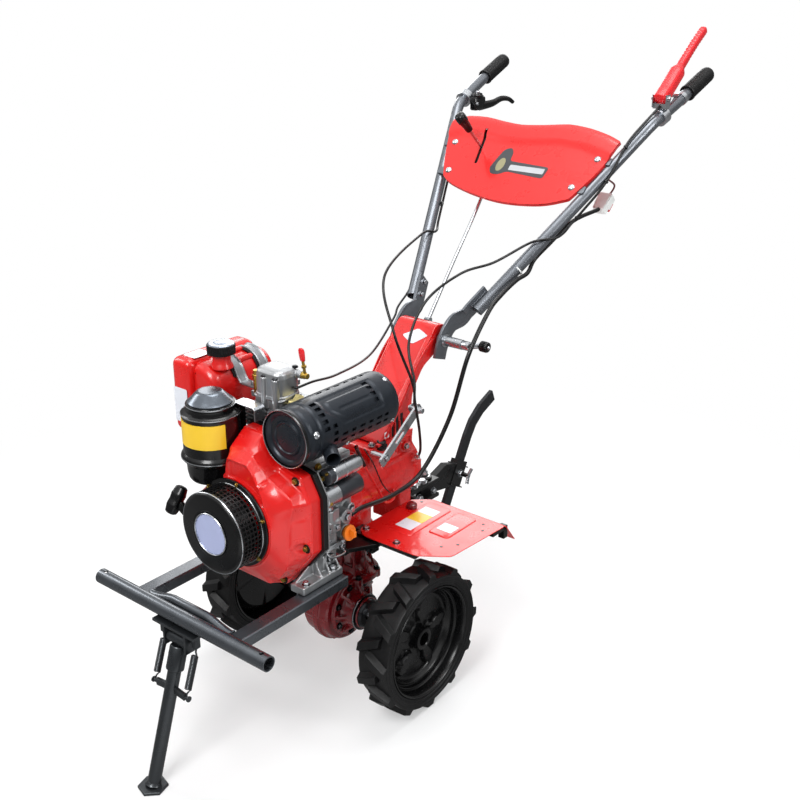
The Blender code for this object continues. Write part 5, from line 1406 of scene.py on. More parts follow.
# Painted highlight: thin zinc strips on the black beads stand in for the bright lines of light along them.
made("cleaner_bead_highlights", [
    turned([
        (a - 0.0013, r - 0.0008), (a - 0.001, r + 0.0005), (a + 0.001, r + 0.0005), (a + 0.0013, r - 0.0008)
    ], CLEANER, (0, 0, 1), 96, closed=True)
    for a, r in ((0.0518, 0.0648), (0.1438, 0.06), (0.1618, 0.0496))
], zinc, slot="black_paint")
# Spun lid: dark pewter grey.
made(
    "cleaner_lid",
    turned([
        (0.1648, 0.0), (0.1648, 0.0442), (0.166, 0.0456), (0.1675, 0.0454), (0.169, 0.0436),
        (0.1715, 0.041), (0.184, 0.0292), (0.1858, 0.0272), (0.187, 0.025), (0.1876, 0.0225),
        (0.1878, 0.02), (0.1878, 0.0)
    ], CLEANER, (0, 0, 1), 96),
    finish(
        "spun pewter-grey lid", "6A7078", 0.27, metallic=0.9, grain=0.0012, spread=0.08,
        tint=0.12
    )
)
# Bare label place: yellow film wrapped two thirds of the way round the visible side.
yellow_film = finish("blank yellow film", "E9BE22", 0.36, grain=0.004, relief=0.00001, coat=0.2)
label_section = ((0.0586, 0.083), (0.0597, 0.083), (0.0597, 0.134), (0.0586, 0.134))
label = []
for k in range(47):
    a = math.radians(214 + k * 2.85)
    label.append([CLEANER + Vector((r * math.cos(a), r * math.sin(a), z)) for r, z in label_section])
made("cleaner_blank_label", lofted(label), yellow_film, slot="black_paint")
elbow_line = smooth_route([
    (-0.084, -0.216, 0.643), (-0.098, -0.19, 0.65), (-0.093, -0.16, 0.655), (-0.084, -0.15, 0.656),
    (-0.0706, -0.15, 0.656)
], 0.004)
made("intake_elbow", [
    swept(elbow_line, circle(0.0135, 32), (0, 0, 1)),
    turned([(0, 0), (0, 0.0165), (0.01, 0.0165), (0.01, 0)], (-0.0965, -0.2, 0.6475), (0.15, 0.95, 0.1), 32),
    extruded([(-0.08, 0.64), (-0.0712, 0.636), (-0.0712, 0.676), (-0.08, 0.672)], -0.172, -0.128),
    block((-0.096, -0.214, 0.618), (-0.056, -0.196, 0.698)),
], black_enamel, edge=0.001)
made("elbow_clamp", [
    turned(
        [(0, 0.0163), (0, 0.0172), (0.007, 0.0172), (0.007, 0.0163)], (-0.0962, -0.1975, 0.6478),
        (0.15, 0.95, 0.1), 40, closed=True
    ),
    bolt((-0.076, -0.155, 0.6755), (0, 0, 1), 0.009, 0.005),
    bolt((-0.065, -0.2165, 0.654), (0, -1, 0), 0.01, 0.004, 0.008),
], zinc)

# ---------------------------------------------------------------- muffler
# Round steel silencer inside a black heat shield: the shield has rows of square slots near both ends and
# along its sides, a raised plain panel, and domed screws; the front cap has two rings and a rolled rim.

MUFFLER = Vector((0.094, -0.235, 0.672))
# High-temperature paint: charcoal rather than black, satin, with a blue-grey sheen.
heat_paint = finish(
    "high-temperature charcoal paint", "252A31", 0.31, metallic=0.45, spread=0.06, tint=0.15,
    shine=0.45
)
ROUND, SHELL = 180, 0.06
ALONG = [
    0.0, 0.002, 0.006, 0.01, 0.014, 0.018
] + [0.022 + i * 0.004 for i in range(61)] + [0.2655, 0.269, 0.2725, 0.276, 0.279]
GROOVES = (0.012, 0.038, 0.269)


def slotted(a, turn):
    """Whether the shield is pierced here; turn is the angle from straight up towards the machine's left."""
    degrees = (math.degrees(turn) + 180) % 360 - 180
    for low, high, first, last in ((0.05, 0.066, 14, 80), (0.074, 0.086, 70, 110), (0.202, 0.218, 14, 66)):
        if low <= a < high and first <= degrees <= last and (degrees + 27) % 14 < 8:
            return True
    for first in (-12, 94, 108, 136, 148):
        if first <= degrees < first + 6 and 0.098 <= a < 0.24 and (a - 0.098) % 0.026 < 0.016:
            return True
    return False


def shell_radius(a, turn):
    """The shield's radius: grooves round both ends, and a raised panel on its upper outer side."""
    degrees = (math.degrees(turn) + 180) % 360 - 180
    r = SHELL - 0.001 * step(0.0385, 0.0365, a)
    for groove in GROOVES:
        r -= 0.0018 * step(0.004, 0.001, abs(a - groove))
    r -= 0.013 * step(0.268, 0.279, a) ** 2
    slant = 0.001 * max(0.0, degrees - 44)
    panel = step(
        0.07, 0.075, a - slant
    ) * step(0.228, 0.223, a) * step(10, 14, degrees) * step(80, 76, degrees)
    inner = step(
        0.084, 0.089, a - slant
    ) * step(0.214, 0.209, a) * step(22, 26, degrees) * step(72, 68, degrees)
    bar = step(0.108, 0.111, a) * step(0.2, 0.197, a) * step(44, 46, degrees) * step(52, 50, degrees)
    return r - 0.002 * panel + 0.0018 * inner - 0.0014 * bar


skins = []
for depth in (0.0, 0.0014):
    rings = []
    for a in ALONG:
        ring = []
        for i in range(ROUND):
            turn = math.radians(i * 2)
            r = shell_radius(a, turn) - depth
            ring.append(MUFFLER + Vector((r * math.sin(turn), a, r * math.cos(turn))))
        rings.append(ring)
    skins.append(rings)
slots = set()
for j, (a, b) in enumerate(zip(ALONG, ALONG[1:])):
    slots |= {(j, i) for i in range(ROUND) if slotted((a + b) / 2, math.radians(i * 2 + 1))}
made("slotted_heat_shield", pierced(skins, slots, rims=True), heat_paint, ["muffler"])
made("silencer_can", [
    turned([
        (0.004, 0), (0.004, 0.026), (0.0045, 0.029), (0.002, 0.031), (0.002, 0.0335), (0.006, 0.036),
        (0.0065, 0.0455), (0.003, 0.048), (0.0005, 0.053), (0.0005, 0.0545), (0.002, 0.056), (0.012, 0.056),
        (0.014, 0.0535), (0.266, 0.0535), (0.272, 0.048), (0.2795, 0.045), (0.2795, 0)
    ], MUFFLER, (0, 1, 0), 96),
    block((0.0288, -0.13, 0.641), (0.06, -0.095, 0.684)),
], heat_paint, edge=0.0005)
made("rolled_cap_rim", turned([
    (-0.0022, 0.0556), (-0.003, 0.0575), (-0.003, 0.0588), (-0.0015, 0.0602), (0.0015, 0.0604),
    (0.003, 0.0601), (0.003, 0.0575), (0.0, 0.0556)
], MUFFLER, (0, 1, 0), 128, closed=True), satin_black)
# Painted highlight: a thin zinc ring on the black rolled rim stands in for the bright line of light along it.
made("cap_rim_highlight", turned([
    (-0.0031, 0.0574), (-0.0035, 0.058), (-0.0031, 0.0588), (-0.0026, 0.0588), (-0.0026, 0.0574)
], MUFFLER, (0, 1, 0), 128, closed=True), zinc, slot="black_paint")
pipe_start, pipe_end = Vector((0.124, -0.15, 0.642)), Vector((0.172, -0.186, 0.634))
run = (pipe_end - pipe_start).normalized()
pipe_length = (pipe_end - pipe_start).length
made("exhaust_outlet", [
    turned([
        (0, 0.0135), (0, 0.0155), (pipe_length - 0.001, 0.0155), (pipe_length, 0.015), (pipe_length, 0.014),
        (pipe_length - 0.001, 0.0135)
    ], pipe_start, run, 48, closed=True),
    turned([(0, 0), (0, 0.0134), (0.004, 0.0134), (0.004, 0)], pipe_start + run * 0.01, run, 32),
    turned([
        (0.01, 0.015), (0.01, 0.0185), (0.013, 0.0185), (0.015, 0.016), (0.015, 0.015)
    ], pipe_start, run, 48, closed=True),
], heat_paint)


def dome_screw(at, direction, radius=0.0048):
    """A cross-head screw's dome."""
    return turned([
        (-0.001, 0), (-0.001, radius), (0.0006, radius), (0.0018, radius * 0.88), (0.0028, radius * 0.62),
        (0.0033, radius * 0.36), (0.0026, radius * 0.3), (0.0026, 0)
    ], at, direction, 24)


screws = []
for a, degrees, size in (
    (0.027, 76, 0.0074), (0.128, 132, 0.0056), (0.262, 124, 0.006), (0.262, 30, 0.0056),
    (0.027, 170, 0.0056), (0.258, 176, 0.0056)
):
    out = Vector((math.sin(math.radians(degrees)), 0, math.cos(math.radians(degrees))))
    screws.append(dome_screw(MUFFLER + Vector((0, a, 0)) + out * 0.0592, out, size))
made("shield_dome_screws", screws, zinc)

# ---------------------------------------------------------------- starter motor
# Electric starter on the engine's left: the switch above, bright zinc with a dark moulded end, and the motor
# below it, a dark tube between bright cast ends; copper stud, cable shoe and two through bolts.

motor_bright = [
    turned([
        (0, 0), (0, 0.0165), (0.0015, 0.018), (0.03, 0.018), (0.0305, 0.0174), (0.0315, 0.0174),
        (0.032, 0.018), (0.068, 0.018), (0.078, 0.0165), (0.078, 0)
    ], (0.138, -0.158, 0.581), (0, 1, 0), 48),
    turned([
        (-0.003, 0), (-0.003, 0.0205), (-0.001, 0.023), (0.036, 0.023), (0.0375, 0.0218), (0.0375, 0)
    ], (0.134, -0.1815, 0.535), (0, 1, 0), 48),
    block((0.1085, -0.182, 0.518), (0.138, -0.171, 0.56)),
]
made("starter_bright_bodies", motor_bright, zinc, ["starter_motor"], slot="cast_aluminium")
made("starter_dark_bodies", [
    turned([
        (0, 0), (0, 0.014), (0.002, 0.0168), (0.0155, 0.0172), (0.0165, 0.016), (0.0165, 0)
    ], (0.138, -0.174, 0.581), (0, 1, 0), 40),
    turned([
        (0.034, 0), (0.034, 0.0222), (0.102, 0.0222), (0.1045, 0.0205), (0.106, 0.015), (0.106, 0)
    ], (0.134, -0.1815, 0.535), (0, 1, 0), 48),
    block((0.1085, -0.164, 0.524), (0.134, -0.094, 0.58)),
], finish(
    "dark zinc casting", "4C4F54", 0.38, metallic=0.8, grain=0.0015, relief=0.00008,
    spread=0.08, tint=0.15, dark=0.5
), edge=0.002)
studs = [
    bolt((0.1545, -0.177, 0.53), (1, 0, 0), 0.007, 0.003),
    bolt((0.144, -0.1745, 0.5905), (0, -1, 0), 0.006, 0.004),
    bolt((0.131, -0.1745, 0.576), (0, -1, 0), 0.008, 0.006, 0.0055)
]
for x, z in ((0.117, 0.548), (0.1485, 0.5215)):
    studs.append(rod((x, -0.142, z), (x, -0.079, z), 0.0018, 12))
studs.append(bolt((0.1175, -0.172, 0.598), (1, 0, 0), 0.01, 0.005, 0.0075))
made("starter_studs", studs, yellow_zinc)

# ---------------------------------------------------------------- gearbox
# Cast-iron gearbox behind the engine: clutch bell, a round barrel closed by a flanged cover, and a pocketed
# saddle that carries the column. Sand cast, machined on its flanges, sprayed red with the rest of the frame.

BARREL_Z = 0.44
gearbox_shapes = [
    turned([
        (-0.0517, 0), (-0.0517, 0.094), (-0.05, 0.0975), (-0.044, 0.0978), (-0.042, 0.094), (-0.03, 0.0925),
        (-0.02, 0.086), (-0.015, 0.0775), (0.024, 0.077), (0.027, 0.07), (0.215, 0.0695), (0.219, 0.0745),
        (0.233, 0.0745), (0.2345, 0.066), (0.2378, 0.0655), (0.238, 0)
    ], (0, -0.018, BARREL_Z), (0, 1, 0), 96),
    block((-0.044, 0.064, BARREL_Z), (0.044, 0.213, 0.518)),
    block((-0.05, 0.061, 0.516), (0.05, 0.214, 0.53)),
    block((-0.0415, 0.176, 0.301), (0.0415, 0.219, 0.42)),
    turned([
        (0, 0), (0, 0.056), (0.01, 0.056), (0.014, 0.05), (0.08, 0.05), (0.08, 0)
    ], (0, 0.046, 0.3306), (0, 0, 1), 72),
]
for side in (LEFT, RIGHT):
    for y, low in ((0.064, 0.455), (0.118, 0.478), (0.156, 0.478), (0.206, 0.455)):
        gearbox_shapes.append(block((side * 0.04, y, low), (side * 0.05, y + 0.007, 0.52)))
    gearbox_shapes.append(block((side * 0.04, 0.098, 0.478), (side * 0.062, 0.213, 0.485)))
    gearbox_shapes.append(rod((side * 0.04, 0.185, 0.498), (side * 0.053, 0.185, 0.498), 0.0095))
    for turn in (30, 75, 120, 165):
        a = math.radians(turn)
        gearbox_shapes.append(rod(
            (side * 0.07 * math.sin(a), 0.19, BARREL_Z + 0.07 * math.cos(a)),
            (side * 0.07 * math.sin(a), 0.214, BARREL_Z + 0.07 * math.cos(a)), 0.0075, 20
        ))
# Red enamel over the casting: the same paint as the sheet parts, on a ground with a faint sand grain.
red_iron = finish(
    "red enamel on cast iron", "D01512", 0.27, relief=0.0001, spread=0.06, tint=0.08,
    coat=0.5, dark=0.35
)
made("gearbox_casting", gearbox_shapes, red_iron, ["gearbox"], cast=0.0022)

fasteners = [bolt((side * 0.053, 0.185, 0.498), (side, 0, 0), 0.01, 0.005, 0.0075) for side in (LEFT, RIGHT)]
for side in (LEFT, RIGHT):
    for turn in (30, 75, 120, 165):
        a = math.radians(turn)
        fasteners.append(bolt((
            side * 0.07 * math.sin(a), 0.2144, BARREL_Z + 0.07 * math.cos(a)
        ), (0, 1, 0), 0.008, 0.004))
    for y in (0.078, 0.2):
        fasteners.append(bolt((side * 0.042, y, 0.5345), (0, 0, 1), 0.009, 0.005, 0.008))
# Barrel adjuster and lock nuts at the foot of the clutch cable, with its return rod below.
cable_foot, cable_rise = Vector((0.0642, 0.209, 0.4619)), Vector((0.0258, -0.019, 0.0351)).normalized()
fasteners += [
    bolt(cable_foot + cable_rise * 0.004, cable_rise, 0.012, 0.006, 0.0085),
    turned([
        (0, 0), (0, 0.0048), (0.016, 0.0048), (0.018, 0.004), (0.018, 0)
    ], cable_foot + cable_rise * 0.008, cable_rise, 20),
    bolt((0.06, 0.218, 0.424), (1, 0.3, 0), 0.012, 0.008, 0.008),
    rod((0.068, 0.22, 0.425), (0.069, 0.217, 0.458), 0.002, 12),
]
made("gearbox_fasteners", fasteners, zinc)
black_bits = [
    turned([
        (-0.004, 0), (-0.004, 0.013), (0.002, 0.013), (0.002, 0.011), (0.0105, 0.0108), (0.012, 0.0095),
        (0.012, 0)
    ], (0.048, 0.102, 0.529), (0.35, -0.1, 1), 6),
    turned([
        (-0.006, 0), (-0.006, 0.015), (0.0015, 0.015), (0.0015, 0)
    ], (0.048, 0.102, 0.529), (0.35, -0.1, 1), 24),
]
# Fender arms and the black bracket that ties them to the engine's foot round the gearcase's neck.
plate_line = [(0.05, -0.062), (0.094, -0.062), (0.128, -0.006), (0.128, 0.034), (0.05, 0.034)]
arm_line = [(0.062, -0.004), (0.228, -0.002), (0.228, 0.011), (0.062, 0.011)]
for side in (LEFT, RIGHT):
    black_bits += [
        extruded([(side * x, y) for x, y in plate_line], 0.346, 0.356, "XY"),
        extruded([(side * x, y) for x, y in arm_line], 0.352, 0.3614, "XY"),
        block((side * 0.05, 0.01, 0.356), (side * 0.225, 0.034, 0.3616)),
        block((side * 0.05, -0.058, 0.332), (side * 0.08, 0.03, 0.347)),
        block((side * 0.094, -0.006, 0.326), (side * 0.114, 0.016, 0.347)),
    ]
made("black_brackets", black_bits, black_plate, edge=0.001)
made("bracket_bolts", [
    bolt((side * 0.104, -0.0062, 0.336), (0, -1, 0), 0.012, 0.006, 0.0085) for side in (LEFT, RIGHT)
], black_zinc, slot="black_paint")

bell_plate = []
for k in range(13):
    a = math.radians(32 + k * 3.4)
    bell_plate.append([
        (r * math.sin(a), y, BARREL_Z + r * math.cos(a))
        for y, r in ((-0.03, 0.0768), (-0.03, 0.0778), (0.004, 0.0778), (0.004, 0.0768))
    ])
made("bell_blank_plate", lofted(bell_plate), pale_film, slot="red_casting")

# Guard loop beside the gearbox: a bent rod painted red, with a black sleeve on its upper end and a thin
# dark return rod inside it.
guard = smooth_route([
    (0.096, -0.034, 0.586), (0.093, -0.026, 0.572), (0.091, -0.005, 0.533), (0.091, 0.03, 0.475),
    (0.091, 0.058, 0.428), (0.09, 0.068, 0.415), (0.087, 0.085, 0.408), (0.08, 0.108, 0.406),
    (0.07, 0.12, 0.413), (0.06, 0.124, 0.42)
], 0.003)
made("guard_loop", swept(guard, circle(0.003, 16), (0.3, 1, 0)), red_enamel)
sleeve_line = smooth_route([(0.096, -0.034, 0.586), (0.093, -0.026, 0.572), (0.091, -0.003, 0.53)], 0.003)
thin_line = smooth_route([
    (0.08, 0.01, 0.56), (0.081, 0.018, 0.548), (0.083, 0.037, 0.515), (0.084, 0.066, 0.456),
    (0.083, 0.098, 0.421), (0.074, 0.118, 0.413)
], 0.003)
made("guard_sleeve_and_rod", [
    swept(sleeve_line, circle(0.0042, 16), (0.3, 1, 0)), swept(thin_line, circle(0.0015, 10), (0.3, 1, 0))
], black_nylon)

# ---------------------------------------------------------------- column
# Handlebar column: two pressed steel halves welded along their edges, long ribs down the front, bolted on
# the gearbox's saddle. Baked red; a bare diamond label near its top.

column_side = filleted([
    (0.085, 0.5306), (0.15, 0.596), (0.292, 0.76), (0.33, 0.752), (0.314, 0.703), (0.246, 0.672),
    (0.208, 0.622), (0.2, 0.5306)
], 0.016, 7)
made("column_shell", extruded(column_side, -0.0535, 0.0535, "YZ"), red_enamel, ["column"], edge=0.005)
front_line = Vector((0, 0.142, 0.164)).normalized()
front_out = Vector((0, -front_line.z, front_line.y))
front_foot = Vector((0, 0.15, 0.596))


def on_front(across, along, out=0.0):
    """A point on the column's sloping front."""
    return front_foot + Vector((across, 0, 0)) + front_line * along + front_out * out


ribs = []
for side in (LEFT, RIGHT):
    ribs.append(swept([
        on_front(side * 0.046, s, -0.0004) for s in (-0.06, -0.052, 0.09, 0.17, 0.178)
    ], circle(0.0045, 20, 0.0022), (1, 0, 0)))
    side_line = smooth_route([
        (side * 0.0537, 0.112, 0.545), (side * 0.0537, 0.166, 0.606), (side * 0.0537, 0.232, 0.69),
        (side * 0.0537, 0.28, 0.728)
    ], 0.004)
    ribs.append(swept(side_line, circle(0.0018, 20, 0.005), (1, 0, 0)))
    ribs.append(block((side * 0.048, 0.083, 0.5308), (side * 0.0565, 0.205, 0.5368)))
    for y in (0.126, 0.142, 0.158, 0.174):
        ribs.append(block((side * 0.05, y, 0.532), (side * 0.0565, y + 0.004, 0.57)))
made("column_ribs", ribs, red_enamel, edge=0.0012)
# Painted shade: thin black plates on the column's sides stand in for its slots, dark where they would be
# open.
slots = []
for side in (LEFT, RIGHT):
    for y in (0.1315, 0.1475, 0.1635):
        slots.append(block((side * 0.053, y, 0.538), (side * 0.0538, y + 0.009, 0.585)))
made("column_slot_shade", slots, black_plate)
diamond = filleted([(-0.022, 0.174), (0.014, 0.198), (0.046, 0.186), (0.014, 0.158)], 0.006, 5)
labels = [
    lofted([[on_front(x, s, out) for x, s in diamond] for out in (0.0001, 0.0007)]),
    extruded(rounded_outline(0.108, 0.542, 0.124, 0.557, 0.002), 0.0537, 0.0541, "YZ"),
]
made("column_blank_labels", labels, pale_film)

# ---------------------------------------------------------------- gear lever
# Selector lever on the gearbox's left: a slotted flat bar, laser cut and zinc plated, on a pivot pin at its
# foot, with the rod's stud and nuts at its head.

lever_low, lever_high = Vector((0.088, 0.055, 0.51)), Vector((0.088, 0.19, 0.606))
lever_run = (lever_high - lever_low).normalized()
lever_up = Vector((0, -lever_run.z, lever_run.y))


def windowed(outer, inner, place, low, high):
    """A flat plate with a window: both outlines have the same number of points."""
    rings = [
        [place(a, b, level) for a, b in outline]
        for outline, level in ((outer, low), (outer, high), (inner, high), (inner, low))
    ]
    return lofted(rings, caps=False, closed=True)


bar_length = (lever_high - lever_low).length
bar = windowed(
    filleted([(-0.002, -0.011), (bar_length, -0.011), (bar_length, 0.011), (-0.002, 0.011)], 0.009, 6),
    filleted([(0.058, -0.0042), (0.094, -0.0042), (0.094, 0.0042), (0.058, 0.0042)], 0.004, 6),
    lambda along, across, out: lever_low + lever_run * along + lever_up * across + Vector((out, 0, 0)),
    -0.0025, 0.0025,
)
lever_bits = [
    bar,
    rod((0.0503, 0.07, 0.5205), (0.088, 0.07, 0.5205), 0.0068),
    bolt((0.0905, 0.07, 0.5205), (1, 0, 0), 0.011, 0.005, 0.0085),
    rod((0.066, 0.18, 0.5985), (0.104, 0.18, 0.5985), 0.006),
    turned([
        (0, 0), (0, 0.0095), (0.003, 0.0095), (0.003, 0.0078), (0.009, 0.0078), (0.009, 0)
    ], (0.0905, 0.18, 0.5985), (1, 0, 0), 6),
    turned([(0, 0), (0, 0.0105), (0.002, 0.0105), (0.002, 0)], (0.0725, 0.18, 0.5985), (1, 0, 0), 24),
    bolt((0.0725, 0.18, 0.5985), (-1, 0, 0), 0.012, 0.006),
]
made("gear_lever_bar", lever_bits, zinc, ["gear_lever"], edge=0.0004)

# ---------------------------------------------------------------- hitch and drag bar
# Towing hitch: welded black plates round a pivot pin, and a box sleeve in which the flat drag bar slides,
# held by a wing screw. The bar is drilled along its length and bent back at its top; its holes are drawn as
# black discs of painted shade.

dressed("hitch", black_plate, 0.0015)
dressed("drag_bar", finish(
    "dark grey paint on flat bar", "26282B", 0.36, metallic=0.5, spread=0.08, tint=0.15
), 0.0012)
slide_tilt = math.radians(28.2)
slide = Vector((0, math.sin(slide_tilt), math.cos(slide_tilt)))
lean_back = Vector((0, math.cos(slide_tilt), -math.sin(slide_tilt)))
sleeve_middle = Vector((0, 0.452, 0.318))
half_x, half_y = 0.0058, 0.0168
collar = oblong(half_x + 0.0095, half_y + 0.0095)
collar_hole = oblong(half_x + 0.001, half_y + 0.001)
hitch_black = [
    swept([
        sleeve_middle + slide * a, sleeve_middle + slide * (a + 0.003)
    ], collar, (1, 0, 0), bore=collar_hole)
    for a in (0.018, -0.0348)
]
hitch_black += [
    turned([
        (0, 0), (0, 0.021), (0.005, 0.021), (0.006, 0.019), (0.006, 0)
    ], (0, 0.318, 0.352), (0, 0, 1), 32),
    block((0.018, 0.235, 0.352), (0.03, 0.3, 0.36)),
    block((-0.03, 0.235, 0.352), (-0.018, 0.3, 0.36)),
]
made("hitch_collars", hitch_black, black_plate, edge=0.0008)
screw_at = sleeve_middle + lean_back * 0.002
hitch_bright = [
    turned([(0, 0), (0, 0.0165), (0.002, 0.0165), (0.002, 0)], (0, 0.318, 0.358), (0, 0, 1), 32),
    bolt((0, 0.318, 0.36), (0, 0, 1), 0.019, 0.012),
    *[
        bolt((side * 0.024, y, 0.36), (0, 0, 1), 0.014, 0.007, 0.01)
        for side in (LEFT, RIGHT) for y in (0.25, 0.284)
    ],
    bolt((0.03, 0.262, 0.327), (1, 0, 0), 0.016, 0.008, 0.011),
    bolt((0.03, 0.318, 0.327), (1, 0, 0), 0.012, 0.006, 0.009),
    bolt((0.0465, 0.2262, 0.327), (1, 0, 0), 0.012, 0.006, 0.0085),
    bolt((0.0115, screw_at.y, screw_at.z), (1, 0, 0), 0.016, 0.006, 0.01),
    rod((0.012, screw_at.y, screw_at.z), (0.0385, screw_at.y, screw_at.z), 0.005),
    swept([
        Vector((0.037, *(screw_at + slide * a).yz)) + Vector((abs(a) * 0.2, 0, 0))
        for a in (-0.02, -0.012, -0.004, 0.004, 0.012, 0.02)
    ], circle(0.0035, 16, 0.006), (1, 0, 0)),
]
made("hitch_bolts", hitch_bright, zinc)
# Painted shade: a black disc on each face of the bar stands in for each hole.
drilled = []
for k in range(9):
    middle = sleeve_middle + slide * (-0.155 + k * 0.03)
    for side in (LEFT, RIGHT):
        drilled.append(rod(
            middle + Vector((side * 0.0042, 0, 0)), middle + Vector((side * 0.00525, 0, 0)), 0.0038, 20
        ))
made("drag_bar_hole_shade", drilled, black_plate, body="drag_bar_body")

# ---------------------------------------------------------------- fenders
# Mudguards: folded sheet steel with a turned-down rear flap and two pressed panels, baked red, with bare
# labels, black discs of painted shade where its holes are, cap screws in the front corners and a black stay
# under the flap.

for name, side in SIDES:
    edge_line = filleted([
        (side * x, y)
        for x, y in [
            (0.062, 0.012), (0.09, -0.008), (0.232, -0.004), (0.292, 0.04), (0.304, 0.222), (0.1, 0.222),
            (0.062, 0.19)
        ]
    ], 0.01, 5)
    flap_low, flap_high = sorted((side * 0.102, side * 0.3035))
    shapes = [
        extruded(edge_line, 0.3622, 0.364, "XY"),
        extruded([
            (0.2205, 0.3622), (0.225, 0.3606), (0.2625, 0.3128), (0.2642, 0.3136), (0.2266, 0.3618),
            (0.2225, 0.364)
        ], flap_low, flap_high, "YZ"),
    ]
    for low_x, low_y, high_x, high_y in ((0.104, 0.052, 0.172, 0.206), (0.186, 0.092, 0.242, 0.206)):
        xs = sorted((side * low_x, side * high_x))
        shapes.append(stacked(xs[0], low_y, xs[1], high_y, 0.01, [
            (0.3632, 0), (0.3642, 0.0004), (0.3652, 0.0022), (0.3655, 0.004)
        ]))
    made(f"fender_sheet_{name}", shapes, red_enamel, [f"fender_{name}"], edge=0.0006)
    films = []
    for low_x, low_y, high_x, high_y in (
        (0.113, 0.072, 0.156, 0.112), (0.194, 0.116, 0.232, 0.148), (0.113, 0.152, 0.156, 0.182)
    ):
        xs = sorted((side * low_x, side * high_x))
        films.append(extruded(rounded_outline(xs[0], low_y, xs[1], high_y, 0.0015), 0.3654, 0.3658, "XY"))
    made(f"fender_blank_labels_{name}", films, pale_film)
    xs = sorted((side * 0.113, side * 0.156))
    made(f"fender_yellow_label_{name}", extruded(rounded_outline(
        xs[0], 0.112, xs[1], 0.152, 0.0004
    ), 0.3654, 0.3658, "XY"), yellow_film)
    # Painted shade: black discs on the sheet stand in for its holes; the two blocks are the black stay under
    # the flap.
    hole_shade_and_stay = [
        rod((side * x, y, 0.3618), (side * x, y, 0.3643), 0.0036, 20)
        for x, y in ((0.09, 0.197), (0.262, 0.197), (0.278, 0.173), (0.272, 0.089), (0.25, 0.06))
    ]
    xs = sorted((side * 0.286, side * 0.301))
    hole_shade_and_stay += [
        block((xs[0], 0.18, 0.352), (xs[1], 0.232, 0.3615)),
        block((xs[0], 0.222, 0.33), (xs[1], 0.236, 0.36))
    ]
    made(f"fender_hole_shade_and_stay_{name}", hole_shade_and_stay, black_plate, edge=0.0004)
    made(f"fender_screws_{name}", [
        bolt((side * x, y, 0.3642), (0, 0, 1), 0.011, 0.005, 0.0085)
        for x, y in ((0.074, 0.02), (0.166, 0.012))
    ], zinc)
    made(f"fender_knob_{name}", turned([
        (0, 0), (0, 0.012), (0.004, 0.013), (0.01, 0.012), (0.014, 0.008), (0.015, 0)
    ], (side * 0.09, 0.16, 0.364), (0, 0, 1), 8), dark_red_iron, edge=0.0008)

# ---------------------------------------------------------------- handlebar
# Two bent steel tubes, each riveted and welded to a curved clamp plate at its foot, finished in grey
# metallic; the plates turn on one long bolt through the column, drawn tight by a crank with a black knob.

TILT_Y, TILT_Z = 0.305, 0.722
TUBE_START, TUBE_END = Vector((0.094, 0.392, 0.775)), Vector((0.265, 0.784, 1.133))
GRIP_START, GRIP_END = Vector((0.2945, 0.955, 1.2215)), Vector((0.299, 1.051, 1.26))
tube_line = (TUBE_END - TUBE_START).normalized()
grip_line = (GRIP_END - GRIP_START).normalized()
inner_side = (tube_line * tube_line.x - Vector((1, 0, 0))).normalized()
run = Vector((0, tube_line.y, tube_line.z)).normalized()
run_up = Vector((0, -run.z, run.y))


def mirror(point, side):
    """A point of the machine's left, or its twin on the right."""
    point = Vector(point)
    return Vector((point.x * side, point.y, point.z))


def beside_tube(side, distance, inward, above):
    """A point at a distance up the straight tube, off its middle towards the machine's middle and above."""
    return mirror(TUBE_START + tube_line * distance + inner_side * inward + run_up * above, side)


def over_tubes(across, along, height, foot=Vector((0, TUBE_START.y, TUBE_START.z))):
    """A point across the machine, along the tubes' slope and above the plane of their middles, or above
    another place."""
    return foot + Vector((across, 0, 0)) + run * along + run_up * height


def laid(outline, low, high, *foot):
    """A plate that lies along the tubes' slope, between two heights."""
    return lofted([[over_tubes(a, b, height, *foot) for a, b in outline] for height in (low, high)])


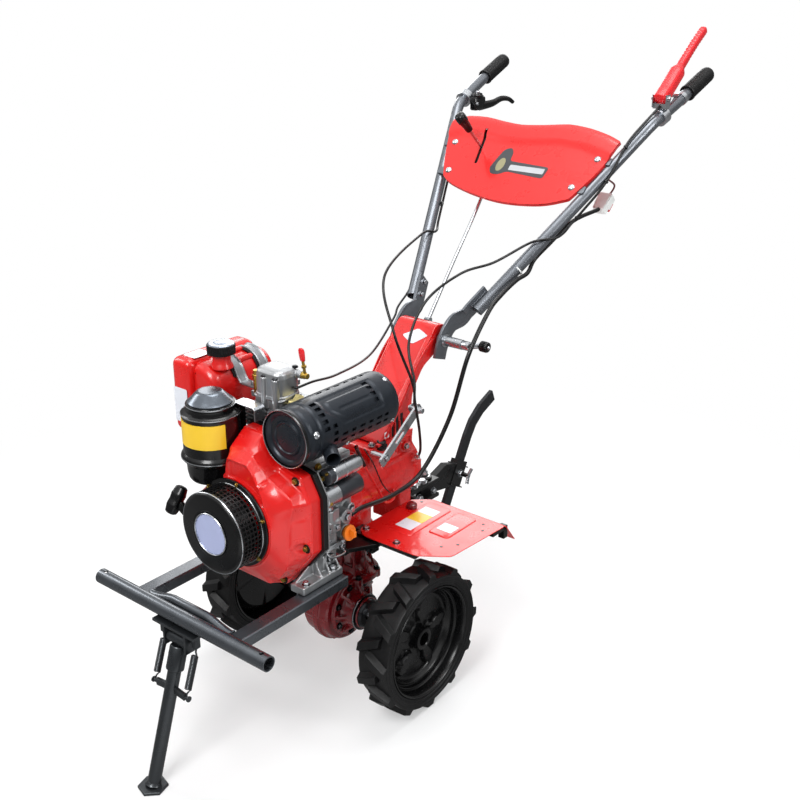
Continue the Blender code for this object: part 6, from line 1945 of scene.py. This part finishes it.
# The handle tubes' paint is a paler copy of the frame's grey, painted light for their place high in the
# light, with a broad bright streak along their upper side.
lit_tube_paint = finish(
    "silver-grey tube paint", "75797F", 0.32, metallic=0.8, relief=0.000004, spread=0.04,
    coat=0.2, dark=0.3
)
straight = [TUBE_START + (TUBE_END - TUBE_START) * (k / 20) for k in range(20)]
bent = smooth_route([
    TUBE_START + (TUBE_END - TUBE_START) * 0.95, TUBE_END, (0.28, 0.822, 1.165), (0.288, 0.88, 1.1905),
    GRIP_START - grip_line * 0.006, GRIP_END - grip_line * 0.01
], 0.006)
for name, side in SIDES:
    tube = swept(
        [mirror(p, side) for p in straight + bent[1:]], circle(0.0138, 40), (side, 0, 0),
        bore=circle(0.012, 40)
    )
    plate = smooth_route([
        (0.0655, 0.288, 0.682), (0.0655, 0.297, 0.708), (0.0655, 0.312, 0.734), (0.0665, 0.337, 0.755),
        beside_tube(LEFT, -0.03, 0.0185, 0), beside_tube(LEFT, -0.006, 0.0185, 0),
        beside_tube(LEFT, 0.052, 0.0185, 0)
    ], 0.004)
    section = [
        (-0.0036, -0.02), (-0.0036, 0.02), (-0.0026, 0.021), (0.0026, 0.021), (0.0036, 0.0196),
        (0.0036, -0.0196), (0.0026, -0.021), (-0.0026, -0.021)
    ]
    arm = swept([mirror(p, side) for p in plate], section, (side, 0, 0))
    shapes = [
        tube, arm,
        turned(
            [(0, 0), (0, 0.016), (0.006, 0.016), (0.006, 0)], (side * 0.0562, TILT_Y, TILT_Z), (side, 0, 0),
            40
        ),
        weld_bead([beside_tube(side, s, 0.0145, 0.008) for s in (-0.002, 0.05)], 0.003),
        weld_bead([beside_tube(side, s, 0.0145, -0.008) for s in (-0.002, 0.05)], 0.003),
    ]
    for rivet_x, along in ((0.177, 0.355), (0.205, 0.442)):
        tube_x = TUBE_START.x + along * tube_line.x / math.hypot(tube_line.y, tube_line.z)
        low, high = sorted((side * (rivet_x - 0.01), side * (tube_x + 0.002)))
        shapes.append(laid(rounded_outline(low, along - 0.01, high, along + 0.01, 0.003), 0.0144, 0.0184))
    made(
        f"handle_tube_painted_{name}", shapes, lit_tube_paint, [f"handle_tube_{name}"], body="handlebar",
        edge=0.0008
    )
made("clamp_bolts", [
    bolt(mirror(beside_tube(LEFT, s, 0.0225, 0), side), (-side, 0, 0), 0.01, 0.0045, 0.0075)
    for side in (LEFT, RIGHT) for s in (0.004, 0.04)
], zinc, body="handlebar")

# Clamp bolt: turned and zinc plated, with a loose sleeve, two thrust washers and the crank's boss.
crank_start, crank_end = Vector((0.13, 0.301, TILT_Z)), Vector((0.153, 0.326, TILT_Z))
bolt_bits = [
    rod((-0.07, TILT_Y, TILT_Z), (0.132, TILT_Y, TILT_Z), 0.0079),
    bolt((-0.0696, TILT_Y, TILT_Z), (-1, 0, 0), 0.024, 0.009, 0.015),
    turned([
        (0.0696, 0), (0.0696, 0.015), (0.0712, 0.015), (0.0712, 0.0115), (0.101, 0.0115), (0.1015, 0.0106),
        (0.103, 0.0106), (0.1035, 0.0113), (0.118, 0.0113), (0.119, 0.01), (0.119, 0)
    ], (0, TILT_Y, TILT_Z), (1, 0, 0), 48),
    turned([
        (0.12, 0), (0.12, 0.0096), (0.1215, 0.0104), (0.1385, 0.0104), (0.14, 0.009), (0.14, 0)
    ], (0, TILT_Y, TILT_Z), (1, 0, 0), 40),
    swept(smooth_route([
        crank_start, crank_start.lerp(crank_end, 0.5), crank_end
    ], 0.003), circle(0.0066, 20, 0.005), (0, 0, 1)),
    dome_screw((0.1742, 0.325, TILT_Z), (1, 0, 0), 0.0042),
]
made("tilt_bolt_turned", bolt_bits, zinc, ["tilt_bolt"], body="handlebar")


def knurled(along, radius, turn):
    """Eighteen grooves round the knob."""
    if 0.003 < along < 0.02 and radius > 0.01:
        radius -= 0.0009 * (0.5 + 0.5 * math.cos(turn * 18))
    return along, radius


made("tilt_knob", turned([
    (0, 0), (0, 0.008), (0.003, 0.0118), (0.005, 0.0124), (0.018, 0.0124), (0.021, 0.011), (0.0225, 0.008),
    (0.0225, 0)
], (0.152, 0.325, TILT_Z), (1, 0, 0), 144, warp=knurled), black_nylon, slot="black_paint", body="handlebar")

# ---------------------------------------------------------------- grips
# Slip-on rubber grips: a fine ribbed middle between a plain collar and a domed end, pushed over the tubes.

grip_profile = [(0, 0.015), (0, 0.0188), (0.002, 0.02), (0.005, 0.02), (0.0065, 0.0186)]
for k in range(16):
    a = 0.008 + k * 0.0049
    grip_profile += [(a, 0.018), (a + 0.0012, 0.019), (a + 0.003, 0.019), (a + 0.0042, 0.018)]
grip_profile += [
    (0.0885, 0.0186), (0.096, 0.019), (0.102, 0.0182), (0.106, 0.016), (0.1085, 0.012), (0.1094, 0.006),
    (0.1096, 0)
]


def gripped(along, radius, turn):
    """Fine grooves along the rubber."""
    if 0.007 < along < 0.087:
        radius -= 0.0004 * (1 if math.cos(turn * 8) > 0.8 else 0)
    return along, radius


for name, side in SIDES:
    made(f"ribbed_grip_{name}", turned(
        grip_profile, mirror(GRIP_START, side), mirror(grip_line, side), 144, warp=gripped
    ), tyre_rubber, [f"grip_{name}"], body="handlebar")

# ---------------------------------------------------------------- shield
# Control shield between the tubes: pressed sheet with a rolled upper edge, baked red, held to four tabs by
# domed rivets. The gear rod works in its long slot, and a blank label lies on the sheet's middle.

SHIELD = [
    (-0.245, 0.51), (-0.205, 0.526), (-0.15, 0.528), (-0.09, 0.52), (-0.04, 0.516), (0.02, 0.522),
    (0.088, 0.532), (0.15, 0.526), (0.205, 0.512), (0.24, 0.498), (0.23, 0.44), (0.213, 0.385),
    (0.184, 0.322), (0.135, 0.301), (0.084, 0.291), (0.02, 0.287), (-0.046, 0.293), (-0.11, 0.306),
    (-0.16, 0.322), (-0.185, 0.338), (-0.213, 0.4), (-0.238, 0.47)
]
CORNERS = {(-0.245, 0.51), (0.24, 0.498), (0.184, 0.322), (-0.185, 0.338)}
outline = []
count = len(SHIELD)
for i in range(count):
    b, c = Vector(SHIELD[i]), Vector(SHIELD[(i + 1) % count])
    a = Vector(SHIELD[i - 1]) if SHIELD[i] not in CORNERS else b * 2 - c
    d = Vector(SHIELD[(i + 2) % count]) if SHIELD[(i + 1) % count] not in CORNERS else c * 2 - b
    outline += [tuple(between(a, b, c, d, t)) for t in (0, 1 / 3, 2 / 3)]
outline = filleted(outline, 0.004, 3)


def top_edge(across):
    """The upper edge's distance along the slope at a place across."""
    upper = sorted(p for p in SHIELD if p[1] > 0.497)
    for p, q in zip(upper, upper[1:]):
        if across <= q[0]:
            share = max(0.0, (across - p[0]) / (q[0] - p[0]))
            return p[1] + (q[1] - p[1]) * share
    return upper[-1][1]


def sheet_height(across, along):
    """The pressing: a shallow step below the rolled upper edge, and a turned-down rim at the foot."""
    depth = top_edge(across) - along
    fold = 0.0
    if depth < 0.062:
        t = min(1.0, max(0.0, (0.062 - depth) / 0.016))
        fold = 0.006 * t * t * (3 - 2 * t)
        if depth < 0.018:
            fold -= 0.0035 * ((0.018 - depth) / 0.018) ** 2
    return fold


slot_top, slot_foot = Vector((-0.13, 0.487)), Vector((-0.113, 0.39))
slot_run = (slot_foot - slot_top).normalized()
slot_side = Vector((-slot_run.y, slot_run.x)) * 0.0042
slot_line = filleted([
    tuple(slot_top - slot_run * 0.004 - slot_side), tuple(slot_top - slot_run * 0.004 + slot_side),
    tuple(slot_foot + slot_run * 0.004 + slot_side), tuple(slot_foot + slot_run * 0.004 - slot_side)
], 0.004, 4)
sheet = bmesh.new()
STEP = 0.0035
flat_curve = bpy.data.curves.new("shield outline", "CURVE")
flat_curve.dimensions = "2D"
flat_curve.fill_mode = "BOTH"
for points in (outline, slot_line):
    spline = flat_curve.splines.new("POLY")
    spline.points.add(len(points) - 1)
    for point, (x, y) in zip(spline.points, points):
        point.co = (x, y, 0, 1)
    spline.use_cyclic_u = True
holder = bpy.data.objects.new("shield outline", flat_curve)
flat_mesh = bpy.data.meshes.new_from_object(holder)
bpy.data.objects.remove(holder)
sheet.from_mesh(flat_mesh)
bpy.data.meshes.remove(flat_mesh)
bmesh.ops.dissolve_limit(sheet, angle_limit=0.01, verts=sheet.verts, edges=sheet.edges)
for axis, low, high in ((0, -72, 73), (1, 80, 154)):
    for k in range(low, high, 2):
        plane_co, plane_no = [0, 0, 0], [0, 0, 0]
        plane_co[axis], plane_no[axis] = k * STEP, 1
        bmesh.ops.bisect_plane(
            sheet, geom=sheet.verts[:] + sheet.edges[:] + sheet.faces[:], plane_co=plane_co,
            plane_no=plane_no
        )
grown = bmesh.ops.extrude_face_region(sheet, geom=sheet.faces[:])["geom"]
lifted = {v for v in grown if isinstance(v, bmesh.types.BMVert)}
for vert in sheet.verts:
    x, y = vert.co.x, vert.co.y
    height = 0.0185 + sheet_height(x, y) + (0.0028 if vert in lifted else 0.0)
    vert.co = over_tubes(x, y, height)
made("shield_pressing", sheet, red_enamel, ["shield"], body="handlebar")
# A black plate under the slot, partly a rubber flap and partly painted shade that keeps the open slot dark,
# and the sheet's turned-down rim.
under = []
for x, y, start in ((-0.13, 0.483, 0), (-0.112, 0.392, math.pi)):
    for k in range(17):
        turn = start + math.pi * k / 16
        under.append((x + 0.0155 * math.cos(turn), y + 0.0155 * math.sin(turn)))
made("slot_backing_shade", laid(under, 0.013, 0.0165), black_nylon, body="handlebar")
rim = windowed(outline, inset_outline(
    outline,
    -0.0022 if sum(a[0] * b[1] - b[0] * a[1] for a, b in zip(outline, outline[1:] + outline[:1])) < 0
    else 0.0022
), lambda a, b, h: over_tubes(a, b, h + sheet_height(a, b)), 0.012, 0.02)
made("shield_rim", rim, red_enamel, body="handlebar")
rivets = []
for x, y in ((0.177, 0.355), (0.205, 0.442)):
    for side in (LEFT, RIGHT):
        at = over_tubes(side * x, y, 0.0213 + sheet_height(side * x, y))
        rivets.append(turned([
            (-0.001, 0), (-0.001, 0.0088), (0.0008, 0.0088), (0.0024, 0.0078), (0.004, 0.0058),
            (0.0049, 0.003), (0.0052, 0)
        ], at, run_up, 32))
made("shield_rivets", rivets, zinc, body="handlebar")
# A blank label lies on the sheet's middle: a charcoal film with a pale blank strip and a muted patch on it.
label = filleted([
    (-0.066, 0.38), (-0.052, 0.436), (-0.034, 0.446), (-0.022, 0.432), (-0.02, 0.406), (0.094, 0.401),
    (0.09, 0.367), (-0.014, 0.374), (-0.034, 0.362), (-0.056, 0.362)
], 0.008, 4)
strip = rounded_outline(-0.012, 0.379, 0.086, 0.395, 0.002)
patch = [
    (-0.04 + 0.011 * math.cos(a), 0.392 + 0.02 * math.sin(a))
    for a in (math.tau * k / 28 for k in range(28))
]
for name, film_line, high, colour in (
    ("film", label, 0.0218, "34363A"), ("strip", strip, 0.0221, "B4B7BB"),
    ("patch", patch, 0.0221, "8F8A68")
):
    made(f"shield_blank_{name}", laid(film_line, 0.0214, high), finish(
        f"blank {name} film", colour, 0.34, grain=0.004, relief=0.00001, spread=0.04,
        tint=0.04, coat=0.2
    ), body="handlebar")

# ---------------------------------------------------------------- gear rod
# Long gear rod: a zinc rod hooked at its foot, up through the shield's slot to a black moulded knob.

slot_middle = (slot_top + slot_foot) / 2
rod_route = smooth_route([
    (-0.03, 0.371, 0.734), (-0.06, 0.51, 0.845), (-0.075, 0.635, 0.968),
    over_tubes(slot_middle.x + 0.004, slot_middle.y - 0.01, -0.045),
    over_tubes(slot_middle.x, slot_middle.y, -0.025), over_tubes(slot_middle.x - 0.01, slot_middle.y, 0.084)
], 0.008)
made("gear_rod", [
    swept(rod_route, circle(0.0038, 20), (1, 0, 0)),
    rod((-0.036, 0.371, 0.734), (-0.024, 0.371, 0.734), 0.0075),
    bolt((-0.036, 0.371, 0.734), (-1, 0, 0), 0.01, 0.004)
], zinc, ["shift_rod"], body="handlebar")
knob_foot = over_tubes(slot_middle.x - 0.0095, slot_middle.y, 0.078)
made("gear_knob", turned([
    (0, 0), (0, 0.0055), (0.002, 0.0088), (0.01, 0.0098), (0.03, 0.0112), (0.033, 0.013), (0.05, 0.0138),
    (0.0545, 0.012), (0.057, 0.008), (0.0575, 0)
], knob_foot, run_up + Vector((-0.14, 0, 0)), 40), black_nylon, body="handlebar")

# ---------------------------------------------------------------- clutch and throttle levers
# Clutch lever: moulded red over a steel core, finger ridges on its outer half, pinned in a zinc clip.
# Throttle lever: a black die casting clamped on the right tube, with a curved blade.

clip_at = Vector((0.28, 0.822, 1.165)).lerp(Vector((0.288, 0.88, 1.1905)), 0.5)
clip_line = (Vector((0.288, 0.88, 1.1905)) - Vector((0.28, 0.822, 1.165))).normalized()
clip_ring = [(-0.011, 0.0136), (0.011, 0.0136), (0.011, 0.0204), (-0.011, 0.0204)]
lever_pivot = Vector((0.284, 0.843, 1.2195))
clip_bits = [
    turned(clip_ring, clip_at, clip_line, 48, closed=True),
    rod(clip_at + Vector((0, -0.0015, 0.019)), lever_pivot - Vector((0, 0.0015, 0.0096)), 0.0056),
    bolt(lever_pivot + Vector((0.0182, 0, 0)), (1, 0, 0), 0.01, 0.004, 0.007),
    bolt(lever_pivot - Vector((0.0182, 0, 0)), (-1, 0, 0), 0.01, 0.004, 0.007),
    block(lever_pivot + Vector((0.016, -0.01, -0.02)), lever_pivot + Vector((0.0182, 0.01, 0.009))),
    block(lever_pivot + Vector((-0.0182, -0.01, -0.02)), lever_pivot + Vector((-0.016, 0.01, 0.009))),
    block((0.266, 0.838, 1.196), (0.302, 0.85, 1.208)),
    rod((0.2745, 0.914, 1.22), (0.2955, 0.914, 1.22), 0.005),
    turned(
        [(-0.006, 0.0136), (0.006, 0.0136), (0.006, 0.0162), (-0.006, 0.0162)],
        Vector((0.2925, 0.93, 1.212)), grip_line, 48, closed=True
    ),
]
made("clutch_clip", clip_bits, zinc, ["clutch_bracket"], body="handlebar", edge=0.0005)
lever_route = smooth_route([
    lever_pivot + Vector((0, -0.006, -0.004)), lever_pivot + Vector((0, 0.01, 0.008)),
    (0.2835, 0.88, 1.246), (0.282, 0.94, 1.29), (0.281, 1.0, 1.333), (0.28, 1.05, 1.364)
], 0.0018)


def lever_girth(share):
    """Half the clutch lever's width and height: a block at the pivot, then a finger-ridged bar."""
    thick = step(0.46, 0.38, share)
    wide, tall = 0.0094 + 0.0076 * thick, 0.01 + 0.005 * thick
    if share > 0.55:
        ridge = 0.5 + 0.5 * math.cos((share - 0.55) * math.tau * 24)
        wide, tall = wide - 0.0006 * ridge, tall - 0.0012 * ridge
    close = max(0.03, min(1.0, share / 0.012, (1 - share) / 0.03))
    close = math.sqrt(close * (2 - close))
    return wide * close, tall * close


lever_skin = moulded(lever_route, lever_girth, (1, 0, 0), 28, 0.6)
made("clutch_lever_moulding", lever_skin, red_plastic, ["clutch_lever"], body="handlebar")
throttle_at = mirror(clip_at, RIGHT)
blade = smooth_route([
    (-0.252, 0.872, 1.158), (-0.25, 0.882, 1.158), (-0.24, 0.915, 1.162), (-0.23, 0.942, 1.172),
    (-0.22, 0.962, 1.17), (-0.214, 0.976, 1.16)
], 0.004)
throttle_bits = [
    stacked(-0.2652, 0.846, -0.243, 0.89, 0.005, [(1.148, 0.003), (1.151, 0), (1.178, 0), (1.182, 0.003)]),
    turned([
        (0, 0), (0, 0.015), (0.006, 0.015), (0.008, 0.012), (0.01, 0.012), (0.01, 0)
    ], (-0.2535, 0.866, 1.1815), (0.1, 0, 1), 32),
    moulded(blade, lambda share: (0.0085 - 0.003 * share, 0.0125 - 0.0075 * share), (1, 0, 0), 20),
]
made("throttle_casting", throttle_bits, satin_black, ["throttle_lever"], body="handlebar", edge=0.001)
made("throttle_screws", [
    turned(clip_ring, throttle_at, mirror(clip_line, RIGHT), 48, closed=True),
    bolt((-0.2535, 0.866, 1.1925), (0.1, 0, 1), 0.009, 0.004),
    bolt((-0.242, 0.848, 1.166), (1, 0, 0), 0.007, 0.003)
], zinc, body="handlebar")

# ---------------------------------------------------------------- cables and loom
# Sheathed control cables and the wiring loom: black PVC over spiral steel, clipped under the tubes and
# free between the engine and the handlebar.

# PVC sheath: soft black with a low even gloss.
sheath = finish("black vinyl sheath", "0B0B0C", 0.34, relief=0.00001, tint=0.15, shine=0.4)
clutch_route = [Vector((0.2835, 0.8395, 1.202)), Vector((0.283, 0.828, 1.196))] + [
    beside_tube(LEFT, *at)
    for at in (
        (0.548, 0.002, 0.0195), (0.5, -0.006, 0.0172), (0.45, -0.0165, 0.006), (0.4, -0.0165, -0.0065),
        (0.35, -0.0135, -0.014), (0.3, -0.012, -0.018), (0.27, -0.019, -0.012), (0.243, -0.0225, 0.002),
        (0.215, -0.01, 0.02), (0.19, 0.008, 0.023)
    )
]
clutch_route += [
    (0.11, 0.43, 0.884), (0.08, 0.344, 0.871), (0.05, 0.258, 0.822), (0.07, 0.173, 0.753),
    (0.105, 0.148, 0.68), (0.112, 0.141, 0.64), (0.11, 0.16, 0.564), (0.09, 0.19, 0.497),
    (0.0642, 0.209, 0.4619)
]
reverse_route = [
    beside_tube(RIGHT, *at)
    for at in ((0.52, 0.01, -0.0175), (0.36, 0.01, -0.0175), (0.24, 0.01, -0.0185), (0.19, 0.021, 0.0))
]
reverse_route += [
    (-0.13, 0.47, 0.905), (-0.05, 0.236, 0.867), (0.03, 0.171, 0.766), (0.064, 0.194, 0.65),
    (0.078, 0.183, 0.6068)
]
throttle_route = [
    (0.0306, -0.146, 0.736), (0.0395, -0.1455, 0.736), (0.04, -0.098, 0.736), (0.018, 0.0, 0.718),
    (-0.03, 0.16, 0.706), (-0.082, 0.304, 0.742), (-0.106, 0.352, 0.757), (-0.128, 0.425, 0.782)
]
throttle_route += [
    beside_tube(RIGHT, *at)
    for at in (
        (0.1, -0.02, -0.013), (0.16, -0.012, -0.0165), (0.3, -0.012, -0.0165), (0.5, -0.012, -0.0165)
    )
]
loom_route = [(0.212, 0.712, 0.972)] + [
    beside_tube(LEFT, *at)
    for at in (
        (0.3131, 0, -0.03), (0.2316, 0, -0.0235), (0.1826, 0, -0.0235), (0.145, -0.018, -0.0165),
        (0.11, -0.0245, 0.002)
    )
]
loom_route += [
    (0.151, 0.4, 0.82), (0.153, 0.35, 0.793), (0.155, 0.275, 0.712), (0.136, 0.236, 0.573),
    (0.116, 0.164, 0.463), (0.113, 0.07, 0.441), (0.1235, -0.05, 0.46), (0.1236, -0.083, 0.458)
]
for name, route, radius, leaves, arrives in (
    ("clutch_cable", clutch_route[::-1], 0.003, (0.08, 0.165, 0.72), (0.098, 0.4, 0.878)),
    ("reverse_cable", reverse_route[::-1], 0.003, (0.045, 0.18, 0.72), (-0.13, 0.47, 0.905)),
    ("throttle_cable", throttle_route, 0.00255, (-0.03, 0.16, 0.706), (-0.128, 0.425, 0.782)),
    ("wiring_loom", loom_route[::-1], 0.005, (0.13, 0.22, 0.545), (0.151, 0.4, 0.82)),
):
    points = smooth_route(route, 0.006)
    cable = made(
        f"{name}_sheath", swept(points, circle(radius, 16), (1, 0.05, 0.1)), sheath, [name], body=None
    )
    placed = [p + Vector((0, AXLE_Y, 0)) for p in points]
    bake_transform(cable)
    length = sum((q - p).length for p, q in zip(placed, placed[1:]))

# Loom connector: a white nylon two-part housing with its catch, on a short red-and-black lead.
white_nylon = finish("natural white nylon", "E4E6E4", 0.42, grain=0.0012, tint=0.05, dark=0.4)
CONNECTOR = Vector((0.209, 0.735, 0.98))
connector = [
    laid(rounded_outline(-0.015, -0.021, 0.015, 0.02, 0.003), -0.011, 0.011, CONNECTOR),
    laid(rounded_outline(-0.0175, -0.006, 0.0175, 0.027, 0.003), -0.013, 0.009, CONNECTOR),
]
housing = made("loom_connector", connector, white_nylon, body="handlebar", edge=0.0008)
catch = made("connector_catch", laid(rounded_outline(
    -0.004, -0.01, 0.018, 0.014, 0.002
), -0.0142, -0.0128, CONNECTOR), red_plastic, body="handlebar", edge=0.0004)
lead_route = [
    CONNECTOR + run * 0.025, Vector((0.214, 0.764, 1.004)), Vector((0.22, 0.766, 1.022)),
    beside_tube(LEFT, 0.44, 0, -0.016)
]
lead_points = smooth_route(lead_route, 0.003)
lead = made(
    "connector_lead", swept(lead_points, circle(0.0022, 14), (1, 0, 0)),
    finish("dark red vinyl", "5E1018", 0.42, grain=0.001, relief=0.00002, tint=0.1),
    body="handlebar"
)
made("white_cable_tie", turned(
    [(-0.0016, 0.0142), (0.0016, 0.0142), (0.0016, 0.0156), (-0.0016, 0.0156)],
    beside_tube(LEFT, 0.134, 0, -0.002), mirror(tube_line, LEFT), 40, closed=True
), white_nylon, body="handlebar")
clips = [
    turned(
        [(-0.002, 0.003), (0.002, 0.003), (0.002, 0.0052), (-0.002, 0.0052)], beside_tube(LEFT, *at),
        mirror(tube_line, LEFT), 24, closed=True
    )
    for at in ((0.32, -0.0125, -0.017), (0.425, -0.0172, 0.0), (0.515, -0.0035, 0.0178))
]
hook = beside_tube(RIGHT, 0.275, 0.0195, 0.0)
clips.append(turned([
    (-0.0012, 0.0036), (0.0012, 0.0036), (0.0012, 0.006), (-0.0012, 0.006)
], hook, (0.2, 0.9, -0.4), 28, closed=True))
made("black_clips", clips, black_nylon, body="handlebar")

# ---------------------------------------------------------------- end
low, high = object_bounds()
